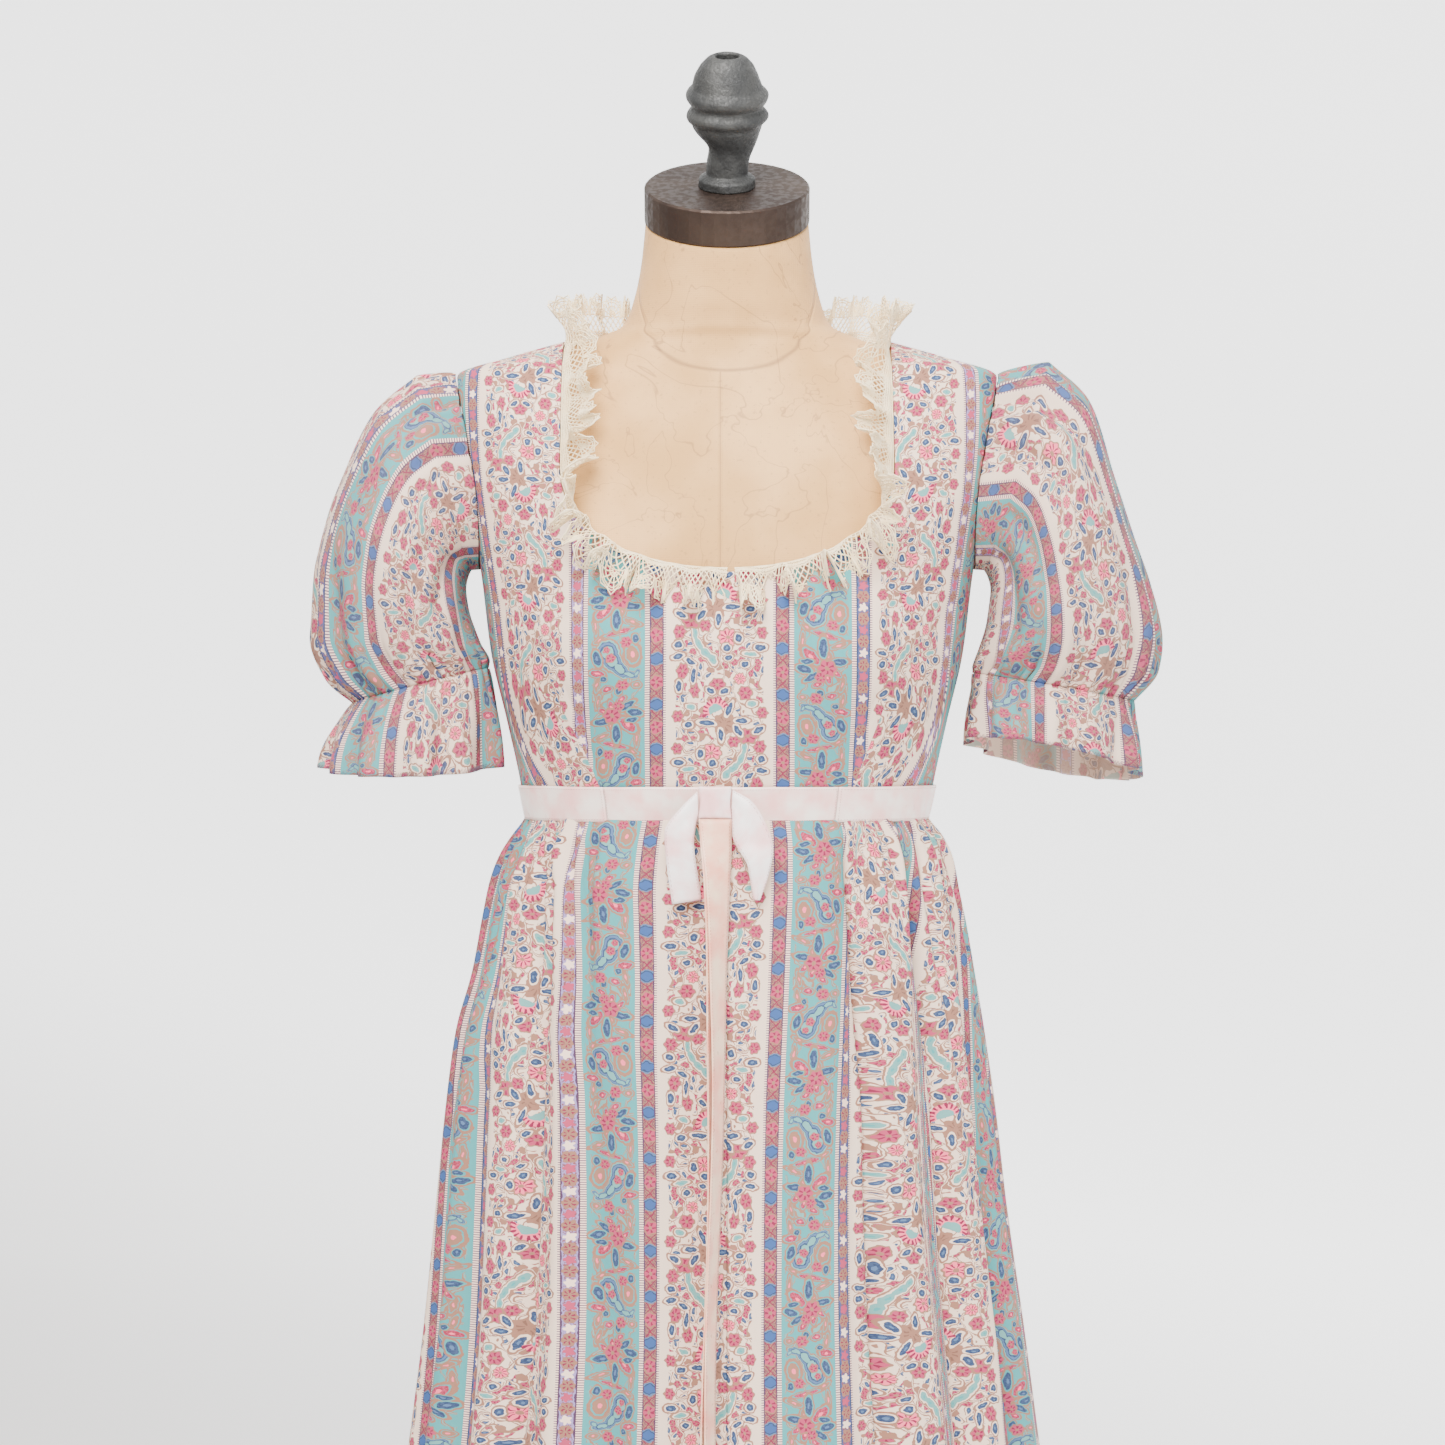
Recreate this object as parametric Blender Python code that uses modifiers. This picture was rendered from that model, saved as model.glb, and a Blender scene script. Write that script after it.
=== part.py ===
"""Prairie dress on a limbless dress form.

Metres, +Z up, the front of the dress faces -Y. The origin is the centre of the
stand's underside. Azimuths are turned from the front: 0 is the front, 90 degrees
is the +X side, 180 degrees is the back.
"""
import math

import bmesh
import bpy
import numpy as np

# Driving dimensions
CLOTH_WALL = 0.0014
RIBBON_WALL = 0.0010
LACE_WALL = 0.0012
CLOTH_EASE = 0.0010
SEAM_GAP = 0.0003

SEAM_Z = 1.1329
UNDERARM_Z = 1.305
STRAP_FROM_Z = 1.340
SHOULDER_TIP_Z = 1.4365
HIGH_SHOULDER_Z = 1.4600
HEM_Z = 0.066
SKIRT_TOP_Z = 1.1312
SEAM_FOLD_DEPTH = 0.0003

NECK_HALF_WIDTH = 0.112
SCOOP_BOTTOM_Z = 1.297
SCOOP_TURN_Z = 1.372
BACK_NECK_Z = 1.4625
ARMHOLE_FRONT_CUT = math.radians(19)
ARMHOLE_BACK_CUT = math.radians(17)

BUST_HALF_SPAN = 0.088
BUST_Z = 1.243
BUST_RISE = 0.015

NECK_TOP_Z = 1.5425
NECK_LEAN_FROM_Z = 1.456
NECK_TILT = math.radians(26)
NECK_TOP_CENTRE_Y = -0.004
FORM_LEVELS = (
    0.780, 0.800, 0.860, 0.940, 1.020, 1.080, 1.140, 1.195, 1.240, 1.285, 1.335, 1.385,
    1.418, 1.434, 1.4445, 1.453, 1.4615, 1.468, 1.480, 1.510, 1.5425,
)
FORM_COLUMNS = 28
FORM_TUCK = 0.0033
CAP_RADIUS = 0.0568
CAP_THICKNESS = 0.0255

FORM_BOTTOM_Z = 0.780
POLE_RADIUS = 0.014
BASE_RADIUS = 0.180
BOSS_TOP_Z = 0.058

SASH_BOTTOM_Z = 1.1340
SASH_TOP_Z = 1.1556
SASH_OFFSET = 0.0030
SASH_JOIN_LEFT_X = -0.0795
SASH_JOIN_RIGHT_X = 0.0716

ZIP_HALF_WIDTH = 0.0026
ZIP_BOTTOM_Z = 0.986
ZIP_TOP_Z = 1.452
PULL_AXIS = (0.0, 0.0044, 0.0010)
LACE_WIDTH = 0.031
LACE_SET_IN = 0.0023

# Horizontal sections of the form, bottom to top
BODY_COLUMNS = ("z", "half_width", "front", "back", "exponent", "centre_y")
BODY_ROWS = (
    (0.780, 0.1400, 0.0900, 0.1000, 2.30, 0.004),
    (0.860, 0.1500, 0.0970, 0.1100, 2.20, 0.004),
    (0.920, 0.1490, 0.0970, 0.1080, 2.15, 0.004),
    (1.000, 0.1370, 0.0930, 0.0960, 2.10, 0.004),
    (1.060, 0.1275, 0.0900, 0.0860, 2.10, 0.004),
    (1.100, 0.1295, 0.0940, 0.0830, 2.10, 0.003),
    (1.144, 0.1375, 0.1030, 0.0850, 2.10, 0.002),
    (1.200, 0.1495, 0.1120, 0.0920, 2.15, 0.002),
    (1.245, 0.1600, 0.1160, 0.0980, 2.20, 0.002),
    (1.300, 0.1670, 0.1100, 0.1030, 2.30, 0.003),
    (1.350, 0.1760, 0.0990, 0.1060, 2.35, 0.005),
    (1.400, 0.1855, 0.0830, 0.1040, 2.10, 0.008),
    (1.420, 0.1870, 0.0760, 0.1000, 1.95, 0.010),
    (1.437, 0.1850, 0.0700, 0.0940, 1.75, 0.011),
    (1.449, 0.1500, 0.0660, 0.0850, 1.60, 0.011),
    (1.459, 0.1140, 0.0635, 0.0750, 1.60, 0.011),
    (1.465, 0.0900, 0.0620, 0.0690, 1.75, 0.010),
    (1.471, 0.0735, 0.0605, 0.0650, 1.90, 0.009),
    (1.489, 0.0648, 0.0590, 0.0600, 2.00, 0.006),
    (1.515, 0.0592, 0.0540, 0.0540, 2.00, 0.001),
    (1.5425, 0.0562, 0.0505, 0.0505, 2.00, -0.004),
)

# Outer envelope of the skirt, seam to hem: the folds sink inwards from it
SKIRT_COLUMNS = ("z", "left", "right", "front", "back", "exponent")
SKIRT_ROWS = (
    (0.066, 0.2960, 0.3000, 0.1900, 0.2250, 1.75),
    (0.400, 0.2560, 0.2560, 0.1520, 0.1850, 1.70),
    (0.700, 0.2185, 0.2146, 0.1280, 0.1480, 1.70),
    (0.778, 0.2085, 0.2043, 0.1235, 0.1410, 1.70),
    (0.868, 0.1995, 0.1915, 0.1195, 0.1330, 1.75),
    (0.937, 0.1925, 0.1835, 0.1170, 0.1260, 1.80),
    (0.985, 0.1860, 0.1765, 0.1155, 0.1200, 1.85),
    (1.027, 0.1745, 0.1700, 0.1140, 0.1140, 1.90),
    (1.065, 0.1675, 0.1640, 0.1120, 0.1080, 1.95),
    (1.089, 0.1625, 0.1590, 0.1105, 0.1030, 2.00),
    (1.105, 0.1565, 0.1555, 0.1085, 0.0980, 2.00),
    (1.120, 0.1470, 0.1480, 0.1055, 0.0925, 2.05),
    (1.1312, 0.1376, 0.1376, 0.1022, 0.0868, 2.10),
)

# Long folds of the skirt: where each lies, in gathers from the flat middle, and how deep it sinks
FOLD_COLUMNS = ("panel", "side", "at_top", "at_hip", "at_hem", "depth_top", "depth_hip", "depth_hem")
FOLD_ROWS = (
    ("front", 1, 0.00, 0.45, 0.60, 0.0070, 0.0095, 0.0150),
    ("front", 1, 2.85, 2.70, 2.95, 0.0060, 0.0125, 0.0200),
    ("front", 1, 5.00, 5.05, 5.05, 0.0050, 0.0100, 0.0200),
    ("front", -1, 0.90, 0.45, 0.20, 0.0035, 0.0070, 0.0150),
    ("front", -1, 3.00, 1.85, 2.05, 0.0055, 0.0095, 0.0200),
    ("front", -1, 4.90, 4.10, 3.90, 0.0045, 0.0085, 0.0230),
    ("front", -1, 6.00, 5.90, 5.80, 0.0040, 0.0070, 0.0180),
    ("back", 1, 0.00, 0.20, 0.40, 0.0040, 0.0090, 0.0180),
    ("back", 1, 2.10, 2.20, 2.40, 0.0050, 0.0110, 0.0220),
    ("back", 1, 4.20, 4.10, 4.30, 0.0040, 0.0090, 0.0200),
    ("back", 1, 6.00, 6.00, 6.10, 0.0055, 0.0120, 0.0240),
    ("back", -1, 0.00, 0.00, 0.10, 0.0050, 0.0100, 0.0200),
    ("back", -1, 1.80, 1.90, 2.10, 0.0040, 0.0080, 0.0220),
    ("back", -1, 3.90, 4.00, 4.10, 0.0055, 0.0120, 0.0220),
    ("back", -1, 6.10, 6.00, 6.00, 0.0045, 0.0090, 0.0200),
)
FOLD_HEIGHTS = (HEM_Z, 0.72, 0.95, SKIRT_TOP_Z)
DEPTH_HEIGHTS = (HEM_Z, 0.93, 1.09, SKIRT_TOP_Z)
FOLD_HALF_WIDTH = 0.97
FRONT_GATHERS = 7
BACK_GATHERS = 7
COLUMNS_PER_GATHER = 4
GATHERS_PER_FLAT = 2.4
FRONT_LEVELS = (HEM_Z, 0.360, 0.640, 0.830, 0.960, 1.035, 1.078, 1.104, 1.121, SKIRT_TOP_Z)
BACK_LEVELS = (HEM_Z, 0.360, 0.640, 0.830, 0.964, 0.984, 1.035, 1.095, 1.118, SKIRT_TOP_Z)

# Rings of the puff sleeves beyond the armhole, as seen from the front
SLEEVE_COLUMNS = ("along", "outer_x", "outer_z", "inner_x", "inner_z", "front", "back")
LEFT_SLEEVE_ROWS = (
    (0.10, 0.2130, 1.4325, 0.1775, 1.3040, 0.054, 0.055),
    (0.24, 0.2410, 1.4095, 0.1800, 1.2985, 0.065, 0.064),
    (0.40, 0.2610, 1.3735, 0.1815, 1.2900, 0.070, 0.069),
    (0.56, 0.2755, 1.3355, 0.1800, 1.2780, 0.071, 0.069),
    (0.71, 0.2835, 1.2960, 0.1765, 1.2650, 0.067, 0.065),
    (0.84, 0.2840, 1.2580, 0.1720, 1.2510, 0.059, 0.057),
    (0.94, 0.2720, 1.2290, 0.1680, 1.2420, 0.048, 0.047),
    (1.00, 0.2560, 1.2125, 0.1665, 1.2355, 0.040, 0.041),
)
RIGHT_SLEEVE_ROWS = (
    (0.10, 0.2210, 1.4420, 0.1785, 1.3040, 0.055, 0.056),
    (0.24, 0.2480, 1.4170, 0.1815, 1.2985, 0.066, 0.066),
    (0.40, 0.2650, 1.3700, 0.1835, 1.2895, 0.072, 0.070),
    (0.56, 0.2785, 1.3290, 0.1820, 1.2760, 0.073, 0.071),
    (0.71, 0.2900, 1.2940, 0.1795, 1.2610, 0.070, 0.068),
    (0.84, 0.2965, 1.2590, 0.1760, 1.2475, 0.063, 0.060),
    (0.94, 0.2925, 1.2340, 0.1735, 1.2380, 0.053, 0.050),
    (1.00, 0.2790, 1.2140, 0.1715, 1.2320, 0.044, 0.043),
)
SLEEVE_RINGS = (0.0, 0.10, 0.24, 0.42, 0.60, 0.76, 0.88, 0.95, 1.0)
SLEEVE_WAVES = 11

# Hem ring of each frill, as seen from the front
FRILL_COLUMNS = ("side", "outer_x", "outer_z", "inner_x", "inner_z", "front", "back", "front_lift")
FRILL_ROWS = (
    (-1, 0.2760, 1.1665, 0.1580, 1.1690, 0.056, 0.054, -0.0070),
    (1, 0.2830, 1.1600, 0.1680, 1.1850, 0.058, 0.055, 0.0085),
)
FRILL_WAVE_DEPTH = 0.0050

# Edges of the two short bow ends, in metres right of the centre and above the sash's middle
BOW_COLUMNS = ("a_x", "a_z", "b_x", "b_z", "stand_off")
BOW_LEFT_ROWS = (
    (-0.0197, 0.0070, -0.0197, -0.0080, 0.0030),
    (-0.0300, -0.0030, -0.0215, -0.0180, 0.0065),
    (-0.0412, -0.0200, -0.0222, -0.0270, 0.0085),
    (-0.0398, -0.0400, -0.0200, -0.0450, 0.0060),
    (-0.0361, -0.0668, -0.0172, -0.0640, 0.0035),
)
BOW_RIGHT_ROWS = (
    (0.0036, 0.0080, 0.0036, -0.0040, 0.0030),
    (0.0165, 0.0005, 0.0040, -0.0220, 0.0070),
    (0.0300, -0.0290, 0.0135, -0.0410, 0.0095),
    (0.0270, -0.0470, 0.0155, -0.0510, 0.0070),
    (0.0212, -0.0640, 0.0178, -0.0640, 0.0040),
)

# The two long tails: where each hangs, how wide, and how far it is turned edge-on
TAIL_COLUMNS = ("z", "x", "turn_degrees")
TAIL_ROWS = (
    (0.500, -0.0165, 72),
    (0.720, -0.0135, 72),
    (0.940, -0.0095, 70),
    (1.020, -0.0080, 62),
    (1.090, -0.0078, 45),
    (1.1338, -0.0082, 12),
)
TAIL_WIDTH = 0.0215
TAIL_STAND_OFF = 0.0022
TAIL_PLY_GAP = 0.0022
TAIL_LEVELS = (0.500, 0.640, 0.780, 0.900, 0.980, 1.040, 1.085, 1.115, 1.1338)

# How far the lace lifts off the cloth along the neckline, in degrees from lying inwards, and its waves
LACE_COLUMNS = ("along", "left_lift", "right_lift", "sway")
LACE_ROWS = (
    (0.00, 112, 114, 0.0085),
    (0.12, 104, 108, 0.0085),
    (0.24, 60, 66, 0.0070),
    (0.36, 22, 26, 0.0050),
    (0.50, 18, 17, 0.0045),
    (0.60, 40, 58, 0.0050),
    (0.67, 70, 98, 0.0050),
    (0.78, 58, 66, 0.0045),
    (0.90, 50, 50, 0.0040),
    (1.00, 46, 46, 0.0040),
)
LACE_WAVES = 18
LACE_END = 0.992
LACE_JOIN = 0.012

# Turned iron finial: radius and height along its own axis
FINIAL_PROFILE = (
    (0.0000, 0.0790), (0.0070, 0.0790), (0.0078, 0.0903), (0.0095, 0.0915), (0.0135, 0.0897),
    (0.0180, 0.0848), (0.0217, 0.0778), (0.0239, 0.0702), (0.0262, 0.0664), (0.0279, 0.0621),
    (0.0270, 0.0579), (0.0246, 0.0553), (0.0246, 0.0533), (0.0275, 0.0505), (0.0275, 0.0463),
    (0.0245, 0.0412), (0.0217, 0.0343), (0.0180, 0.0264), (0.0158, 0.0209), (0.0146, 0.0152),
    (0.0143, 0.0088), (0.0193, 0.0060), (0.0195, 0.0000), (0.0000, 0.0000),
)
BASE_PROFILE = (
    (0.0000, BOSS_TOP_Z), (0.0250, BOSS_TOP_Z), (0.0290, 0.0420), (0.0400, 0.0300), (0.1500, 0.0190),
    (0.1760, 0.0150), (BASE_RADIUS, 0.0100), (BASE_RADIUS, 0.0000), (0.0000, 0.0000),
)

# Material: base colour, roughness, metallic
MATERIALS = {
    "print_cloth": ((0.76, 0.66, 0.64), 0.85, 0.0),
    "satin": ((0.90, 0.72, 0.68), 0.35, 0.0),
    "lace": ((0.90, 0.80, 0.62), 0.90, 0.0),
    "linen": ((0.68, 0.54, 0.38), 0.80, 0.0),
    "bronze": ((0.11, 0.08, 0.055), 0.45, 0.6),
    "iron": ((0.12, 0.12, 0.125), 0.60, 0.7),
    "zip_nylon": ((0.78, 0.74, 0.72), 0.50, 0.0),
    "zip_metal": ((0.72, 0.70, 0.66), 0.30, 1.0),
}


def clear_scene():
    for item in list(bpy.data.objects):
        bpy.data.objects.remove(item, do_unlink=True)


def make_materials():
    made = {}
    for name, (colour, roughness, metallic) in MATERIALS.items():
        material = bpy.data.materials.new(name)
        material.use_nodes = True
        shader = material.node_tree.nodes["Principled BSDF"]
        shader.inputs["Base Color"].default_value = (*colour, 1.0)
        shader.inputs["Roughness"].default_value = roughness
        shader.inputs["Metallic"].default_value = metallic
        made[name] = material
    return made


def smoothstep(value):
    value = np.clip(value, 0.0, 1.0)
    return value * value * (3 - 2 * value)


def monotone_curve(stations, values, where):
    """A smooth curve through the rows of a table that never overshoots a row."""
    stations, values = np.asarray(stations, float), np.asarray(values, float)
    steps = np.diff(stations)
    rises = np.diff(values) / steps
    slopes = np.zeros(len(values))
    slopes[0], slopes[-1] = rises[0], rises[-1]
    for i in range(1, len(values) - 1):
        if rises[i - 1] * rises[i] > 0:
            before = 2 * steps[i] + steps[i - 1]
            after = steps[i] + 2 * steps[i - 1]
            slopes[i] = (before + after) / (before / rises[i - 1] + after / rises[i])
    where = np.clip(where, stations[0], stations[-1])
    k = np.clip(np.searchsorted(stations, where, side="right") - 1, 0, len(steps) - 1)
    t = (where - stations[k]) / steps[k]
    step = steps[k]
    return (
        (2 * t**3 - 3 * t**2 + 1) * values[k]
        + (t**3 - 2 * t**2 + t) * step * slopes[k]
        + (3 * t**2 - 2 * t**3) * values[k + 1]
        + (t**3 - t**2) * step * slopes[k + 1]
    )


def read_table(columns, rows, name, where):
    """Column `name` of a table at the stations `where` of its first column."""
    at = columns.index(name)
    return monotone_curve([row[0] for row in rows], [row[at] for row in rows], where)


def signed_power(value, power):
    return np.sign(value) * np.abs(value) ** power


def body_point(azimuth, z):
    """Point of the form's own surface."""
    azimuth, z = np.broadcast_arrays(np.asarray(azimuth, float), np.asarray(z, float))
    section = {name: read_table(BODY_COLUMNS, BODY_ROWS, name, z) for name in BODY_COLUMNS[1:]}
    power = 2 / section["exponent"]
    side, ahead = np.sin(azimuth), np.cos(azimuth)
    depth = np.where(ahead > 0, section["front"], section["back"])
    x = section["half_width"] * signed_power(side, power)
    y = section["centre_y"] - depth * signed_power(ahead, power)
    across = (np.abs(x) - BUST_HALF_SPAN) / 0.044
    up = (z - BUST_Z) / np.where(z > BUST_Z, 0.062, 0.050)
    y = y - BUST_RISE * np.exp(-across**2 - up**2) * smoothstep(ahead / 0.35)
    lean = smoothstep((z - NECK_LEAN_FROM_Z) / (NECK_TOP_Z - NECK_LEAN_FROM_Z))
    return np.stack([x, y, z + (y - section["centre_y"]) * math.tan(NECK_TILT) * lean], axis=-1)


def outward(surface, azimuth, z):
    """Unit normals of surface(azimuth, z), pointing away from its axis."""
    turn, rise = 0.03, 0.0015
    across = surface(azimuth + turn, z) - surface(azimuth - turn, z)
    upward = surface(azimuth, z + rise) - surface(azimuth, z - rise)
    normal = np.cross(across, upward)
    return normal / np.linalg.norm(normal, axis=-1, keepdims=True)


def over_body(azimuth, z, offset):
    azimuth, z = np.broadcast_arrays(np.asarray(azimuth, float), np.asarray(z, float))
    offset = np.asarray(offset, float)
    return body_point(azimuth, z) + outward(body_point, azimuth, z) * offset[..., None]


def azimuth_at(x, z, behind=False):
    """Azimuth at which the form's section at height z has this x."""
    half_width = read_table(BODY_COLUMNS, BODY_ROWS, "half_width", z)
    exponent = read_table(BODY_COLUMNS, BODY_ROWS, "exponent", z)
    ratio = np.clip(np.abs(x) / half_width, 0, 1)
    turned = np.arcsin(ratio ** (exponent / 2))
    turned = np.where(behind, math.pi - turned, turned)
    return np.where(np.asarray(x) < 0, -turned, turned)


def new_object(name, verts, faces, material, collection):
    mesh = bpy.data.meshes.new(name)
    mesh.from_pydata([tuple(v) for v in verts], [], faces)
    mesh.materials.append(material)
    made = bpy.data.objects.new(name, mesh)
    collection.objects.link(made)
    return made


def grid_faces(rows, columns, closed=False, start=0, turned=False):
    """Quads between rows of points.

    closed joins the last column to the first, and turned splits each quad the other way.
    """
    faces = []
    wide = columns if closed else columns - 1
    for r in range(rows - 1):
        for c in range(wide):
            right = (c + 1) % columns
            low, high = start + r * columns, start + (r + 1) * columns
            quad = (low + c, low + right, high + right, high + c)
            faces.append(quad[1:] + quad[:1] if turned else quad)
    return faces


def add_wall(made, thickness, offset=1.0):
    solidify = made.modifiers.new("wall", "SOLIDIFY")
    solidify.thickness = thickness
    solidify.offset = offset
    solidify.use_even_offset = True
    solidify.use_rim = True
    return made


def sheet_from_grids(name, grids, material, collection, thickness, offset=1.0, turned=False):
    """One open sheet from grids that share their borders, then its wall."""
    verts, faces = [], []
    for grid in grids:
        rows, columns = grid.shape[:2]
        faces += grid_faces(rows, columns, start=len(verts), turned=turned)
        verts += list(grid.reshape(-1, 3))
    made = new_object(name, verts, faces, material, collection)
    shape = bmesh.new()
    shape.from_mesh(made.data)
    bmesh.ops.remove_doubles(shape, verts=shape.verts, dist=0.00002)
    shape.to_mesh(made.data)
    shape.free()
    return add_wall(made, thickness, offset)


def tube_from_rings(name, rings, material, collection, thickness):
    """An open tube through rings of points, then its wall."""
    rows, columns = rings.shape[:2]
    faces = grid_faces(rows, columns, closed=True)
    made = new_object(name, rings.reshape(-1, 3), faces, material, collection)
    return add_wall(made, thickness)


def points_along(curve, fractions, surface):
    """Points of curve (azimuth, z) at these fractions of its length on the surface."""
    azimuth, z = curve
    places = surface(azimuth, z)
    run = np.concatenate([[0], np.cumsum(np.linalg.norm(np.diff(places, axis=0), axis=1))])
    wanted = np.asarray(fractions) * run[-1]
    return np.stack([np.interp(wanted, run, azimuth), np.interp(wanted, run, z)], axis=-1)


def coons(bottom, top, left, right):
    """Points filled in between four borders, each a row of (azimuth, z)."""
    v = np.linspace(0, 1, len(left))[:, None, None]
    u = np.linspace(0, 1, len(bottom))[None, :, None]
    along = (1 - v) * bottom[None] + v * top[None]
    across = (1 - u) * left[:, None] + u * right[:, None]
    corners = (1 - v) * ((1 - u) * bottom[0] + u * bottom[-1]) + v * ((1 - u) * top[0] + u * top[-1])
    return along + across - corners


def armhole(turn, side, offset):
    """Point of the armhole seam: turn 0 is the shoulder tip, pi is the underarm, past pi the front."""
    middle = (SHOULDER_TIP_Z + UNDERARM_Z) / 2
    z = middle + (SHOULDER_TIP_Z - UNDERARM_Z) / 2 * np.cos(turn)
    swing = np.sin(turn)
    cut = np.where(swing < 0, ARMHOLE_FRONT_CUT, ARMHOLE_BACK_CUT)
    azimuth = side * (math.pi / 2 + cut * swing)
    if offset is None:
        return azimuth, z
    return over_body(azimuth, z, offset)


def front_neckline(steps=60):
    """(azimuth, z) from the middle of the scoop to the high shoulder point, on the +X side."""
    round_part = np.linspace(0, math.pi / 2, steps)
    power = 2 / 2.2
    x = NECK_HALF_WIDTH * np.sin(round_part) ** power
    z = SCOOP_TURN_Z - (SCOOP_TURN_Z - SCOOP_BOTTOM_Z) * np.cos(round_part) ** power
    straight = np.linspace(SCOOP_TURN_Z, HIGH_SHOULDER_Z, steps)[1:]
    z = np.concatenate([z, straight])
    x = np.concatenate([x, np.full(steps - 1, NECK_HALF_WIDTH)])
    azimuth = azimuth_at(x, z)
    azimuth[-1] = math.pi / 2
    return azimuth, z


def back_neckline(steps=60):
    """(azimuth, z) from the high shoulder point to the centre back, on the +X side."""
    t = np.linspace(0, 1, steps)
    azimuth = math.pi / 2 * (1 + t)
    z = HIGH_SHOULDER_Z + (BACK_NECK_Z - HIGH_SHOULDER_Z) * smoothstep(t / 0.25)
    return azimuth, z


def cloth_surface(azimuth, z):
    """Inner face of the bodice: close at the shoulder, easier below it."""
    ease = 0.0006 + (CLOTH_EASE - 0.0006) * smoothstep((1.43 - z) / 0.06)
    return over_body(azimuth, z, ease)


def mirrored(points):
    """(azimuth, z) rows on the other side of the centre front."""
    flipped = points.copy()
    flipped[..., 0] *= -1
    return flipped


def rows_up_strap(count):
    """Fractions of a strap's height, closer together near the shoulder, where it turns fastest."""
    return 1 - (1 - np.linspace(0, 1, count + 1)) ** 1.7


def armhole_turn(z):
    middle = (SHOULDER_TIP_Z + UNDERARM_Z) / 2
    return np.arccos(np.clip((z - middle) / (SHOULDER_TIP_Z - middle), -1, 1))


def side_edges(low_rows, strap_rows, facing):
    """Side seam then armhole, from the waist up, as (azimuth, z); facing -1 is the front half."""
    seam_z = np.linspace(SEAM_Z, UNDERARM_Z, low_rows - 1)
    seam = np.stack([np.full(len(seam_z), math.pi / 2), seam_z], axis=-1)
    low_z = np.array([(UNDERARM_Z * 2 + STRAP_FROM_Z) / 3, STRAP_FROM_Z])
    strap_z = STRAP_FROM_Z + (SHOULDER_TIP_Z - STRAP_FROM_Z) * rows_up_strap(strap_rows)
    edges = []
    for z in (low_z, strap_z):
        turn = armhole_turn(z)
        azimuth = armhole(turn if facing > 0 else 2 * math.pi - turn, 1, None)[0]
        edges.append(np.stack([azimuth, z], axis=-1))
    return np.concatenate([seam, edges[0]]), edges[1]


def part_edges(points, shift):
    """Draws a panel's side and shoulder edges back from the seam plane, by its half of the gap."""
    on_seam = np.abs(np.abs(points[..., 0]) - math.pi / 2) < 1e-6
    return np.where(on_seam, shift * SEAM_GAP / 2, 0.0)


def bodice_grid(points, shift):
    grid = cloth_surface(points[..., 0], points[..., 1])
    grid[..., 1] += part_edges(points, shift)
    return grid


def build_bodice_front(material, collection):
    strap_columns, scoop_columns, low_rows, strap_rows = 4, 8, 8, 7
    low_side, strap_side = side_edges(low_rows, strap_rows, -1)
    neckline = front_neckline()
    scoop_share = 0.50
    scoop = points_along(neckline, np.linspace(0, scoop_share, scoop_columns + 1), body_point)
    up = scoop_share + (1 - scoop_share) * rows_up_strap(strap_rows)
    neck_side = points_along(neckline, up, body_point)
    strap_base = np.linspace(neck_side[0], strap_side[0], strap_columns + 1)
    shoulder = np.linspace([math.pi / 2, HIGH_SHOULDER_Z], [math.pi / 2, SHOULDER_TIP_Z], strap_columns + 1)
    top = np.concatenate([scoop, strap_base[1:]])
    waist_azimuth = np.interp(
        np.arange(scoop_columns + strap_columns + 1),
        [0, scoop_columns, scoop_columns + strap_columns],
        np.radians([0, 50, 90]),
    )
    waist = np.stack([waist_azimuth, np.full(len(waist_azimuth), SEAM_Z)], axis=-1)
    centre = np.linspace(waist[0], top[0], len(low_side))
    half = coons(waist, top, centre, low_side)
    whole = np.concatenate([mirrored(half[:, :0:-1]), half], axis=1)
    strap = coons(strap_base, shoulder, neck_side, strap_side)
    grids = [bodice_grid(whole, -1), bodice_grid(strap, -1), bodice_grid(mirrored(strap[:, ::-1]), -1)]
    return sheet_from_grids("bodice_front", grids, material, collection, CLOTH_WALL)


def centre_back_edge(z):
    """Azimuth of a back panel's edge beside the zip, on the +X side."""
    return azimuth_at(np.full(np.shape(z), ZIP_HALF_WIDTH + SEAM_GAP), z, behind=True)


def build_bodice_back(name, side, material, collection):
    strap_columns, neck_columns, low_rows, strap_rows = 4, 6, 8, 7
    low_side, strap_side = side_edges(low_rows, strap_rows, 1)
    columns = strap_columns + neck_columns
    neck = points_along(back_neckline(), np.linspace(0, 1, neck_columns + 1), body_point)
    neck[-1] = (centre_back_edge(np.array([BACK_NECK_Z]))[0], BACK_NECK_Z)
    shoulder = np.linspace([math.pi / 2, SHOULDER_TIP_Z], [math.pi / 2, HIGH_SHOULDER_Z], strap_columns + 1)
    top = np.concatenate([shoulder, neck[1:]])
    low_z = np.linspace(SEAM_Z, STRAP_FROM_Z, len(low_side))
    high_z = STRAP_FROM_Z + (BACK_NECK_Z - STRAP_FROM_Z) * rows_up_strap(strap_rows)
    low_centre = np.stack([centre_back_edge(low_z), low_z], axis=-1)
    high_centre = np.stack([centre_back_edge(high_z), high_z], axis=-1)
    waist = np.linspace(low_side[0], low_centre[0], columns + 1)
    middle = np.linspace(low_side[-1], low_centre[-1], columns + 1)
    low = coons(waist, middle, low_side, low_centre)
    high = coons(middle, top, strap_side, high_centre)
    if side < 0:
        low, high = mirrored(low[:, ::-1]), mirrored(high[:, ::-1])
    grids = [bodice_grid(low, 1), bodice_grid(high, 1)]
    return sheet_from_grids(name, grids, material, collection, CLOTH_WALL, turned=side > 0)


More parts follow.
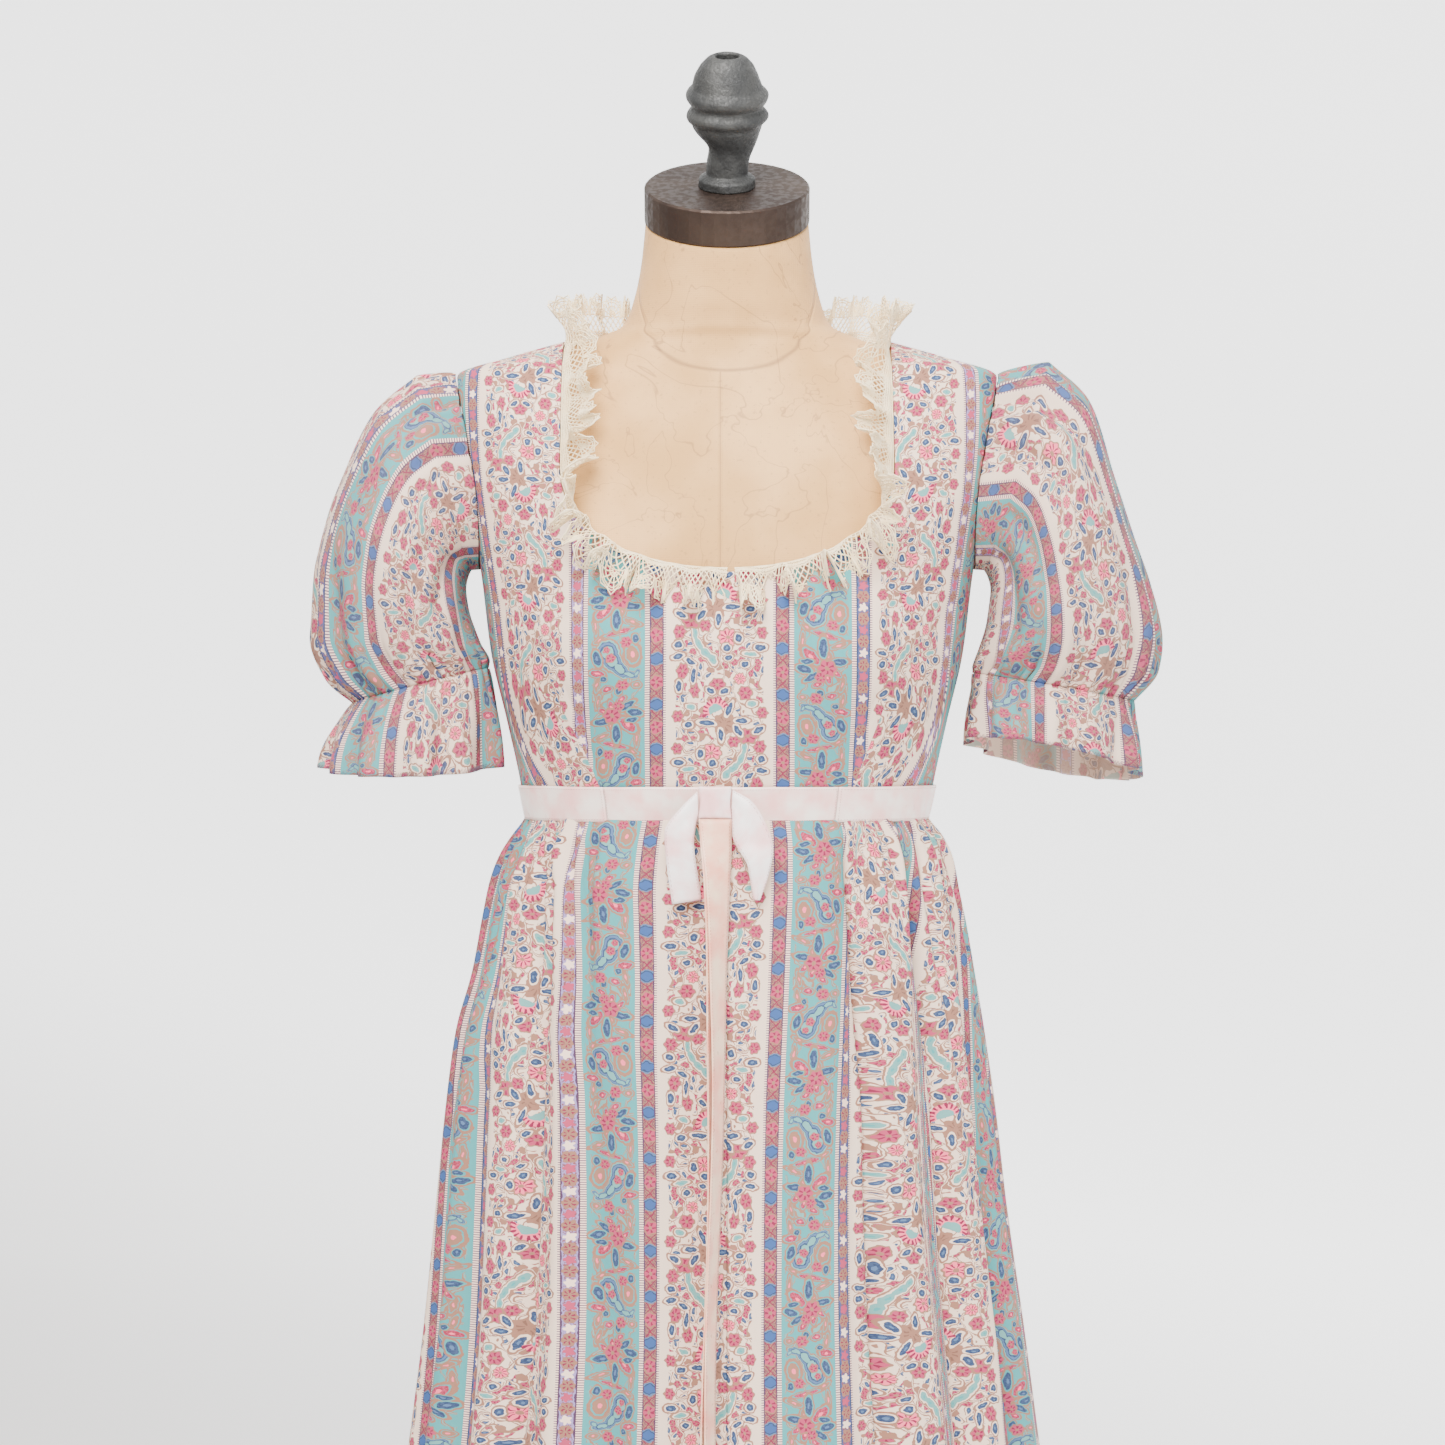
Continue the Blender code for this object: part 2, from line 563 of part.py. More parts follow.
def fold_sink(panel, side, gather, z):
    """How far the long folds take the cloth in, at this place in gathers from the flat middle."""
    sink = np.zeros(np.shape(z))
    for row in FOLD_ROWS:
        fold = dict(zip(FOLD_COLUMNS, row))
        if (fold["panel"], fold["side"]) != (panel, side):
            continue
        places = (fold["at_hem"], fold["at_hem"], fold["at_hip"], fold["at_top"])
        depths = (fold["depth_hem"], fold["depth_hip"], fold["depth_top"], SEAM_FOLD_DEPTH)
        away = np.abs(gather - monotone_curve(FOLD_HEIGHTS, places, z)) / FOLD_HALF_WIDTH
        lobe = np.where(away < 1, np.cos(math.pi / 2 * np.clip(away, 0, 1)) ** 2, 0)
        sink = sink + monotone_curve(DEPTH_HEIGHTS, depths, z) * lobe
    return sink


def gather_depth(z):
    return monotone_curve((0.92, 1.0, 1.06, 1.105, SKIRT_TOP_Z), (0.0, 0.0010, 0.0030, 0.0042, 0.0006), z)


def flat_edge(panel, z):
    """Azimuth where the flat middle of a skirt panel ends and its gathers begin, from that middle."""
    if panel == "front":
        return np.radians(monotone_curve((HEM_Z, 0.50, 0.87, SKIRT_TOP_Z), (25.0, 26.0, 27.5, 33.0), z))
    return np.radians(monotone_curve((HEM_Z, 0.87, SKIRT_TOP_Z), (9.0, 8.5, 8.0), z))


def skirt_point(panel, side, place, z):
    """Inner face of the skirt. place runs 0 to 1 over the flat middle, then by gathers to the side."""
    place, z = np.broadcast_arrays(np.asarray(place, float), np.asarray(z, float))
    gathers = FRONT_GATHERS if panel == "front" else BACK_GATHERS
    flat = np.clip(place, 0, 1)
    gather = np.clip(place - 1, 0, gathers)
    edge = flat_edge(panel, z)
    turned = edge * flat + (math.pi / 2 - edge) * gather / gathers
    azimuth = side * (turned if panel == "front" else math.pi - turned)
    section = {name: read_table(SKIRT_COLUMNS, SKIRT_ROWS, name, z) for name in SKIRT_COLUMNS[1:]}
    power = 2 / section["exponent"]
    ahead = np.cos(azimuth)
    width = section["right"] if side > 0 else section["left"]
    depth = np.where(ahead > 0, section["front"], section["back"])
    x = width * signed_power(np.sin(azimuth), power)
    y = -depth * signed_power(ahead, power)
    sink = gather_depth(z) * (1 - np.cos(2 * math.pi * gather)) / 2 * smoothstep((place - 1) * 4)
    fold_place = np.where(place < 1, (flat - 1) * GATHERS_PER_FLAT, gather)
    sink = sink + fold_sink(panel, side, fold_place, z)
    if panel == "front" and side < 0:
        trough = monotone_curve((HEM_Z, 0.70, 1.0, SKIRT_TOP_Z), (0.006, 0.006, 0.004, 0.0), z)
        sink = sink + trough * np.exp(-(((place - 0.20) / 0.13) ** 2))
    reach = np.hypot(x, y)
    return np.stack([x * (1 - sink / reach), y * (1 - sink / reach), z], axis=-1)


def skirt_places(gathers, flats):
    flat = np.linspace(0, 1, flats + 1)
    pleated = 1 + np.arange(1, gathers * COLUMNS_PER_GATHER + 1) / COLUMNS_PER_GATHER
    return np.concatenate([flat, pleated])


def build_skirt_front(material, collection):
    levels = np.array(FRONT_LEVELS)[:, None]
    place = skirt_places(FRONT_GATHERS, 5)
    right = skirt_point("front", 1, place[None], levels)
    left = skirt_point("front", -1, place[None], levels)
    grid = np.concatenate([left[:, :0:-1], right], axis=1)
    grid[:, [0, -1], 1] -= SEAM_GAP / 2
    return sheet_from_grids("skirt_front", [grid], material, collection, CLOTH_WALL)


def build_skirt_back(name, side, material, collection):
    levels = np.array(BACK_LEVELS)
    place = skirt_places(BACK_GATHERS, 1)[::-1]
    grid = skirt_point("back", side, place[None], levels[:, None])
    half_gap = SEAM_GAP / 2 + np.where(levels > ZIP_BOTTOM_Z - 0.003, ZIP_HALF_WIDTH + SEAM_GAP / 2, 0.0)
    grid[:, -1, 0] = side * half_gap
    grid[:, 0, 1] += SEAM_GAP / 2
    if side < 0:
        grid = grid[:, ::-1]
    return sheet_from_grids(name, [grid], material, collection, CLOTH_WALL)


def sleeve_turns():
    """Turns round the sleeve, from the shoulder by the back to the underarm and the front."""
    count = SLEEVE_WAVES * COLUMNS_PER_GATHER
    return np.linspace(0, 2 * math.pi, count, endpoint=False)


def sleeve_ring(side, rows, along, turn):
    """Smooth ring of a puff sleeve, before its gathers."""
    ring = {name: read_table(SLEEVE_COLUMNS, rows, name, along) for name in SLEEVE_COLUMNS[1:]}
    middle_x = (ring["outer_x"] + ring["inner_x"]) / 2
    middle_z = (ring["outer_z"] + ring["inner_z"]) / 2
    reach_x = (ring["outer_x"] - ring["inner_x"]) / 2
    reach_z = (ring["outer_z"] - ring["inner_z"]) / 2
    swing = np.sin(turn)
    depth = np.where(swing < 0, ring["front"], ring["back"])
    x = side * (middle_x + reach_x * np.cos(turn))
    y = 0.004 + depth * swing
    z = middle_z + reach_z * np.cos(turn)
    return np.stack([x, y, z], axis=-1)


def sleeve_point(side, rows, along, turn):
    """Inner face of a puff sleeve: along 0 is the armhole, 1 is the elastic."""
    along, turn = np.broadcast_arrays(np.asarray(along, float), np.asarray(turn, float))
    beyond = sleeve_ring(side, rows, np.maximum(along, 0.10), turn)
    seam = armhole(turn, side, CLOTH_WALL + 0.0018)
    start = smoothstep(along / 0.10)[..., None]
    smooth = seam * (1 - start) + beyond * start
    centre = sleeve_ring(side, rows, np.maximum(along, 0.10), np.zeros_like(turn))
    centre = (centre + sleeve_ring(side, rows, np.maximum(along, 0.10), turn * 0 + math.pi)) / 2
    wave = np.cos(SLEEVE_WAVES * turn)
    cap = monotone_curve((0.0, 0.08, 0.22, 0.45), (0.0, 0.0030, 0.0026, 0.0), along)
    cap = cap * smoothstep((np.cos(turn) + 0.45) / 0.9)
    cuff = monotone_curve((0.62, 0.86, 0.95, 1.0), (0.0, 0.0028, 0.0034, 0.0010), along)
    away = smooth - centre
    away = away / np.linalg.norm(away, axis=-1, keepdims=True)
    return smooth + away * (wave * (cap + cuff))[..., None]


def frill_point(side, rows, down, turn):
    """Inner face of a frill: down 0 is the elastic, 1 is the hem."""
    down, turn = np.broadcast_arrays(np.asarray(down, float), np.asarray(turn, float))
    hem = next(row for row in FRILL_ROWS if row[0] == side)
    hem = dict(zip(FRILL_COLUMNS, hem))
    top = sleeve_point(side, rows, 1.0, turn)
    swing = np.sin(turn)
    depth = np.where(swing < 0, hem["front"], hem["back"])
    centre = np.array([side * (hem["outer_x"] + hem["inner_x"]) / 2, 0.004, 0.0])
    ring = np.stack([
        side * ((hem["outer_x"] + hem["inner_x"]) / 2 + (hem["outer_x"] - hem["inner_x"]) / 2 * np.cos(turn)),
        0.004 + depth * swing,
        (hem["outer_z"] + hem["inner_z"]) / 2 + (hem["outer_z"] - hem["inner_z"]) / 2 * np.cos(turn)
        - hem["front_lift"] * swing,
    ], axis=-1)
    away = (ring - centre) * np.array([1.0, 1.0, 0.0])
    away = away / np.linalg.norm(away, axis=-1, keepdims=True)
    flare = np.sin(np.clip(down, 0, 1) * math.pi / 2) ** 0.8
    smooth = top * (1 - flare[..., None]) + ring * flare[..., None]
    smooth[..., 2] = top[..., 2] * (1 - down) + ring[..., 2] * down
    wave = np.cos(SLEEVE_WAVES * turn) * FRILL_WAVE_DEPTH * smoothstep(down)
    return smooth + away * wave[..., None]


def build_sleeve(side, rows, material, collection):
    word = "right" if side > 0 else "left"
    turn = sleeve_turns()[None]
    rings = sleeve_point(side, rows, np.array(SLEEVE_RINGS)[:, None], turn)
    if side > 0:
        rings = rings[:, ::-1]
    tube_from_rings("sleeve_" + word, rings[:, ::-1], material, collection, CLOTH_WALL)
    down = np.array([0.0, 0.5, 1.0])[:, None]
    frill = frill_point(side, rows, down, turn)
    axis = sleeve_point(side, rows, np.array([0.95, 1.0])[:, None], turn).mean(axis=1)
    along = (axis[1] - axis[0]) / np.linalg.norm(axis[1] - axis[0])
    frill = frill + along * SEAM_GAP * (1 - down[..., None]) * 3
    if side > 0:
        frill = frill[:, ::-1]
    tube_from_rings("frill_" + word, frill[:, ::-1], material, collection, CLOTH_WALL)


def neckline_loop(side):
    """(azimuth, z) of half the neckline, from the front middle to the centre back."""
    front = np.stack(front_neckline(), axis=-1)
    back = np.stack(back_neckline(), axis=-1)[1:]
    points = np.concatenate([front, back])
    points[:, 0] *= side
    return points


def lace_point(side, along, across):
    """The lace's middle face: along runs from the centre front to the centre back, across from its seam."""
    along, across = np.broadcast_arrays(np.asarray(along, float), np.asarray(across, float))
    points = neckline_loop(side)
    places = over_body(points[:, 0], points[:, 1], 0.0017)
    run = np.concatenate([[0], np.cumsum(np.linalg.norm(np.diff(places, axis=0), axis=1))])
    run = run / run[-1]
    seam = np.stack([np.interp(along, run, places[:, i]) for i in range(3)], axis=-1)
    step = 0.004
    ahead = np.stack([np.interp(np.clip(along + step, 0, 1), run, places[:, i]) for i in range(3)], axis=-1)
    behind = np.stack([np.interp(np.clip(along - step, 0, 1), run, places[:, i]) for i in range(3)], axis=-1)
    tangent = (ahead - behind) / np.linalg.norm(ahead - behind, axis=-1, keepdims=True)
    azimuth = np.interp(along, run, points[:, 0])
    z = np.interp(along, run, points[:, 1])
    normal = outward(body_point, azimuth, z)
    inward = np.cross(normal, tangent) * side
    inward = inward / np.linalg.norm(inward, axis=-1, keepdims=True)
    lift_name = "right_lift" if side > 0 else "left_lift"
    lift = np.radians(read_table(LACE_COLUMNS, LACE_ROWS, lift_name, along))
    sway_depth = 0.0004 + read_table(LACE_COLUMNS, LACE_ROWS, "sway", along) * across
    width = LACE_WIDTH * (0.965 + 0.035 * np.cos(4 * math.pi * LACE_WAVES * along))
    swell = sway_depth * np.cos(2 * math.pi * LACE_WAVES * along)
    stand = np.cos(lift)[..., None] * inward + np.sin(lift)[..., None] * normal
    sway = -np.sin(lift)[..., None] * inward + np.cos(lift)[..., None] * normal
    start = seam + inward * LACE_SET_IN
    return start + stand * (across * width)[..., None] + sway * swell[..., None]


def build_lace(side, first, material, collection):
    word = "right" if side > 0 else "left"
    along = np.linspace(first, LACE_END, LACE_WAVES * COLUMNS_PER_GATHER)
    grid = lace_point(side, along[None], np.array([0.0, 0.5, 1.0])[:, None])
    if side < 0:
        grid = grid[:, ::-1]
    return sheet_from_grids("lace_" + word, [grid], material, collection, LACE_WALL, 0.0)


def sash_grid(start, end, count):
    azimuth = np.linspace(start, end, count + 1)
    low = over_body(azimuth, np.full(len(azimuth), SASH_BOTTOM_Z), SASH_OFFSET + 0.0004)
    high = over_body(azimuth, np.full(len(azimuth), SASH_TOP_Z), SASH_OFFSET)
    return np.stack([low, high])


def build_sash(material, collection):
    middle_z = (SASH_BOTTOM_Z + SASH_TOP_Z) / 2
    left_join = float(azimuth_at(SASH_JOIN_LEFT_X, middle_z))
    right_join = float(azimuth_at(SASH_JOIN_RIGHT_X, middle_z))
    back = float(azimuth_at(ZIP_HALF_WIDTH + 0.0016, middle_z, behind=True))
    gap = 0.0014
    for name, start, end, count in (
        ("sash_front", left_join + gap, right_join - gap, 9),
        ("sash_left", -back, left_join - gap, 18),
        ("sash_right", right_join + gap, back, 18),
    ):
        sheet_from_grids(name, [sash_grid(start, end, count)], material, collection, RIBBON_WALL)


def front_clearance(z):
    """How far forward of the form's axis plane the sash and the skirt reach at the centre, at height z."""
    skirt = read_table(SKIRT_COLUMNS, SKIRT_ROWS, "front", z) + CLOTH_WALL
    sash = -over_body(0.0, SASH_TOP_Z, SASH_OFFSET + RIBBON_WALL + SEAM_GAP)[1]
    near = smoothstep((z - SASH_BOTTOM_Z + 0.024) / 0.020)
    return skirt + np.maximum(sash - skirt, 0) * near


def bow_end_grid(rows, count=9):
    steps = np.linspace(0, len(rows) - 1, count)
    values = {
        name: monotone_curve(range(len(rows)), [row[i] for row in rows], steps)
        for i, name in enumerate(BOW_COLUMNS)
    }
    middle_z = (SASH_BOTTOM_Z + SASH_TOP_Z) / 2
    edges = []
    for share in (0.0, 0.5, 1.0):
        x = values["a_x"] * (1 - share) + values["b_x"] * share
        z = middle_z + values["a_z"] * (1 - share) + values["b_z"] * share
        bulge = 0.0012 * math.sin(math.pi * share)
        y = -(np.maximum(front_clearance(z), front_clearance(z + 0.012)) + values["stand_off"] + bulge)
        edges.append(np.stack([x, y, z], axis=-1))
    return np.stack(edges)


def tail_grid(apart, bottom):
    """One long tail: apart moves it off its partner, square to the ribbon's face."""
    z = np.array([level for level in TAIL_LEVELS if level > bottom + 0.02])
    z = np.concatenate([[bottom], z])
    turn = np.radians(read_table(TAIL_COLUMNS, TAIL_ROWS, "turn_degrees", z))
    half = TAIL_WIDTH / 2
    x = read_table(TAIL_COLUMNS, TAIL_ROWS, "x", z) + apart * np.sin(turn)
    y = -(front_clearance(z) + TAIL_STAND_OFF + half * np.sin(turn)) - apart * np.cos(turn)
    edges = [
        np.stack([x + share * half * np.cos(turn), y + share * half * np.sin(turn), z], axis=-1)
        for share in (-1, 1)
    ]
    return np.stack(edges, axis=1)


def build_bow(material, collection):
    middle_z = (SASH_BOTTOM_Z + SASH_TOP_Z) / 2
    sash_y = -float(front_clearance(np.array(middle_z)))
    bpy.ops.mesh.primitive_cube_add(size=1, location=(-0.0080, sash_y - 0.0027, middle_z))
    knot = bpy.context.object
    knot.name = "bow_knot"
    knot.scale = (0.0216, 0.0060, 0.0212)
    bpy.ops.object.transform_apply(location=False, rotation=False, scale=True)
    move_to(knot, collection)
    knot.data.materials.append(material)
    bevel = knot.modifiers.new("soft edge", "BEVEL")
    bevel.width = 0.0022
    bevel.segments = 2
    for name, rows, flip in (("bow_end_left", BOW_LEFT_ROWS, True), ("bow_end_right", BOW_RIGHT_ROWS, False)):
        grid = bow_end_grid(rows)
        if flip:
            grid = grid[:, ::-1]
        sheet_from_grids(name, [grid[::-1]], material, collection, RIBBON_WALL)
    for name, apart, bottom in (("tail_left", 0.0, 0.500), ("tail_right", TAIL_PLY_GAP, 0.560)):
        sheet_from_grids(name, [tail_grid(apart, bottom)], material, collection, RIBBON_WALL)


def zip_line(z):
    """Centre back line of the cloth's inner face, over the bodice and the skirt."""
    azimuth = np.full(np.shape(z), math.pi)
    bodice = cloth_surface(azimuth, np.maximum(z, SEAM_Z))[..., 1]
    skirt = skirt_point("back", 1, 0.0, np.minimum(z, SEAM_Z))[..., 1]
    return np.where(z > SEAM_Z, bodice, skirt)


def build_zip(cloth, metal, collection):
    z = np.linspace(ZIP_BOTTOM_Z, ZIP_TOP_Z, 19)
    y = zip_line(z) - 0.0002
    grid = np.stack([
        np.stack([np.full(len(z), ZIP_HALF_WIDTH), y, z], axis=-1),
        np.stack([np.full(len(z), -ZIP_HALF_WIDTH), y, z], axis=-1),
    ], axis=1)
    sheet_from_grids("zip_tape", [grid], cloth, collection, 0.0018)
    pull_z = ZIP_TOP_Z - 0.010
    high, low = zip_line(np.array([pull_z + 0.01, pull_z - 0.03]))
    slope = math.atan2(float(low - high), 0.04)
    seat = bpy.data.objects.new("zip_seat", None)
    seat.location = (0.0, float(zip_line(np.array([pull_z]))[0]) + 0.0024, pull_z)
    seat.rotation_euler = (slope, 0.0, 0.0)
    collection.objects.link(seat)
    build_slider(seat, metal, collection)
    build_pull(seat, metal, collection)


def box(name, size, centre, collection):
    bpy.ops.mesh.primitive_cube_add(size=1, location=centre)
    made = bpy.context.object
    made.name = name
    made.scale = size
    bpy.ops.object.transform_apply(location=True, rotation=False, scale=True)
    move_to(made, collection)
    return made


def round_bar(name, radius, length, collection):
    """A round bar along X, centred on its object's origin."""
    bpy.ops.mesh.primitive_cylinder_add(vertices=16, radius=radius, depth=length, rotation=(0, math.pi / 2, 0))
    made = bpy.context.object
    made.name = name
    bpy.ops.object.transform_apply(location=True, rotation=True, scale=True)
    move_to(made, collection)
    return made


def move_to(made, collection):
    for home in list(made.users_collection):
        home.objects.unlink(made)
    collection.objects.link(made)


def join_by_union(base, parts):
    for part in parts:
        union = base.modifiers.new("join", "BOOLEAN")
        union.operation = "UNION"
        union.object = part
        part.hide_render = True
        part.display_type = "WIRE"


def build_slider(seat, metal, collection):
    """Slider body with two cheeks and a pin, in the seat's frame: +Y is outwards, +Z up the zip."""
    cutters = bpy.data.collections["cutters"]
    body = box("zip_slider", (0.0078, 0.0024, 0.0105), (0, 0.0012, 0), collection)
    body.data.materials.append(metal)
    cheeks = [
        box("slider_cheek_a", (0.0010, 0.0040, 0.0040), (0.0026, 0.0038, 0.0010), cutters),
        box("slider_cheek_b", (0.0010, 0.0040, 0.0040), (-0.0026, 0.0038, 0.0010), cutters),
    ]
    pin = round_bar("slider_pin", 0.00055, 0.0050, cutters)
    for piece in [body, *cheeks, pin]:
        piece.parent = seat
    pin.location = PULL_AXIS
    join_by_union(body, [*cheeks, pin])


def build_pull(seat, metal, collection):
    """Pull tab hung on the slider's pin, its origin on the pin's axis."""
    cutters = bpy.data.collections["cutters"]
    tab = box("zip_pull", (0.0038, 0.0011, 0.0210), (0, 0, -0.0100), collection)
    tab.data.materials.append(metal)
    eye = round_bar("pull_eye", 0.00085, 0.0100, cutters)
    barrel = round_bar("pull_barrel", 0.00155, 0.0038, cutters)
    for piece in (tab, eye, barrel):
        piece.parent = seat
        piece.location = PULL_AXIS
    join_by_union(tab, [barrel])
    cut = tab.modifiers.new("eye", "BOOLEAN")
    cut.operation = "DIFFERENCE"
    cut.object = eye
    eye.hide_render = True
    eye.display_type = "WIRE"


def build_form(linen, bronze, iron, collection):
    levels = np.array(FORM_LEVELS)
    azimuth = np.linspace(-math.pi, math.pi, FORM_COLUMNS, endpoint=False)
    tuck = FORM_TUCK * smoothstep((1.470 - levels) / 0.012)[:, None]
    rings = over_body(azimuth[None], levels[:, None], -tuck)
    rings[0] = over_body(azimuth, np.full(len(azimuth), FORM_BOTTOM_Z), -0.012)
    rings[0, :, 2] = FORM_BOTTOM_Z
    top_centre = np.array([0, NECK_TOP_CENTRE_Y, NECK_TOP_Z])
    axis = np.array([0, -math.sin(NECK_TILT), math.cos(NECK_TILT)])
    rings[-1] -= ((rings[-1] - top_centre) @ axis)[:, None] * axis
    columns = len(azimuth)
    faces = grid_faces(len(levels), columns, closed=True)
    faces.append(tuple(range(columns))[::-1])
    faces.append(tuple(range((len(levels) - 1) * columns, len(levels) * columns)))
    new_object("form_body", rings.reshape(-1, 3), faces, linen, collection)
    place_cap(top_centre, axis, bronze, collection)
    place_finial(top_centre, axis, iron, collection)
    turned_piece("form_base", BASE_PROFILE, 32, bronze, collection)
    pole_length = FORM_BOTTOM_Z - BOSS_TOP_Z - 2 * SEAM_GAP
    bpy.ops.mesh.primitive_cylinder_add(
        vertices=20, radius=POLE_RADIUS, depth=pole_length,
        location=(0, 0, BOSS_TOP_Z + SEAM_GAP + pole_length / 2),
    )
    pole = bpy.context.object
    pole.name = "form_pole"
    pole.data.materials.append(bronze)
    move_to(pole, collection)


def place_cap(top_centre, axis, material, collection):
    centre = top_centre + axis * (SEAM_GAP + CAP_THICKNESS / 2)
    bpy.ops.mesh.primitive_cylinder_add(
        vertices=40,
        radius=CAP_RADIUS,
        depth=CAP_THICKNESS,
        location=tuple(centre),
        rotation=(NECK_TILT, 0, 0),
    )
    cap = bpy.context.object
    cap.name = "form_cap"
    cap.data.materials.append(material)
    move_to(cap, collection)
    bevel = cap.modifiers.new("rim", "BEVEL")
    bevel.width = 0.0012
    bevel.segments = 1
    bevel.limit_method = "ANGLE"


def turned_piece(name, profile, steps, material, collection):
    verts = [(radius, 0.0, height) for radius, height in profile]
    mesh = bpy.data.meshes.new(name)
    mesh.from_pydata(verts, [(i, i + 1) for i in range(len(verts) - 1)], [])
    mesh.materials.append(material)
    made = bpy.data.objects.new(name, mesh)
    collection.objects.link(made)
    screw = made.modifiers.new("turn", "SCREW")
    screw.axis = "Z"
    screw.steps = steps
    screw.render_steps = steps
    screw.use_merge_vertices = True
    screw.merge_threshold = 0.00005
    screw.use_smooth_shade = True
    return made


def place_finial(top_centre, axis, material, collection):
    finial = turned_piece("form_finial", FINIAL_PROFILE, 16, material, collection)
    finial.location = tuple(top_centre + axis * (CAP_THICKNESS + 2 * SEAM_GAP))
    finial.rotation_euler = (NECK_TILT, 0, 0)


def build_dress(materials, collection):
    cloth = materials["print_cloth"]
    build_bodice_front(cloth, collection)
    build_bodice_back("bodice_back_left", -1, cloth, collection)
    build_bodice_back("bodice_back_right", 1, cloth, collection)
    build_skirt_front(cloth, collection)
    build_skirt_back("skirt_back_left", -1, cloth, collection)
    build_skirt_back("skirt_back_right", 1, cloth, collection)
    build_sleeve(-1, LEFT_SLEEVE_ROWS, cloth, collection)
    build_sleeve(1, RIGHT_SLEEVE_ROWS, cloth, collection)
    build_lace(-1, 0.0, materials["lace"], collection)
    build_lace(1, LACE_JOIN, materials["lace"], collection)
    build_sash(materials["satin"], collection)
    build_bow(materials["satin"], collection)
    build_zip(materials["zip_nylon"], materials["zip_metal"], collection)


def main():
    clear_scene()
    collection = bpy.data.collections.new("prairie_dress")
    cutters = bpy.data.collections.new("cutters")
    bpy.context.scene.collection.children.link(collection)
    bpy.context.scene.collection.children.link(cutters)
    cutters.hide_render = True
    materials = make_materials()
    build_form(materials["linen"], materials["bronze"], materials["iron"], collection)
    build_dress(materials, collection)


main()
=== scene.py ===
# %% [markdown]
# # A prairie dress on its dress form
#
# This lesson dresses a plain measured model with cloth, lace, ribbon and a
# printed stripe. The model is loaded first and stays as it is. Everything that
# follows is laid over it, in metres, with the front of the dress facing -Y.

# %% Load the measured model
import math

import bmesh
import bpy
import numpy as np
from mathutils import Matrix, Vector


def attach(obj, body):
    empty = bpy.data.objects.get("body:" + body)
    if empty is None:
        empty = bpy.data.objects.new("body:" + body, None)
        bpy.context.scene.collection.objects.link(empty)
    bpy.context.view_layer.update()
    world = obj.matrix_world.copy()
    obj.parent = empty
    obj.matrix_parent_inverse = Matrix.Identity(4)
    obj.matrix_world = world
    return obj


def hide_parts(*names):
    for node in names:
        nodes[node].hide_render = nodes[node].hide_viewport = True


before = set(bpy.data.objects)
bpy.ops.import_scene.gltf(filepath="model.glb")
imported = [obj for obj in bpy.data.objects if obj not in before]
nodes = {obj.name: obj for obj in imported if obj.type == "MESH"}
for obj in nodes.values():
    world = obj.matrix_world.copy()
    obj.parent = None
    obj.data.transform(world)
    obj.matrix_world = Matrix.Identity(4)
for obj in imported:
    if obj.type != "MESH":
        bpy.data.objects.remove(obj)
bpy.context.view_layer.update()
BODY = "dress_on_form"
print("solids in the model:", len(nodes))

# %% [markdown]
# ## Camera, floor and light
#
# The photograph was taken level with the chest, straight on. A long lens
# 2.6 metres away keeps the stripes straight. The background is a wall
# that is lit evenly, so the floor and the wall are one pale sweep.

# %% Camera
EYE = (-0.0031, -2.6, 1.1977)
LENS = 93.9
SENSOR_WIDTH = 36.0


def placed(name, data):
    """A new object in the scene, made of this data."""
    made = bpy.data.objects.new(name, data)
    bpy.context.scene.collection.objects.link(made)
    return made


camera_data = bpy.data.cameras.new("camera")
camera_data.lens = LENS
camera_data.sensor_width = SENSOR_WIDTH
camera = placed("camera", camera_data)
camera.location = EYE
camera.rotation_euler = (math.pi / 2, 0.0, 0.0)
bpy.context.scene.camera = camera
print("camera", EYE, "lens", LENS)

# %% Lights


def soft_light(name, place, aim, size, power, colour):
    """A square area light that points at a spot."""
    data = bpy.data.lights.new(name, "AREA")
    data.shape = "SQUARE"
    data.size = size
    data.energy = power
    data.color = colour
    made = placed(name, data)
    made.location = place
    made.rotation_euler = (Vector(aim) - Vector(place)).to_track_quat("-Z", "Y").to_euler()
    return made


soft_light("window light", (-0.4, -1.75, 2.7), (0.0, 0.0, 1.4), 1.4, 168.0, (1.0, 0.98, 0.96))
soft_light("fill light", (2.6, -1.9, 1.6), (0.0, 0.0, 1.1), 2.4, 36.0, (0.97, 0.98, 1.0))
soft_light("top light", (0.2, -0.6, 3.2), (0.0, 0.1, 1.1), 1.8, 50.0, (1.0, 1.0, 1.0))
world = bpy.data.worlds.new("studio")
world.use_nodes = True
sky = world.node_tree.nodes["Background"]
sky.inputs["Color"].default_value = (0.90, 0.91, 0.92, 1.0)
sky.inputs["Strength"].default_value = 0.95
bpy.context.scene.world = world

# %% [markdown]
# ## Shader arithmetic
#
# A printed cloth is a lot of arithmetic: which stripe am I in, how far is the
# nearest leaf. `Flow` wraps one socket, so that arithmetic reads as ordinary
# Python and each operator adds its node. Every other node comes from `node`.

# %% A socket that can be calculated with


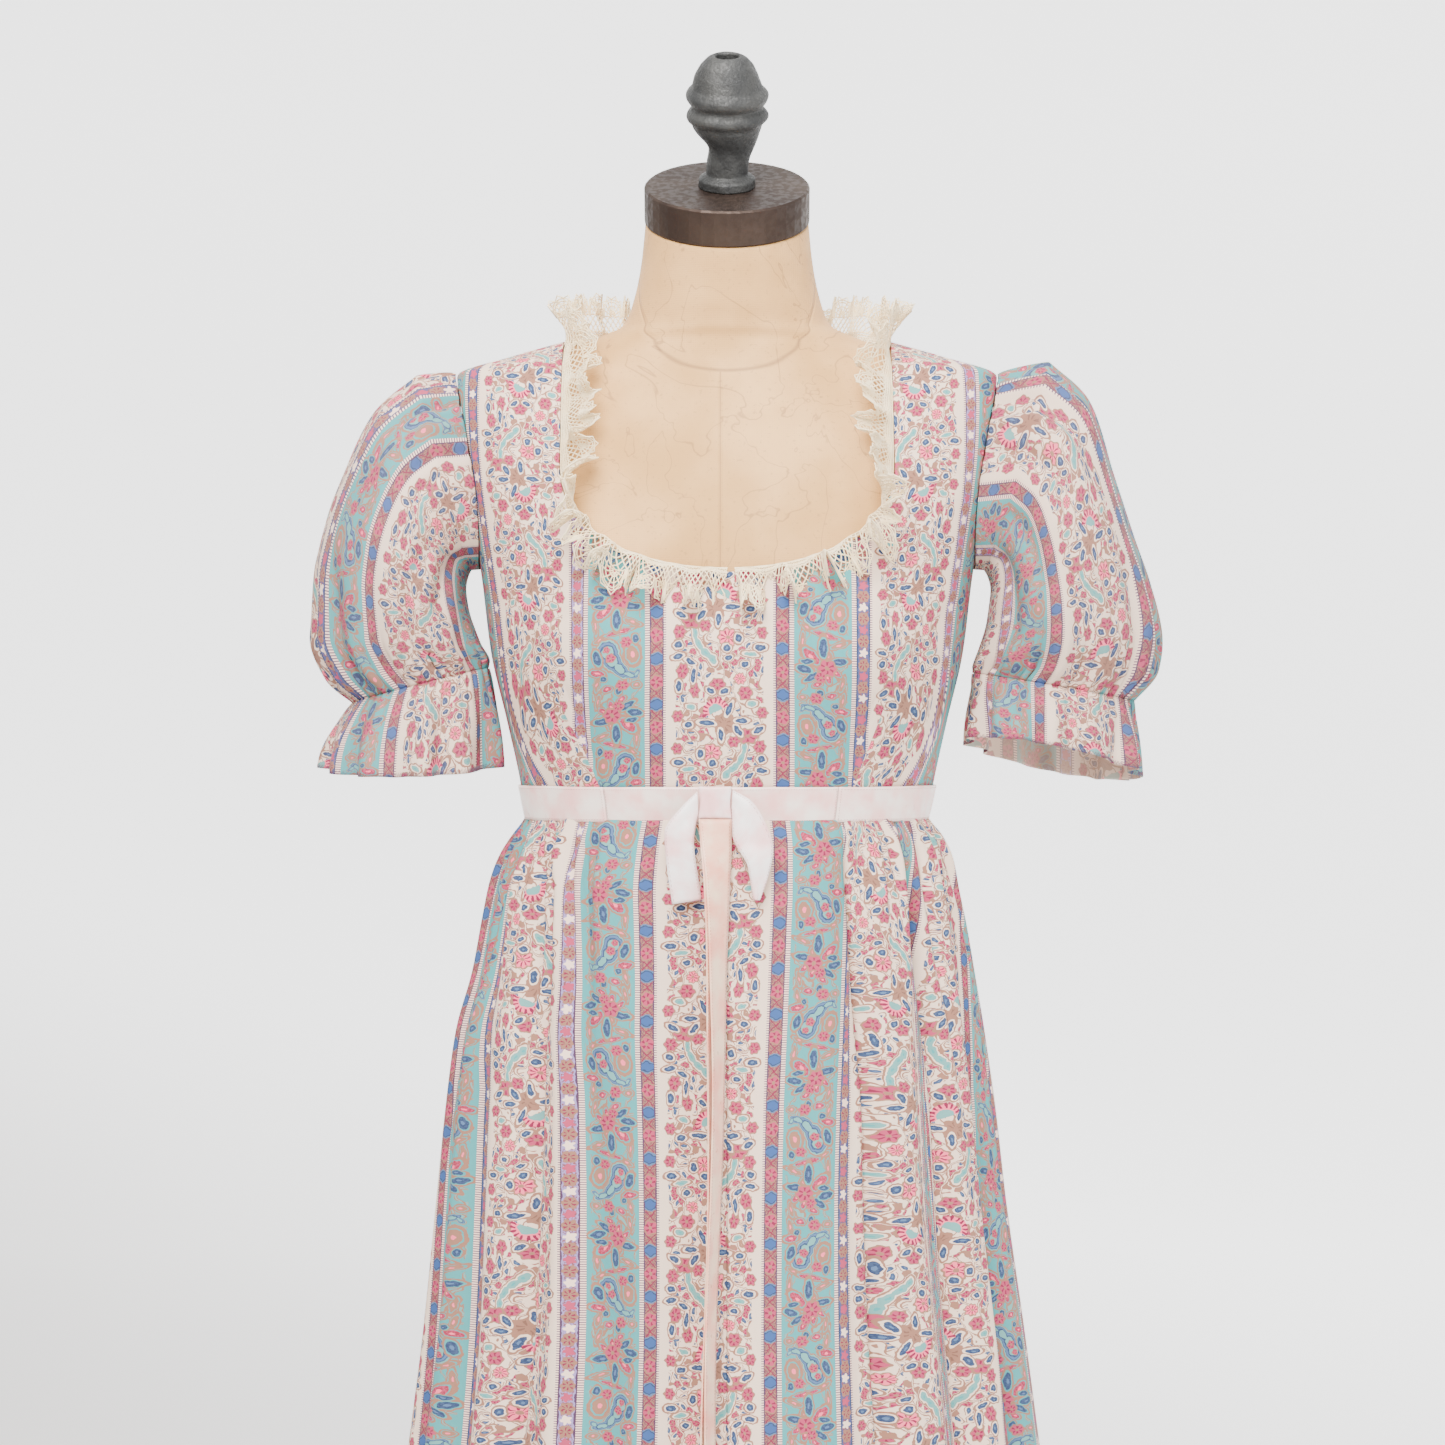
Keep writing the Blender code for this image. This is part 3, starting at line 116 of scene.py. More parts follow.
class Flow:
    """A value on its way through a material; Python's operators add the Math nodes."""

    def __init__(self, tree, socket):
        self.tree = tree
        self.socket = socket

    def node(self, kind, settings, values, output=0):
        """Any node: its settings first, then its sockets, by name or number."""
        made = self.tree.nodes.new(kind)
        for name, value in settings.items():
            setattr(made, name, value)
        for place, value in values.items():
            if isinstance(value, Flow):
                self.tree.links.new(value.socket, made.inputs[place])
            else:
                made.inputs[place].default_value = value
        return Flow(self.tree, made.outputs[output])

    def maths(self, operation, *others):
        values = dict(enumerate((self, *others)))
        return self.node("ShaderNodeMath", {"operation": operation}, values)

    def __add__(self, other):
        return self.maths("ADD", other)

    __radd__ = __add__

    def __mul__(self, other):
        return self.maths("MULTIPLY", other)

    __rmul__ = __mul__

    def __sub__(self, other):
        return self.maths("SUBTRACT", other)

    def __rsub__(self, other):
        return self.node("ShaderNodeMath", {"operation": "SUBTRACT"}, {0: other, 1: self})

    def __truediv__(self, other):
        return self.maths("DIVIDE", other)

    def below(self, other):
        return self.maths("LESS_THAN", other)

    def above(self, other):
        return self.maths("GREATER_THAN", other)

    def least(self, other):
        return self.maths("MINIMUM", other)

    def ramp(self, low, high, start=0.0, end=1.0):
        """A smooth step from start to end while this value runs from low to high."""
        values = {0: self, 1: low, 2: high, 3: start, 4: end}
        return self.node("ShaderNodeMapRange", {"interpolation_type": "SMOOTHSTEP"}, values)

    def cosine(self):
        return self.maths("COSINE")

    def __abs__(self):
        return self.maths("ABSOLUTE")


def blend(share, first, second):
    """Colour first where share is 0, second where it is 1."""
    values = {0: share}
    for place, colour in ((6, first), (7, second)):
        values[place] = colour if isinstance(colour, Flow) else (*colour, 1.0)
    settings = {"data_type": "RGBA", "clamp_factor": True}
    return share.node("ShaderNodeMix", settings, values, output=2)


# %% Colours as they are seen
TONE_SEEN = (0, 32, 65, 100, 136, 170, 193, 211, 225, 240)
TONE_LIGHT = (0.0, 0.02, 0.06, 0.13, 0.25, 0.5, 0.9, 1.6, 2.8, 6.0)
STUDIO_LIGHT = 3.0


def seen(red, green, blue):
    """The paint that shows in the picture as this colour, each part from 0 to 255.

    A picture's tone curve presses bright light together, as film does. The colour is first
    turned back into light, then divided by how brightly the studio lights a surface.
    """
    light = np.interp((red, green, blue), TONE_SEEN, TONE_LIGHT) / STUDIO_LIGHT
    return tuple(float(part) for part in np.minimum(light, 0.86))


# %% A new material with its shader


def new_shader(material, roughness, metallic=0.0, sheen=0.0, coat=0.0, specular=0.5):
    shader = material.node_tree.nodes.new("ShaderNodeBsdfPrincipled")
    shader.inputs["Roughness"].default_value = roughness
    shader.inputs["Metallic"].default_value = metallic
    shader.inputs["Sheen Weight"].default_value = sheen
    shader.inputs["Sheen Roughness"].default_value = 0.45
    shader.inputs["Coat Weight"].default_value = coat
    shader.inputs["Specular IOR Level"].default_value = specular
    return shader


def new_finish(name, roughness, **shine):
    """An empty material, its shader node and a Flow to start from."""
    material = bpy.data.materials.new(name)
    material.use_nodes = True
    nodes_here = material.node_tree.nodes
    nodes_here.remove(nodes_here["Principled BSDF"])
    shader = new_shader(material, roughness, **shine)
    start = Flow(material.node_tree, None)
    show(start, Flow(material.node_tree, shader.outputs[0]))
    return material, shader, start


def show(start, surface):
    """Makes this the material's surface."""
    start.tree.links.new(surface.socket, start.tree.nodes["Material Output"].inputs["Surface"])


def feed(shader, socket, flow):
    flow.tree.links.new(flow.socket, shader.inputs[socket])


def bump_of(height, distance, strength=1.0):
    """Height, from 0 to 1, as a bump of this many metres."""
    values = {"Strength": strength, "Distance": distance, "Height": height}
    return height.node("ShaderNodeBump", {}, values)


def bumped(shader, height, distance, strength=1.0):
    feed(shader, "Normal", bump_of(height, distance, strength))


def cloth_place(start):
    """The piece's own UV map, in metres of flat cloth."""
    return start.node("ShaderNodeUVMap", {"uv_map": "UVMap"}, {})


def object_place(start):
    return start.node("ShaderNodeTexCoord", {}, {}, output=3)


def noise(place, scale, detail=2.0, roughness=0.5, distortion=0.0, output=0, on_cloth=False):
    """Cloudy variation; on flat cloth two dimensions are enough, and quicker."""
    values = {"Vector": place, "Scale": scale, "Detail": detail}
    values.update({"Roughness": roughness, "Distortion": distortion})
    settings = {"noise_dimensions": "2D" if on_cloth else "3D"}
    return place.node("ShaderNodeTexNoise", settings, values, output)


def vector(operation, first, *others, output=0):
    settings = {"operation": operation}
    return first.node("ShaderNodeVectorMath", settings, dict(enumerate((first, *others))), output)


def split(place):
    """The first two numbers of a vector; Vector Math keeps a long shader within Cycles' memory."""
    axes = ((1.0, 0.0, 0.0), (0.0, 1.0, 0.0))
    return [vector("DOT_PRODUCT", place, axis, output=1) for axis in axes]


def height_of(place):
    return place.node("ShaderNodeSeparateXYZ", {}, {0: place}, output=2)


def join(x, y):
    return x.node("ShaderNodeCombineXYZ", {}, {0: x, 1: y})


# %% Floor and wall in one sweep, the wall glowing with painted light and far enough to walk round the dress
WALL_GLOW = (1.90, 1.90, 1.91)
FLOOR_GLOW = (0.16, 0.10, 0.08)
WALL_Y = 9.0
WALL_HEIGHT = 12.0
SWEEP_TURN = 3.0
SWEEP_REACH = 14.0
SWEEP_STEPS = 12
BELOW_BASE = 0.0006


def sweep_material():
    material, shader, start = new_finish("painted sweep", 0.9)
    grain = noise(object_place(start), 60.0, 3.0)
    feed(shader, "Base Color", blend(grain, (0.84, 0.84, 0.83), (0.86, 0.86, 0.85)))
    x, y = split(object_place(start))
    # Painted light: the sweep glows more strongly higher up, further back and to the right, and only
    # faintly on the floor.
    distance = height_of(object_place(start)) + x * 0.35 + y.ramp(1.2, WALL_Y, 0.0, 0.95)
    feed(shader, "Emission Color", blend(distance.ramp(-0.5, 1.1), FLOOR_GLOW, WALL_GLOW))
    shader.inputs["Emission Strength"].default_value = 1.0
    return material


def new_piece(name, verts, faces, material):
    """A smoothly shaded mesh of one material, as an object."""
    mesh = bpy.data.meshes.new(name)
    mesh.from_pydata([tuple(vert) for vert in verts], [], faces)
    mesh.materials.append(material)
    for face in mesh.polygons:
        face.use_smooth = True
    return placed(name, mesh)


def build_sweep():
    """A floor that turns up into the wall behind."""
    turn = SWEEP_TURN
    profile = [(-SWEEP_REACH, 0.0), (WALL_Y - turn, 0.0)]
    for step in range(1, SWEEP_STEPS + 1):
        angle = math.pi / 2 * step / SWEEP_STEPS
        profile.append((WALL_Y - turn + turn * math.sin(angle), turn - turn * math.cos(angle)))
    profile.append((WALL_Y, WALL_HEIGHT))
    verts = [(x, y, z - BELOW_BASE) for y, z in profile for x in (-SWEEP_REACH, SWEEP_REACH)]
    faces = [(2 * i, 2 * i + 1, 2 * i + 3, 2 * i + 2) for i in range(len(profile) - 1)]
    made = new_piece("sweep", verts, faces, sweep_material())
    return made


sweep = build_sweep()
print("sweep faces:", len(sweep.data.polygons))

# %% [markdown]
# ## The form's surface
#
# Everything the dress lies on is one smooth surface: horizontal sections from
# a short table, joined by a curve that never overshoots. A point on it is named
# by its azimuth, turned from the front, and its height. The numbers are the
# model's own, so whatever is laid on this surface also fits the solids.

# %% Curves through a table
def smoothstep(value):
    value = np.clip(value, 0.0, 1.0)
    return value * value * (3 - 2 * value)


def unit(vectors):
    return vectors / np.linalg.norm(vectors, axis=-1, keepdims=True)


def matched(*values):
    """The values as arrays of one shape."""
    return np.broadcast_arrays(*(np.asarray(value, float) for value in values))


def run_along(places):
    """Length from the first of a row of points to each of them."""
    return np.concatenate([[0], np.cumsum(np.linalg.norm(np.diff(places, axis=0), axis=-1))])


def bell(away, width):
    """1 in the middle, fading away softly over this width."""
    return np.exp(-((away / width) ** 2))


def monotone_curve(stations, values, where):
    """A smooth curve through the rows of a table that never overshoots a row."""
    stations, values = np.asarray(stations, float), np.asarray(values, float)
    steps = np.diff(stations)
    rises = np.diff(values) / steps
    slopes = np.zeros(len(values))
    slopes[0], slopes[-1] = rises[0], rises[-1]
    for i in range(1, len(values) - 1):
        if rises[i - 1] * rises[i] > 0:
            before = 2 * steps[i] + steps[i - 1]
            after = steps[i] + 2 * steps[i - 1]
            slopes[i] = (before + after) / (before / rises[i - 1] + after / rises[i])
    where = np.clip(where, stations[0], stations[-1])
    k = np.clip(np.searchsorted(stations, where, side="right") - 1, 0, len(steps) - 1)
    t = (where - stations[k]) / steps[k]
    step = steps[k]
    return (
        (2 * t**3 - 3 * t**2 + 1) * values[k]
        + (t**3 - 2 * t**2 + t) * step * slopes[k]
        + (3 * t**2 - 2 * t**3) * values[k + 1]
        + (t**3 - t**2) * step * slopes[k + 1]
    )


def read_table(columns, rows, name, where):
    """Column `name` of a table at the stations `where` of its first column."""
    at = columns.index(name)
    return monotone_curve([row[0] for row in rows], [row[at] for row in rows], where)


def read_section(columns, rows, where):
    """Every other column of a table at these stations of its first column, by name."""
    return {name: read_table(columns, rows, name, where) for name in columns[1:]}


def matching(columns, rows, **wanted):
    """A table's rows as dictionaries, only those that hold the wanted values."""
    named = [dict(zip(columns, row)) for row in rows]
    return [row for row in named if all(row[name] == value for name, value in wanted.items())]


def signed_power(value, power):
    return np.sign(value) * np.abs(value) ** power


# %% Sections of the form
BODY_COLUMNS = ("z", "half_width", "front", "back", "exponent", "centre_y")
BODY_ROWS = (
    (0.780, 0.1400, 0.0900, 0.1000, 2.30, 0.004),
    (0.860, 0.1500, 0.0970, 0.1100, 2.20, 0.004),
    (0.920, 0.1490, 0.0970, 0.1080, 2.15, 0.004),
    (1.000, 0.1370, 0.0930, 0.0960, 2.10, 0.004),
    (1.060, 0.1275, 0.0900, 0.0860, 2.10, 0.004),
    (1.100, 0.1295, 0.0940, 0.0830, 2.10, 0.003),
    (1.144, 0.1375, 0.1030, 0.0850, 2.10, 0.002),
    (1.200, 0.1495, 0.1120, 0.0920, 2.15, 0.002),
    (1.245, 0.1600, 0.1160, 0.0980, 2.20, 0.002),
    (1.300, 0.1670, 0.1100, 0.1030, 2.30, 0.003),
    (1.350, 0.1760, 0.0990, 0.1060, 2.35, 0.005),
    (1.400, 0.1855, 0.0830, 0.1040, 2.10, 0.008),
    (1.420, 0.1870, 0.0760, 0.1000, 1.95, 0.010),
    (1.437, 0.1850, 0.0700, 0.0940, 1.75, 0.011),
    (1.449, 0.1500, 0.0660, 0.0850, 1.60, 0.011),
    (1.459, 0.1140, 0.0635, 0.0750, 1.60, 0.011),
    (1.465, 0.0900, 0.0620, 0.0690, 1.75, 0.010),
    (1.471, 0.0735, 0.0605, 0.0650, 1.90, 0.009),
    (1.489, 0.0648, 0.0590, 0.0600, 2.00, 0.006),
    (1.515, 0.0592, 0.0540, 0.0540, 2.00, 0.001),
    (1.5425, 0.0562, 0.0505, 0.0505, 2.00, -0.004),
)
BUST_HALF_SPAN = 0.088
BUST_Z = 1.243
BUST_RISE = 0.015
BUST_REACH = 0.044
BUST_REACH_UP = 0.062
BUST_REACH_DOWN = 0.050
NECK_TOP_Z = 1.5425
NECK_LEAN_FROM_Z = 1.456
NECK_TILT = math.radians(26)


def body_point(azimuth, z):
    """Point of the form's own surface."""
    azimuth, z = matched(azimuth, z)
    section = read_section(BODY_COLUMNS, BODY_ROWS, z)
    power = 2 / section["exponent"]
    side, ahead = np.sin(azimuth), np.cos(azimuth)
    depth = np.where(ahead > 0, section["front"], section["back"])
    x = section["half_width"] * signed_power(side, power)
    y = section["centre_y"] - depth * signed_power(ahead, power)
    across = (np.abs(x) - BUST_HALF_SPAN) / BUST_REACH
    up = (z - BUST_Z) / np.where(z > BUST_Z, BUST_REACH_UP, BUST_REACH_DOWN)
    y = y - BUST_RISE * np.exp(-across**2 - up**2) * smoothstep(ahead / 0.35)
    lean = smoothstep((z - NECK_LEAN_FROM_Z) / (NECK_TOP_Z - NECK_LEAN_FROM_Z))
    return np.stack([x, y, z + (y - section["centre_y"]) * math.tan(NECK_TILT) * lean], axis=-1)


def outward(surface, azimuth, z):
    """Unit normals of surface(azimuth, z), pointing away from its axis."""
    turn, rise = 0.03, 0.0015
    across = surface(azimuth + turn, z) - surface(azimuth - turn, z)
    upward = surface(azimuth, z + rise) - surface(azimuth, z - rise)
    return unit(np.cross(across, upward))


def over_body(azimuth, z, offset):
    azimuth, z = matched(azimuth, z)
    offset = np.asarray(offset, float)
    return body_point(azimuth, z) + outward(body_point, azimuth, z) * offset[..., None]


def azimuth_at(x, z, behind=False):
    """Azimuth at which the form's section at height z has this x."""
    half_width = read_table(BODY_COLUMNS, BODY_ROWS, "half_width", z)
    exponent = read_table(BODY_COLUMNS, BODY_ROWS, "exponent", z)
    ratio = np.clip(np.abs(x) / half_width, 0, 1)
    turned = np.arcsin(ratio ** (exponent / 2))
    turned = np.where(behind, math.pi - turned, turned)
    return np.where(np.asarray(x) < 0, -turned, turned)


print("bust half width:", round(float(body_point(math.pi / 2, BUST_Z)[0]), 4))

# %% [markdown]
# ## Edges of the bodice
#
# A bodice pattern is drawn by its edges: the neckline, the armholes, the side
# seams and the waist. Each edge here is a line on the form's surface, and a
# Coons patch fills the cloth in between, as paper stretched over four wires.

# %% Edge lines
SEAM_Z = 1.1329
UNDERARM_Z = 1.305
STRAP_FROM_Z = 1.340
SHOULDER_TIP_Z = 1.4365
HIGH_SHOULDER_Z = 1.4600
NECK_HALF_WIDTH = 0.112
SCOOP_BOTTOM_Z = 1.297
SCOOP_TURN_Z = 1.372
BACK_NECK_Z = 1.4625
ARMHOLE_FRONT_CUT = math.radians(19)
ARMHOLE_BACK_CUT = math.radians(17)
ZIP_HALF_WIDTH = 0.0026
SEAM_GAP = 0.0003


def points_along(curve, fractions, surface):
    """Points of curve (azimuth, z) at these fractions of its length on the surface."""
    azimuth, z = curve
    places = surface(azimuth, z)
    run = run_along(places)
    wanted = np.asarray(fractions) * run[-1]
    return np.stack([np.interp(wanted, run, azimuth), np.interp(wanted, run, z)], axis=-1)


def coons(bottom, top, left, right):
    """Points filled in between four borders, each a row of (azimuth, z)."""
    v = np.linspace(0, 1, len(left))[:, None, None]
    u = np.linspace(0, 1, len(bottom))[None, :, None]
    along = (1 - v) * bottom[None] + v * top[None]
    across = (1 - u) * left[:, None] + u * right[:, None]
    corners = (1 - v) * ((1 - u) * bottom[0] + u * bottom[-1]) + v * ((1 - u) * top[0] + u * top[-1])
    return along + across - corners


def armhole(turn, side, offset):
    """Point of the armhole seam: turn 0 is the shoulder tip, pi is the underarm, past pi the front."""
    middle = (SHOULDER_TIP_Z + UNDERARM_Z) / 2
    z = middle + (SHOULDER_TIP_Z - UNDERARM_Z) / 2 * np.cos(turn)
    swing = np.sin(turn)
    cut = np.where(swing < 0, ARMHOLE_FRONT_CUT, ARMHOLE_BACK_CUT)
    azimuth = side * (math.pi / 2 + cut * swing)
    if offset is None:
        return azimuth, z
    return over_body(azimuth, z, offset)


def front_neckline(steps=60):
    """(azimuth, z) from the middle of the scoop to the high shoulder point, on the +X side."""
    round_part = np.linspace(0, math.pi / 2, steps)
    power = 2 / 2.2
    x = NECK_HALF_WIDTH * np.sin(round_part) ** power
    z = SCOOP_TURN_Z - (SCOOP_TURN_Z - SCOOP_BOTTOM_Z) * np.cos(round_part) ** power
    straight = np.linspace(SCOOP_TURN_Z, HIGH_SHOULDER_Z, steps)[1:]
    z = np.concatenate([z, straight])
    x = np.concatenate([x, np.full(steps - 1, NECK_HALF_WIDTH)])
    azimuth = azimuth_at(x, z)
    azimuth[-1] = math.pi / 2
    return azimuth, z


def back_neckline(steps=60):
    """(azimuth, z) from the high shoulder point to the centre back, on the +X side."""
    t = np.linspace(0, 1, steps)
    azimuth = math.pi / 2 * (1 + t)
    z = HIGH_SHOULDER_Z + (BACK_NECK_Z - HIGH_SHOULDER_Z) * smoothstep(t / 0.25)
    return azimuth, z


def rows_up_strap(count):
    """Fractions of a strap's height, closer together near the shoulder, where it turns fastest."""
    return 1 - (1 - np.linspace(0, 1, count + 1)) ** 1.7


def armhole_turn(z):
    middle = (SHOULDER_TIP_Z + UNDERARM_Z) / 2
    return np.arccos(np.clip((z - middle) / (SHOULDER_TIP_Z - middle), -1, 1))


def centre_back_edge(z):
    """Azimuth of a back panel's edge beside the zip, on the +X side."""
    return azimuth_at(np.full(np.shape(z), ZIP_HALF_WIDTH + SEAM_GAP), z, behind=True)


def side_azimuth(z, facing):
    """The side seam, and above the underarm the armhole; facing -1 is the front half."""
    turn = armhole_turn(z)
    on_armhole = armhole(turn if facing > 0 else 2 * math.pi - turn, 1, None)[0]
    return np.where(z > UNDERARM_Z, on_armhole, math.pi / 2)


# %% Lengths over the surface, for the flat pattern


def run_between(surface, azimuth, z, other_azimuth, other_z, steps=24):
    """Length over the surface from each point to its partner, by short chords."""
    share = np.linspace(0, 1, steps + 1).reshape((-1,) + (1,) * np.ndim(azimuth))
    places = surface(azimuth + (other_azimuth - azimuth) * share, z + (other_z - z) * share)
    return np.linalg.norm(np.diff(places, axis=0), axis=-1).sum(axis=0)


def signed_run(azimuth, z):
    """How far round from the centre front, at the same height."""
    zero = np.zeros_like(azimuth)
    return np.sign(azimuth) * run_between(body_point, zero, z, azimuth, z)


def rise_from_waist(azimuth, z):
    low = np.full_like(z, SEAM_Z)
    return run_between(body_point, azimuth, low, azimuth, z) + SEAM_Z


# %% [markdown]
# ## Sheets of cloth
#
# A cloth piece is a fine grid of points with a flat pattern beside it: for each
# point, where it lay on the bolt, in metres. The print reads that pattern, so
# stripes bend with the cloth. Solidify gives it the thickness of the fabric.

# %% Grids into cloth
SIDE_WORD = {-1: "left", 1: "right"}
SHEET_FACES = 2
SEWN = {}


def facing_out(points, flat, inside):
    """Turns a grid's columns round when its faces look towards the point inside."""
    row, column = points.shape[0] // 2, points.shape[1] // 2
    here = points[row, column]
    across = points[row, column + 1] - here
    up = points[row + 1, column] - here
    if np.dot(np.cross(across, up), here - np.asarray(inside)) < 0:
        return points[:, ::-1], flat[:, ::-1]
    return points, flat


def cloth_mesh(name, patches, materials, merge=0.00003):
    """One mesh from (points, flat) grids that share their borders."""
    points = np.concatenate([grid.reshape(-1, 3) for grid, flat in patches])
    flats = np.concatenate([flat.reshape(-1, 2) for grid, flat in patches])
    faces = []
    start = 0
    for grid, flat in patches:
        rows, columns = grid.shape[:2]
        r, c = np.meshgrid(np.arange(rows - 1), np.arange(columns - 1), indexing="ij")
        low = start + r * columns + c
        faces.append(np.stack([low, low + 1, low + columns + 1, low + columns], axis=-1).reshape(-1, 4))
        start += rows * columns
    faces = np.concatenate(faces)
    mesh = bpy.data.meshes.new(name)
    mesh.from_pydata(points.tolist(), [], faces.tolist())
    chart = mesh.uv_layers.new(name="UVMap")
    chart.data.foreach_set("uv", flats[faces.reshape(-1)].reshape(-1).astype(np.float32))
    for material in materials:
        mesh.materials.append(material)
    shape = bmesh.new()
    shape.from_mesh(mesh)
    bmesh.ops.remove_doubles(shape, verts=shape.verts, dist=merge)
    for face in shape.faces:
        face.smooth = True
    shape.to_mesh(mesh)
    shape.free()
    return placed(name, mesh)


def settled(made):
    """The object with its modifiers made real."""
    bpy.context.view_layer.update()
    graph = bpy.context.evaluated_depsgraph_get()
    mesh = bpy.data.meshes.new_from_object(made.evaluated_get(graph))
    made.modifiers.clear()
    made.data = mesh
    return made


def with_wall(made, thickness, inner_slot=0):
    """Gives a sheet its thickness, outward; the wrong side may have a material of its own."""
    wall = made.modifiers.new("wall", "SOLIDIFY")
    wall.thickness = thickness
    wall.offset = 1.0
    wall.material_offset = inner_slot
    return settled(made)


def cut_cloth(name, patches, finish, thickness):
    """A cloth piece with its thickness: the finish outside, the wrong side within."""
    made = cloth_mesh(name, patches, [finish, wrong_side])
    return with_wall(made, thickness, inner_slot=1)


def cloth_area(made):
    """Area of the cloth itself, whose mesh has two faces."""
    return sum(face.area for face in made.data.polygons) / SHEET_FACES

# %% [markdown]
# ## The striped print
#
# The cloth is printed in long stripes: wide white ones full of small flowers,
# aqua ones with lilies and paisleys, and narrow ones of blue and rose. The
# design is drawn with ovals, each measured from its own middle, so that one
# node gives "how far, as a share of my size". It is glided and turned over
# each half repeat, as block printers do, so one drawing serves both hands.

# %% Stripe layout in millimetres, out from the middle of a white stripe
HALF_REPEAT = 136.5
WHITE_EDGE = 34.0
WHITE_MARGIN = 28.6
ROSE_MIDDLE, ROSE_HALF = 41.65, 4.65
AQUA_MIDDLE, AQUA_HALF = 68.1, 18.8
BLUE_MIDDLE, BLUE_HALF = 94.7, 4.8
FIGURE_HALF = 76.2
NARROW_REPEAT = 30.3

INK = {
    "ground": seen(218, 212, 204), "tan": seen(190, 158, 140), "deep_tan": seen(172, 138, 118),
    "pink": seen(202, 112, 148), "deep_pink": seen(176, 66, 110), "rose": seen(176, 118, 126),
    "blue": seen(104, 130, 164), "deep_blue": seen(84, 106, 146), "sky": seen(96, 138, 182),
    "aqua": seen(122, 191, 192), "pale_aqua": seen(158, 194, 192), "violet": seen(120, 134, 176),
    "lilac": seen(190, 178, 202), "plum": seen(128, 92, 128), "white": seen(222, 214, 208),
    "tick": seen(158, 122, 152), "red": seen(190, 84, 112), "pale_pink": seen(222, 160, 178),
    "pale_blue": seen(134, 160, 186),
}

# %% Ovals, flowers and the glide


def oval(place, x, y, half_width, half_height, degrees=0.0):
    """The place measured from an oval's middle, with its edge at length 1."""
    moved = vector("SUBTRACT", place, (x, y, 0.0))
    if degrees:
        values = {0: moved, "Angle": -math.radians(degrees)}
        moved = moved.node("ShaderNodeVectorRotate", {"rotation_type": "Z_AXIS"}, values)
    return vector("DIVIDE", moved, (half_width, half_height, 1.0))


def reach(place):
    return vector("LENGTH", place, output=1)


def glided(shapes):
    """Adds, to a half repeat's shapes, the parts of its neighbours that stick into it."""
    found = []
    for x, y, half_width, half_height, degrees in shapes:
        found.append((x, y, half_width, half_height, degrees))
        size = 1.3 * max(half_width, half_height)
        if y + size > FIGURE_HALF:
            found.append((-x, y - FIGURE_HALF, half_width, half_height, -degrees))
        if y < size:
            found.append((-x, y + FIGURE_HALF, half_width, half_height, -degrees))
    return found


def nearest_oval(place, shapes):
    found = None
    for shape in glided(shapes):
        distance = reach(oval(place, *shape))
        found = distance if found is None else found.least(distance)
    return found


def nearest_flower(place, shapes):
    """Distance to the nearest flower, and the place measured from that flower."""
    found, local = None, None
    for shape in glided(shapes):
        here = oval(place, *shape)
        distance = reach(here)
        if found is None:
            found, local = distance, here
            continue
        closer = distance.below(found)
        values = {0: closer, 4: local, 5: here}
        local = closer.node("ShaderNodeMix", {"data_type": "VECTOR"}, values, output=1)
        found = found.least(distance)
    return found, local


def turn_of(local):
    x, y = split(local)
    return y.maths("ARCTAN2", x)


def fold_over(x, y):
    """Glide reflection: the second half repeat is the first one turned over."""
    along = y.maths("WRAP", 2 * FIGURE_HALF, 0.0)
    second = along.above(FIGURE_HALF)
    return join(x * (1 - 2 * second), along - second * FIGURE_HALF)


def draw_flower(colour, distance, local, petals, fill, lines):
    """Petals with darker gaps, a tan heart and a tan outline."""
    scallop = (turn_of(local) * petals).cosine()
    edge = distance - scallop * 0.11
    colour = blend(edge.below(1.22), colour, INK["tan"])
    colour = blend(edge.below(1.0), colour, fill)
    gap = scallop.below(-0.35) * edge.below(0.95) * distance.above(0.3)
    colour = blend(gap, colour, lines)
    return blend(distance.below(0.26), colour, INK["tan"])


def draw_ovals(colour, distance, fill, outline, rim=1.35):
    colour = blend(distance.below(rim), colour, outline)
    return blend(distance.below(1.0), colour, fill)


def draw_haloed(colour, distance, fill, gap, core, rim=1.75):
    """A filled shape, a gap of bare cloth round it, a tan line, and a pale midrib."""
    colour = blend(distance.below(rim), colour, INK["tan"])
    colour = blend(distance.below(rim - 0.42), colour, gap)
    colour = blend(distance.below(1.0), colour, fill)
    return blend(distance.below(0.32), colour, core)


def vines(place, colour, scale, level, gap):
    """Winding stems: two tan lines with bare cloth between them, along a contour of soft noise."""
    away = abs(noise(place, scale, 1.0, on_cloth=True) - level)
    colour = blend(away.below(0.030), colour, INK["tan"])
    return blend(away.below(0.010), colour, gap)


# %% [markdown]
# The shapes below are the drawing itself: middle, half width, half height and
# turn, in millimetres, inside one half repeat. Small filler flowers and leaves
# come from a Voronoi pattern, whose cells each get a flower or a leaf.

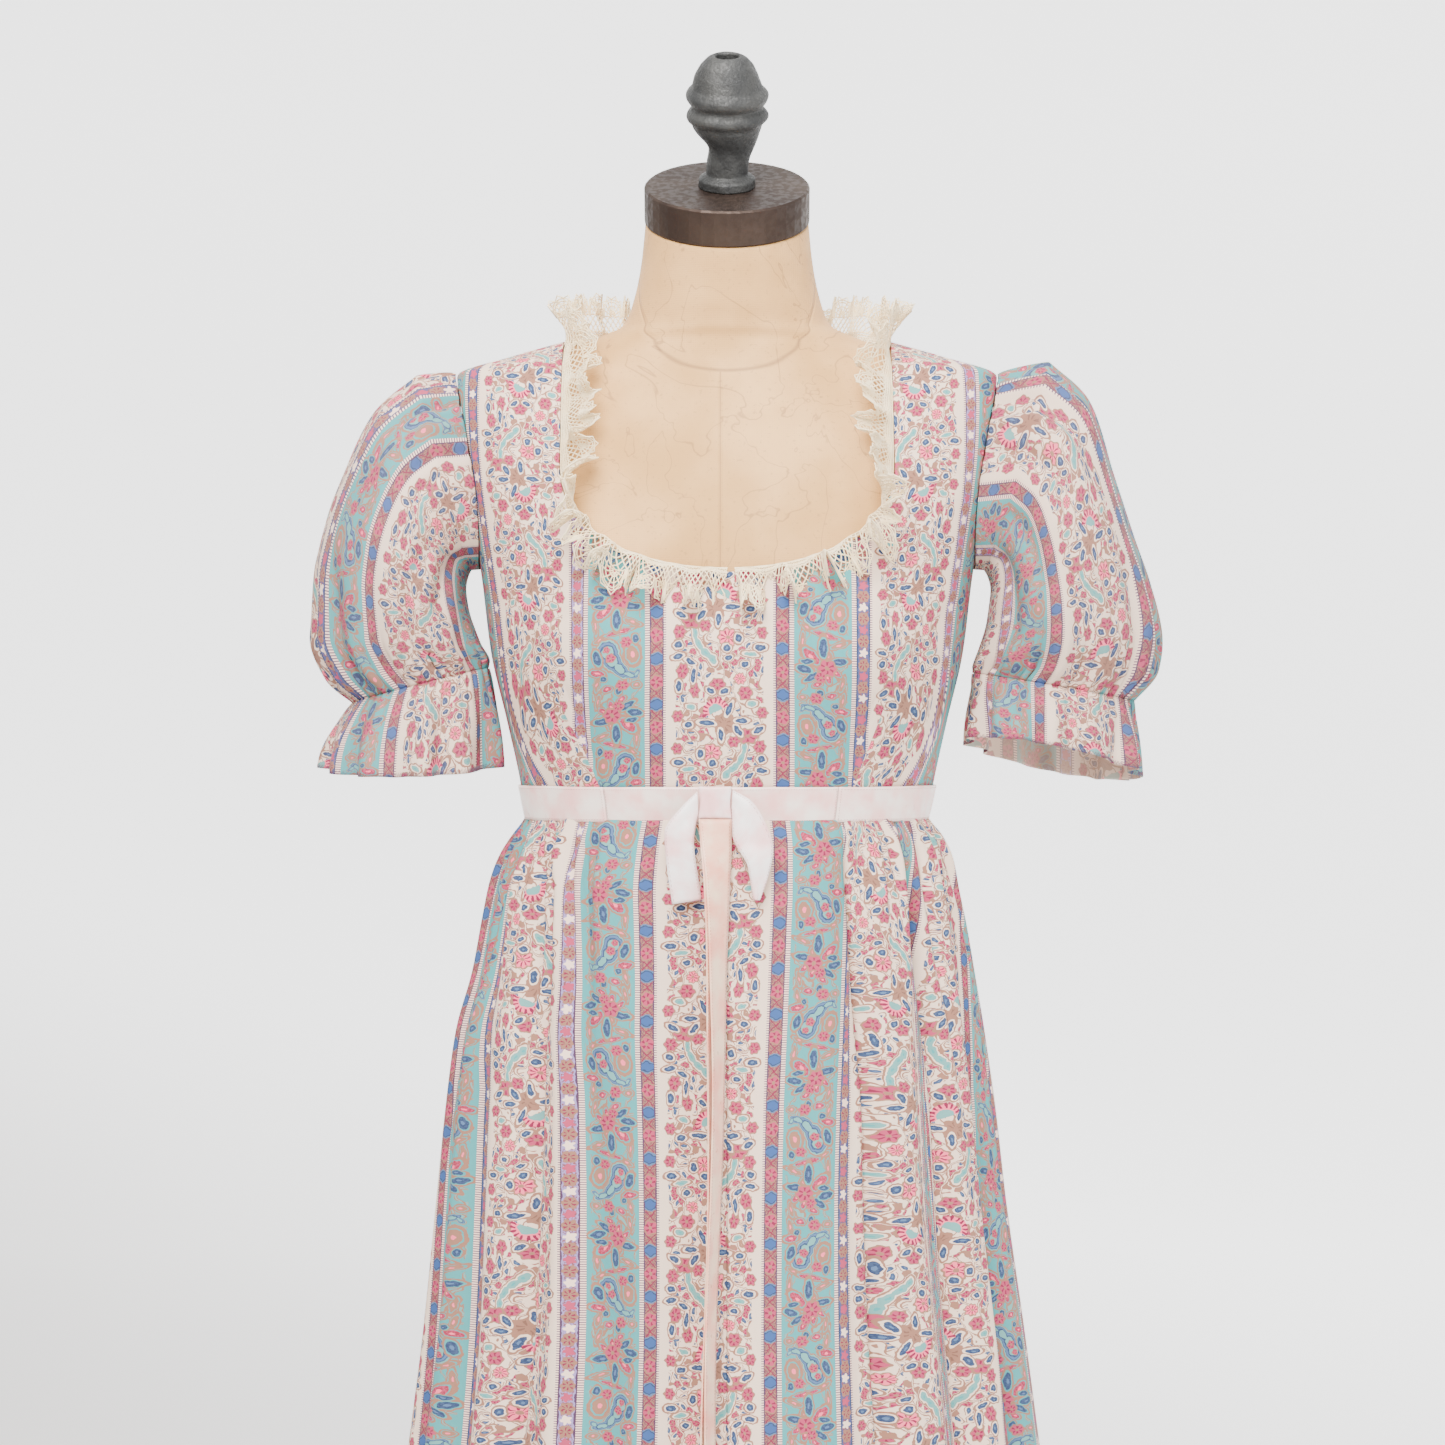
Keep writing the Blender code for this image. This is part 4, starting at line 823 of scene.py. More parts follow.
# %% The white stripe's figures
WHITE_FLOWERS = (
    (1.5, 39.5, 4.6, 3.8, 0), (16.5, 43, 2.9, 4.6, 8), (24.5, 30, 3.4, 4.6, -10),
    (-18.5, 73.6, 5.6, 4.4, 0), (-17, 45, 4.2, 4.0, 0), (26.5, 4.5, 3.6, 3.9, 0),
    (-28, 5.5, 3.2, 3.4, 0), (9.5, 1.0, 3.6, 3.4, 0), (-28.0, 58.0, 3.4, 3.4, 0),
    (27.5, 60.0, 3.4, 3.4, 0),
)
WHITE_LEAVES = (
    (-14.5, 63.4, 4.2, 1.8, 0), (8.6, 64.8, 5.2, 1.8, -5), (-6.4, 55.5, 1.8, 5.0, -25),
    (-0.8, 73.0, 1.8, 4.2, 5), (-3.2, 43.8, 3.0, 1.8, 25), (6.2, 43.4, 3.0, 1.8, -35),
    (17.3, 33.0, 1.5, 4.8, -5), (19.5, 24.0, 3.4, 1.6, -30), (-27, 15, 3.6, 2.1, 0),
    (27.5, 20.5, 3.6, 1.8, 10), (27.5, 13.0, 2.6, 2.3, 0), (-12.6, 9.2, 2.3, 2.7, 0),
    (-4.6, 15.5, 2.5, 2.3, 0), (-25.5, 69.5, 3.6, 1.9, 30), (-12, 70.0, 1.9, 4.0, 35),
    (27.0, 40.0, 1.9, 3.6, 0), (20.5, 66.0, 2.8, 2.0, 0), (-17.0, 26.0, 2.5, 1.9, 0),
    (-6.0, 22.0, 2.6, 1.6, 20),
)
WHITE_FEATHERS = (
    (4.6, 23.0, 2.2, 3.4, 25), (9.0, 18.8, 2.1, 4.4, 48), (13.8, 12.8, 1.9, 4.6, 28),
    (16.2, 5.4, 1.6, 4.4, 5), (-20.5, 19.5, 4.2, 1.5, -8), (-21.5, 52.0, 3.0, 2.0, 10),
    (19.0, 54.0, 3.0, 1.7, -20),
)
WHITE_STARS = ((-3.0, 65.5, 6.2, 6.0, 0),)
WHITE_FANS = ((-5.5, 8.6, 5.8, 5.2, 0), (-13.5, 35.5, 3.4, 3.4, 0))


FILLER_SIZE = 5.3


def small_filler(colour, place):
    """A scatter of flowers and leaves, one to each Voronoi cell."""
    field = place.node("ShaderNodeVectorMath", {"operation": "SCALE"}, {0: place, 3: 1 / FILLER_SIZE})
    settings = {"voronoi_dimensions": "2D"}
    values = {0: field, "Scale": 1.0, "Randomness": 0.7}
    distance = field.node("ShaderNodeTexVoronoi", settings, values, output=0)
    cells = distance.socket.node
    chance = Flow(place.tree, cells.outputs[1])
    local = vector("SUBTRACT", field, Flow(place.tree, cells.outputs[2]))
    kind, spin = split(chance)
    values = {0: local, "Angle": spin * 6.28}
    spun = local.node("ShaderNodeVectorRotate", {"rotation_type": "Z_AXIS"}, values)
    long_way, short_way = split(spun)
    leaf = ((long_way * long_way) * 5.2 + (short_way * short_way) * 24.0).maths("SQRT")
    flower = distance * 2.35
    leafy = kind.above(0.52)
    drawn = draw_flower(colour, flower, local, 5.0, INK["pink"], INK["deep_pink"])
    drawn = blend(kind.below(0.16) * flower.below(1.0), drawn, INK["tan"])
    leaves = draw_haloed(colour, leaf, INK["blue"], INK["ground"], INK["pale_blue"], 2.0)
    return blend(leafy, drawn, leaves)


def white_stripe(across, along, shade):
    place = fold_over(across, along)
    x = split(place)[0]
    ground = INK["ground"]
    colour = small_filler(ground, place)
    leaves = nearest_oval(place, WHITE_LEAVES)
    feathers = nearest_oval(place, WHITE_FEATHERS)
    flowers, flower_place = nearest_flower(place, WHITE_FLOWERS)
    fans, fan_place = nearest_flower(place, WHITE_FANS)
    stars, star_place = nearest_flower(place, WHITE_STARS)
    crowd = leaves.least(feathers).least(flowers).least(fans).least(stars)
    colour = blend(crowd.below(1.85), colour, ground)
    colour = vines(place, colour, 0.052, 0.5, ground)
    colour = blend(abs(x).ramp(WHITE_MARGIN, WHITE_MARGIN + 0.6), colour, ground)
    colour = draw_haloed(colour, feathers, INK["pale_aqua"], ground, INK["aqua"])
    colour = draw_flower(colour, stars, star_place, 8.0, INK["tan"], INK["deep_tan"])
    colour = draw_flower(colour, flowers, flower_place, 6.0, INK["pink"], INK["deep_pink"])
    colour = draw_flower(colour, fans, fan_place, 9.0, INK["pale_pink"], INK["deep_pink"])
    blues = blend(shade, INK["deep_blue"], INK["blue"])
    colour = draw_haloed(colour, leaves, blues, ground, INK["pale_blue"])
    bow = oval(place, 2.5, 56.5, 8.8, 8.0, 25)
    bow_reach = reach(bow)
    bow_y = split(bow)[1]
    scallop = (turn_of(bow) * 16.0).cosine()
    inside = bow_y.below(0.12) * (bow_reach - scallop * 0.05).below(1.0)
    colour = blend(inside, colour, INK["pale_pink"])
    colour = blend(inside * scallop.above(0.1) * bow_reach.above(0.62), colour, INK["deep_pink"])
    return blend(inside * bow_reach.below(0.52), colour, INK["pale_aqua"])


# %% The aqua stripe's lily and paisley
LILY_PETALS = ((-7.6, 53.6, 6.4, 3.1, 42), (3.2, 66.0, 2.0, 4.2, -12), (8.2, 62.6, 4.2, 1.7, 40))
LILY_LEAVES = (
    (0.4, 47.6, 2.5, 6.0, 0), (10.0, 56.0, 5.4, 2.1, -8), (-12.2, 62.0, 4.8, 2.3, 12),
    (-7.4, 67.0, 5.0, 1.8, -32), (-10.4, 57.0, 3.6, 1.6, -5), (12.6, 34.6, 1.9, 2.5, 10),
    (-12.4, 23.0, 2.5, 4.6, 18), (1.8, 1.2, 1.8, 2.2, 0), (-8.2, 9.6, 1.9, 1.6, 0),
)
PAISLEY_BODY = (
    (-5.4, 27.0, 6.0, 6.2, 0), (-2.6, 21.6, 5.0, 6.4, 30), (2.4, 15.8, 3.4, 6.2, 42),
    (8.6, 11.6, 5.2, 2.0, -18), (13.2, 12.2, 1.3, 2.6, -40),
)
PAISLEY_HEART = ((-3.4, 23.0, 2.6, 2.5, 0), (-6.2, 28.4, 1.9, 1.9, 0))
AQUA_FLOWERS = (
    (2.8, 60.4, 5.2, 4.8, 0), (6.4, 32.6, 3.4, 3.0, 0), (4.4, 5.0, 3.8, 3.2, 0),
    (-1.4, 66.8, 3.2, 3.0, 0),
)
AQUA_REDS = (
    (1.8, 39.4, 8.6, 1.4, 12), (-12.4, 13.4, 4.6, 2.2, -8), (-3.6, 71.5, 3.0, 1.7, -30),
    (-5.8, 2.6, 3.1, 1.9, 15),
)
AQUA_TANS = (
    (10.6, 24.6, 4.0, 5.6, 12), (-13.4, 44.4, 1.5, 6.4, 4), (10.4, 45.4, 5.6, 1.6, -22),
    (-12.8, 5.8, 1.5, 5.0, -12), (12.4, 70.5, 1.5, 4.8, 14), (-10.6, 35.0, 4.2, 1.5, 30),
    (13.4, 4.6, 2.6, 1.8, 0), (3.5, 52.6, 2.6, 3.6, -20),
)


def aqua_stripe(across, along, shade):
    place = fold_over(across, along)
    ground = INK["aqua"]
    leaves = nearest_oval(place, LILY_LEAVES)
    reds = nearest_oval(place, AQUA_REDS + LILY_PETALS)
    tans = nearest_oval(place, AQUA_TANS)
    body = nearest_oval(place, PAISLEY_BODY)
    hearts, heart_place = nearest_flower(place, PAISLEY_HEART)
    flowers, flower_place = nearest_flower(place, AQUA_FLOWERS)
    x = split(place)[0]
    colour = vines(place, ground, 0.060, 0.47, INK["pale_aqua"])
    colour = blend(abs(x).above(AQUA_HALF - 2.6), colour, ground)
    colour = draw_haloed(colour, tans, INK["tan"], ground, INK["pale_pink"], 1.6)
    blues = blend(shade, INK["deep_blue"], INK["blue"])
    colour = blend(body.below(1.42), colour, INK["tan"])
    colour = blend(body.below(1.24), colour, INK["pale_aqua"])
    colour = draw_ovals(colour, body, INK["pale_blue"], INK["blue"], 1.1)
    colour = blend(body.below(0.80), colour, blues)
    colour = blend(body.below(0.62), colour, INK["pale_aqua"])
    colour = draw_flower(colour, hearts, heart_place, 5.0, INK["pink"], INK["deep_pink"])
    warm = blend(shade, INK["red"], INK["pink"])
    colour = draw_haloed(colour, reds, warm, ground, INK["pale_pink"], 1.6)
    colour = draw_haloed(colour, leaves, blues, ground, INK["pale_blue"], 1.65)
    return draw_flower(colour, flowers, flower_place, 6.0, INK["pink"], INK["deep_pink"])


# %% The narrow stripes


def narrow_place(across, along, offset):
    """A place in a narrow stripe's own repeat, folded about its middle figure."""
    return join(across, (along + offset).maths("WRAP", NARROW_REPEAT / 2, -NARROW_REPEAT / 2))


def rose_stripe(across, along, shade):
    place = narrow_place(across, along, 0.0)
    x, y = split(place)
    depth = abs(y)
    out = abs(x)
    colour = blend(shade, INK["rose"], INK["tan"])
    cross = abs(abs(depth - 7.6) - out).below(0.5)
    colour = blend(cross * out.below(3.4), colour, INK["deep_pink"])
    dots = (x * 4.4).cosine() * (y * 3.1).cosine()
    colour = blend(dots.above(0.55) * out.above(1.6), colour, INK["plum"])
    bloom_place = join(x, depth - NARROW_REPEAT / 2)
    bloom = reach(bloom_place) * 0.24
    colour = draw_flower(colour, bloom, bloom_place, 5.0, INK["pink"], INK["deep_pink"])
    square = reach(oval(place, 0.0, 0.0, 3.9, 2.9)) - (turn_of(place) * 4.0).cosine() * 0.1
    colour = blend(square.below(1.5), colour, INK["pale_blue"])
    colour = draw_ovals(colour, square, INK["sky"], INK["deep_blue"], 1.24)
    return blend(out.above(ROSE_HALF - 0.75), colour, INK["plum"])


def blue_stripe(across, along, side, shade):
    place = narrow_place(across, along, 11.0)
    x, y = split(place)
    depth = abs(y)
    ground = blend(side, INK["lilac"], INK["violet"])
    colour = blend(abs(x).below(3.2) * depth.above(2.0), ground, blend(shade, ground, INK["rose"]))
    tulip_place = join(x, depth - 7.6)
    tulip = reach(tulip_place) * 0.3
    colour = draw_flower(colour, tulip, tulip_place, 6.0, INK["tan"], INK["deep_pink"])
    star = reach(place) * 0.36
    colour = blend((star - (turn_of(place) * 5.0).cosine() * 0.25).below(1.0), colour, INK["white"])
    bloom_place = join(x, depth - NARROW_REPEAT / 2)
    bloom = reach(bloom_place) * 0.36 - (turn_of(bloom_place) * 5.0).cosine() * 0.2
    colour = blend(bloom.below(1.0), colour, INK["pink"])
    return blend(abs(x).above(BLUE_HALF - 0.9), colour, blend(side, INK["plum"], INK["deep_blue"]))


# %% The stripes side by side


def print_layers(start):
    """Each stripe's mask and colour, the ground first, and the place in millimetres."""
    flat = cloth_place(start)
    millimetres = vector("SCALE", flat)
    millimetres.socket.node.inputs[3].default_value = 1000.0
    shake = noise(millimetres, 0.3, 1.0, output=1, on_cloth=True)
    centred = vector("SUBTRACT", shake, (0.5, 0.5, 0.5))
    hand = vector("MULTIPLY_ADD", centred, (1.7, 1.7, 0.0), millimetres)
    shade = noise(millimetres, 0.8, 1.0, on_cloth=True).ramp(0.42, 0.6)
    x, y = split(hand)
    true_x, true_y = split(millimetres)
    wrapped = x.maths("WRAP", HALF_REPEAT, -HALF_REPEAT)
    out = abs(wrapped)
    true_out = abs(true_x.maths("WRAP", HALF_REPEAT, -HALF_REPEAT))
    side = wrapped.above(0.0)
    tick = (true_y * (2 * math.pi / 1.6)).cosine().ramp(-0.1, 0.5)
    layers = [(None, blend(tick, INK["white"], INK["tick"]))]
    white_x = x.maths("WRAP", HALF_REPEAT / 2, -HALF_REPEAT / 2)
    odd = ((true_x / HALF_REPEAT).maths("ROUND") * 0.5).maths("FRACT") * 2
    staggered = y * (odd * 2 - 1) + odd * -48.1 + 41.8
    in_white = abs(true_out - HALF_REPEAT / 2).above(HALF_REPEAT / 2 - WHITE_EDGE - 1.4)
    layers.append((in_white, white_stripe(white_x, staggered, shade)))
    in_rose = abs(true_out - ROSE_MIDDLE).below(ROSE_HALF)
    layers.append((in_rose, rose_stripe(out - ROSE_MIDDLE, y - side * 6.0 - 13.0, shade)))
    in_aqua = abs(true_out - AQUA_MIDDLE).below(AQUA_HALF)
    layers.append((in_aqua, aqua_stripe(out - AQUA_MIDDLE, y * (1 - 2 * side), shade)))
    in_blue = abs(true_out - BLUE_MIDDLE).below(BLUE_HALF)
    layers.append((in_blue, blue_stripe(out - BLUE_MIDDLE, y, side, shade)))
    return layers, millimetres


def weave_height(millimetres):
    """Crossed threads, three to the millimetre, with slubs."""
    x, y = split(millimetres)
    threads = (x * 18.0).cosine() * 0.25 + (y * 18.0).cosine() * 0.25 + 0.5
    return threads * 0.6 + noise(millimetres, 1.1, 1.0, on_cloth=True) * 0.6


def print_finish(name, wash, under=INK["ground"]):
    """The printed cloth; wash is how much of the colour under it shows instead of the ink: the bare
    cloth on the wrong side, and on the single layer a dark mauve of painted shade.

    Each stripe has a shader of its own, so only the stripe that is looked at is worked out.
    """
    material, shader, start = new_finish(name, 0.86, sheen=0.03, specular=0.15)
    layers, millimetres = print_layers(start)
    weave = weave_height(millimetres)
    bump = bump_of(weave, 0.00012, 0.6)
    roughness = weave.ramp(0.2, 1.0, 0.92, 0.78)
    cloth = None
    for mask, colour in layers:
        if mask is not None:
            shader = new_shader(material, 0.86, sheen=0.03, specular=0.15)
        values = {0: wash, 6: colour, 7: (*under, 1.0)}
        mixed = colour.node("ShaderNodeMix", {"data_type": "RGBA"}, values, output=2)
        feed(shader, "Base Color", mixed)
        feed(shader, "Roughness", roughness)
        feed(shader, "Normal", bump)
        stripe = Flow(material.node_tree, shader.outputs[0])
        if mask is not None:
            stripe = mask.node("ShaderNodeMixShader", {}, {0: mask, 1: cloth, 2: stripe})
        cloth = stripe
    show(start, cloth)
    return material


printed = print_finish("printed cotton", 0.0)
wrong_side = print_finish("printed cotton, wrong side", 0.45)
print("nodes in the print:", len(printed.node_tree.nodes))

# %% [markdown]
# ## The bodice
#
# The bodice is cut close, with a long dart from the waist towards each side of
# the bust. Inside the darts the stripes hang straight. Outside them the cloth
# has been swung in by the dart, so its stripes lean towards the waist. The
# front is therefore laid out as three fields that meet on the dart lines.

# %% Soft creases laid on one by one


def soft_trough(across, along, line):
    """Depth of one crease: line is (across, along) at both ends, half width and depth."""
    start_a, start_b, end_a, end_b, width, depth = line
    run_a, run_b = end_a - start_a, end_b - start_b
    length = math.hypot(run_a, run_b)
    share = ((across - start_a) * run_a + (along - start_b) * run_b) / length**2
    away = ((across - start_a) * run_b - (along - start_b) * run_a) / length
    fade = smoothstep(share / 0.25 + 0.25) * smoothstep((1 - share) / 0.25 + 0.25)
    return depth * fade * bell(away, width)


def creases(across, along, lines):
    return sum(soft_trough(across, along, line) for line in lines)


# %% The front's relief: dart seams, and pulls from the arms
CLOTH = 0.0012
EASE = 0.0012
DART_TIP_Z = {-1: 1.229, 1: 1.223}
DART_BOW = {-1: math.radians(7.6), 1: math.radians(3.6)}
DART_BOW_HEIGHT = 0.05
DART_RADIUS = 0.115
DART_FOOT = math.radians(34.4)
DART_TURN = math.radians(40)
PRINT_SHIFT = 0.0050
PRINT_RISE = 0.0736
FRONT_CREASES = (
    (-0.150, 1.300, -0.100, 1.262, 0.007, 0.0012), (-0.152, 1.285, -0.118, 1.235, 0.006, 0.0010),
    (0.150, 1.302, 0.104, 1.268, 0.007, 0.0012), (0.153, 1.283, 0.120, 1.230, 0.006, 0.0011),
    (-0.118, 1.150, -0.128, 1.215, 0.005, 0.0009), (0.112, 1.148, 0.126, 1.205, 0.005, 0.0010),
    (-0.030, 1.140, -0.034, 1.185, 0.006, 0.0007), (0.024, 1.140, 0.020, 1.190, 0.007, 0.0007),
    (0.052, 1.140, 0.056, 1.176, 0.005, 0.0007), (-0.060, 1.140, -0.064, 1.180, 0.005, 0.0008),
    (-0.150, 1.395, -0.155, 1.345, 0.007, -0.0010), (0.151, 1.398, 0.158, 1.340, 0.007, -0.0010),
    (-0.136, 1.160, -0.140, 1.240, 0.006, 0.0010), (0.131, 1.158, 0.140, 1.236, 0.006, 0.0010),
)


def dart_swing(z, side):
    """How far the dart's line swings out from straight up."""
    return DART_BOW[side] * bell(z - DART_TIP_Z[side], DART_BOW_HEIGHT)


def dart_azimuth(z, side):
    """The dart's line, and above its tip the line that the grid goes on along."""
    return DART_FOOT + dart_swing(z, side)


SHOULDER_EASE = 0.0006
FULL_EASE_FROM_Z = 1.43


def eased(azimuth, z, ease, relief=0.0):
    """Inner face of the bodice: close at the shoulder, easier below it."""
    below = smoothstep((FULL_EASE_FROM_Z - z) / 0.06)
    return over_body(azimuth, z, SHOULDER_EASE + (ease - SHOULDER_EASE) * below + relief)


def bodice_cloth(azimuth, z, lines):
    """A point of the bodice's inner face, with creases in (x, z)."""
    return eased(azimuth, z, EASE, -creases(body_point(azimuth, z)[..., 0], z, lines))


def dart_dimple(azimuth, z, side):
    """The stitched dart draws the cloth in along its line, up to the tip."""
    away = (np.abs(azimuth) - dart_azimuth(z, side)) * DART_RADIUS
    live = smoothstep((DART_TIP_Z[side] - z) / 0.012)
    seam, pull = 0.0009 * bell(away, 0.0011), 0.0007 * bell(away, 0.006)
    return live * (seam + pull)


# %% Lay the front out on the form


def front_patches(side):
    """The centre and outer fields of one half of the front, and its strap, as (azimuth, z)."""
    low_z = np.linspace(SEAM_Z, STRAP_FROM_Z, 73)
    low_side = np.stack([side_azimuth(low_z, -1), low_z], axis=-1)
    neckline = front_neckline()
    scoop = points_along(neckline, np.linspace(0, 0.5, 45), body_point)
    up = rows_up_strap(36)
    neck_side = points_along(neckline, 0.5 + 0.5 * up, body_point)
    strap_z = STRAP_FROM_Z + (SHOULDER_TIP_Z - STRAP_FROM_Z) * up
    strap_side = np.stack([side_azimuth(strap_z, -1), strap_z], axis=-1)
    strap_base = np.linspace(neck_side[0], strap_side[0], 31)
    shoulder = np.linspace([math.pi / 2, HIGH_SHOULDER_Z], [math.pi / 2, SHOULDER_TIP_Z], 31)
    top = np.concatenate([scoop, strap_base[1:]])
    waist_azimuth = np.interp(np.arange(75), [0, 44, 74], [0.0, DART_FOOT, math.pi / 2])
    waist = np.stack([waist_azimuth, np.full(75, SEAM_Z)], axis=-1)
    centre = np.linspace(waist[0], top[0], len(low_side))
    whole = coons(waist, top, centre, low_side)
    column = np.arange(75)
    share = np.where(column <= 44, column / 44, (74 - column) / 30) ** 1.5
    z = whole[..., 1]
    whole[..., 0] += share * DART_BOW[side] * bell(z - DART_TIP_Z[side], DART_BOW_HEIGHT)
    strap = coons(strap_base, shoulder, neck_side, strap_side)
    return whole[:, :45], whole[:, 44:], strap


def front_flat(azimuth, z, side, outer):
    """Where the front's points lay on the bolt: outside the dart the cloth is turned."""
    run = np.abs(signed_run(azimuth, z))
    rise = rise_from_waist(azimuth, z)
    if outer:
        tip_z = DART_TIP_Z[side]
        tip_azimuth = np.array([dart_azimuth(tip_z, side)])
        tip_run = signed_run(tip_azimuth, np.array([tip_z]))[0]
        tip_rise = rise_from_waist(tip_azimuth, np.array([tip_z]))[0]
        turn = DART_TURN * smoothstep((tip_z + 0.016 - z) / 0.085)
        away, below = run - tip_run, tip_rise - rise
        run = tip_run + away * np.cos(turn) + below * np.sin(turn)
        rise = tip_rise - below * np.cos(turn) + away * np.sin(turn)
    return np.stack([side * run + PRINT_SHIFT, rise + PRINT_RISE], axis=-1)


def build_bodice_front():
    patches = []
    for side in (-1, 1):
        for number, field in enumerate(front_patches(side)):
            azimuth, z = field[..., 0], field[..., 1]
            points = bodice_cloth(side * azimuth, z, FRONT_CREASES)
            if number < 2:
                normal = outward(body_point, side * azimuth, z)
                points = points - normal * dart_dimple(azimuth, z, side)[..., None]
            on_seam = np.abs(azimuth - math.pi / 2) < 1e-6
            points[..., 1] -= np.where(on_seam, SEAM_GAP / 2, 0.0)
            flat = front_flat(azimuth, z, side, number == 1)
            patches.append(facing_out(points, flat, (0.0, 0.0, 1.3)))
    return cut_cloth("bodice_front_cloth", patches, printed, CLOTH)


bodice_front = build_bodice_front()
print("bodice front area:", round(cloth_area(bodice_front), 4))

# %% The two backs, open down the middle for the zip
BACK_CREASES = (
    (-0.120, 1.140, -0.112, 1.200, 0.006, 0.0010), (-0.084, 1.138, -0.080, 1.180, 0.006, 0.0008),
    (-0.045, 1.138, -0.042, 1.176, 0.005, 0.0008), (0.042, 1.138, 0.040, 1.182, 0.006, 0.0008),
    (0.088, 1.138, 0.082, 1.192, 0.006, 0.0009), (0.122, 1.140, 0.116, 1.210, 0.006, 0.0010),
    (-0.150, 1.310, -0.110, 1.290, 0.008, 0.0011), (0.150, 1.308, 0.112, 1.282, 0.008, 0.0011),
    (-0.020, 1.440, -0.024, 1.380, 0.006, -0.0007), (0.022, 1.425, 0.026, 1.350, 0.006, -0.0007),
)


BACK_SHIFT = 0.0683


def build_bodice_back(side):
    low_z = np.linspace(SEAM_Z, STRAP_FROM_Z, 61)
    up = rows_up_strap(36)
    strap_z = STRAP_FROM_Z + (SHOULDER_TIP_Z - STRAP_FROM_Z) * up
    low_side = np.stack([side_azimuth(low_z, 1), low_z], axis=-1)
    strap_side = np.stack([side_azimuth(strap_z, 1), strap_z], axis=-1)
    neck = points_along(back_neckline(), np.linspace(0, 1, 37), body_point)
    neck[-1] = (centre_back_edge(np.array([BACK_NECK_Z]))[0], BACK_NECK_Z)
    shoulder = np.linspace([math.pi / 2, SHOULDER_TIP_Z], [math.pi / 2, HIGH_SHOULDER_Z], 25)
    top = np.concatenate([shoulder, neck[1:]])
    high_z = STRAP_FROM_Z + (BACK_NECK_Z - STRAP_FROM_Z) * up
    low_centre = np.stack([centre_back_edge(low_z), low_z], axis=-1)
    high_centre = np.stack([centre_back_edge(high_z), high_z], axis=-1)
    waist = np.linspace(low_side[0], low_centre[0], len(top))
    middle = np.linspace(low_side[-1], low_centre[-1], len(top))
    patches = []
    fields = coons(waist, middle, low_side, low_centre), coons(middle, top, strap_side, high_centre)
    for field in fields:
        azimuth, z = field[..., 0], field[..., 1]
        points = bodice_cloth(side * azimuth, z, BACK_CREASES)
        points[..., 1] += np.where(np.abs(azimuth - math.pi / 2) < 1e-6, SEAM_GAP / 2, 0.0)
        run = run_between(body_point, azimuth, z, np.full_like(azimuth, math.pi), z)
        along = rise_from_waist(azimuth, z) + PRINT_RISE
        flat = np.stack([BACK_SHIFT - side * run, along], axis=-1)
        patches.append(facing_out(points, flat, (0.0, 0.0, 1.3)))
    return cut_cloth("bodice_back_cloth_" + SIDE_WORD[side], patches, printed, CLOTH)


bodice_backs = {side: build_bodice_back(side) for side in (-1, 1)}
print("bodice back area:", round(cloth_area(bodice_backs[1]), 4))

# %% [markdown]
# ## The skirt
#
# The skirt hangs from the waist seam in long soft folds, and its cloth is
# gathered at the sides. Its outline is a table of sections, and each fold is a
# row that says where it starts, how it drifts and how deep it sinks. A
# simulation would give other folds than the photograph's, so they are placed.

# %% Outline and long folds of the skirt
HEM_Z = 0.066
SKIRT_TOP_Z = 1.1312
SEAM_FOLD_DEPTH = 0.0003
SKIRT_COLUMNS = ("z", "left", "right", "front", "back", "exponent")
SKIRT_ROWS = (
    (0.066, 0.2960, 0.3000, 0.1900, 0.2250, 1.75),
    (0.400, 0.2560, 0.2560, 0.1520, 0.1850, 1.70),
    (0.700, 0.2185, 0.2146, 0.1280, 0.1480, 1.70),
    (0.778, 0.2085, 0.2043, 0.1235, 0.1410, 1.70),
    (0.868, 0.1995, 0.1915, 0.1195, 0.1330, 1.75),
    (0.937, 0.1925, 0.1835, 0.1170, 0.1260, 1.80),
    (0.985, 0.1860, 0.1765, 0.1155, 0.1200, 1.85),
    (1.027, 0.1745, 0.1700, 0.1140, 0.1140, 1.90),
    (1.065, 0.1675, 0.1640, 0.1120, 0.1080, 1.95),
    (1.089, 0.1625, 0.1590, 0.1105, 0.1030, 2.00),
    (1.105, 0.1565, 0.1555, 0.1085, 0.0980, 2.00),
    (1.120, 0.1470, 0.1480, 0.1055, 0.0925, 2.05),
    (1.1312, 0.1376, 0.1376, 0.1022, 0.0868, 2.10),
)
FOLD_COLUMNS = ("panel", "side", "at_top", "at_hip", "at_hem", "depth_top", "depth_hip", "depth_hem")
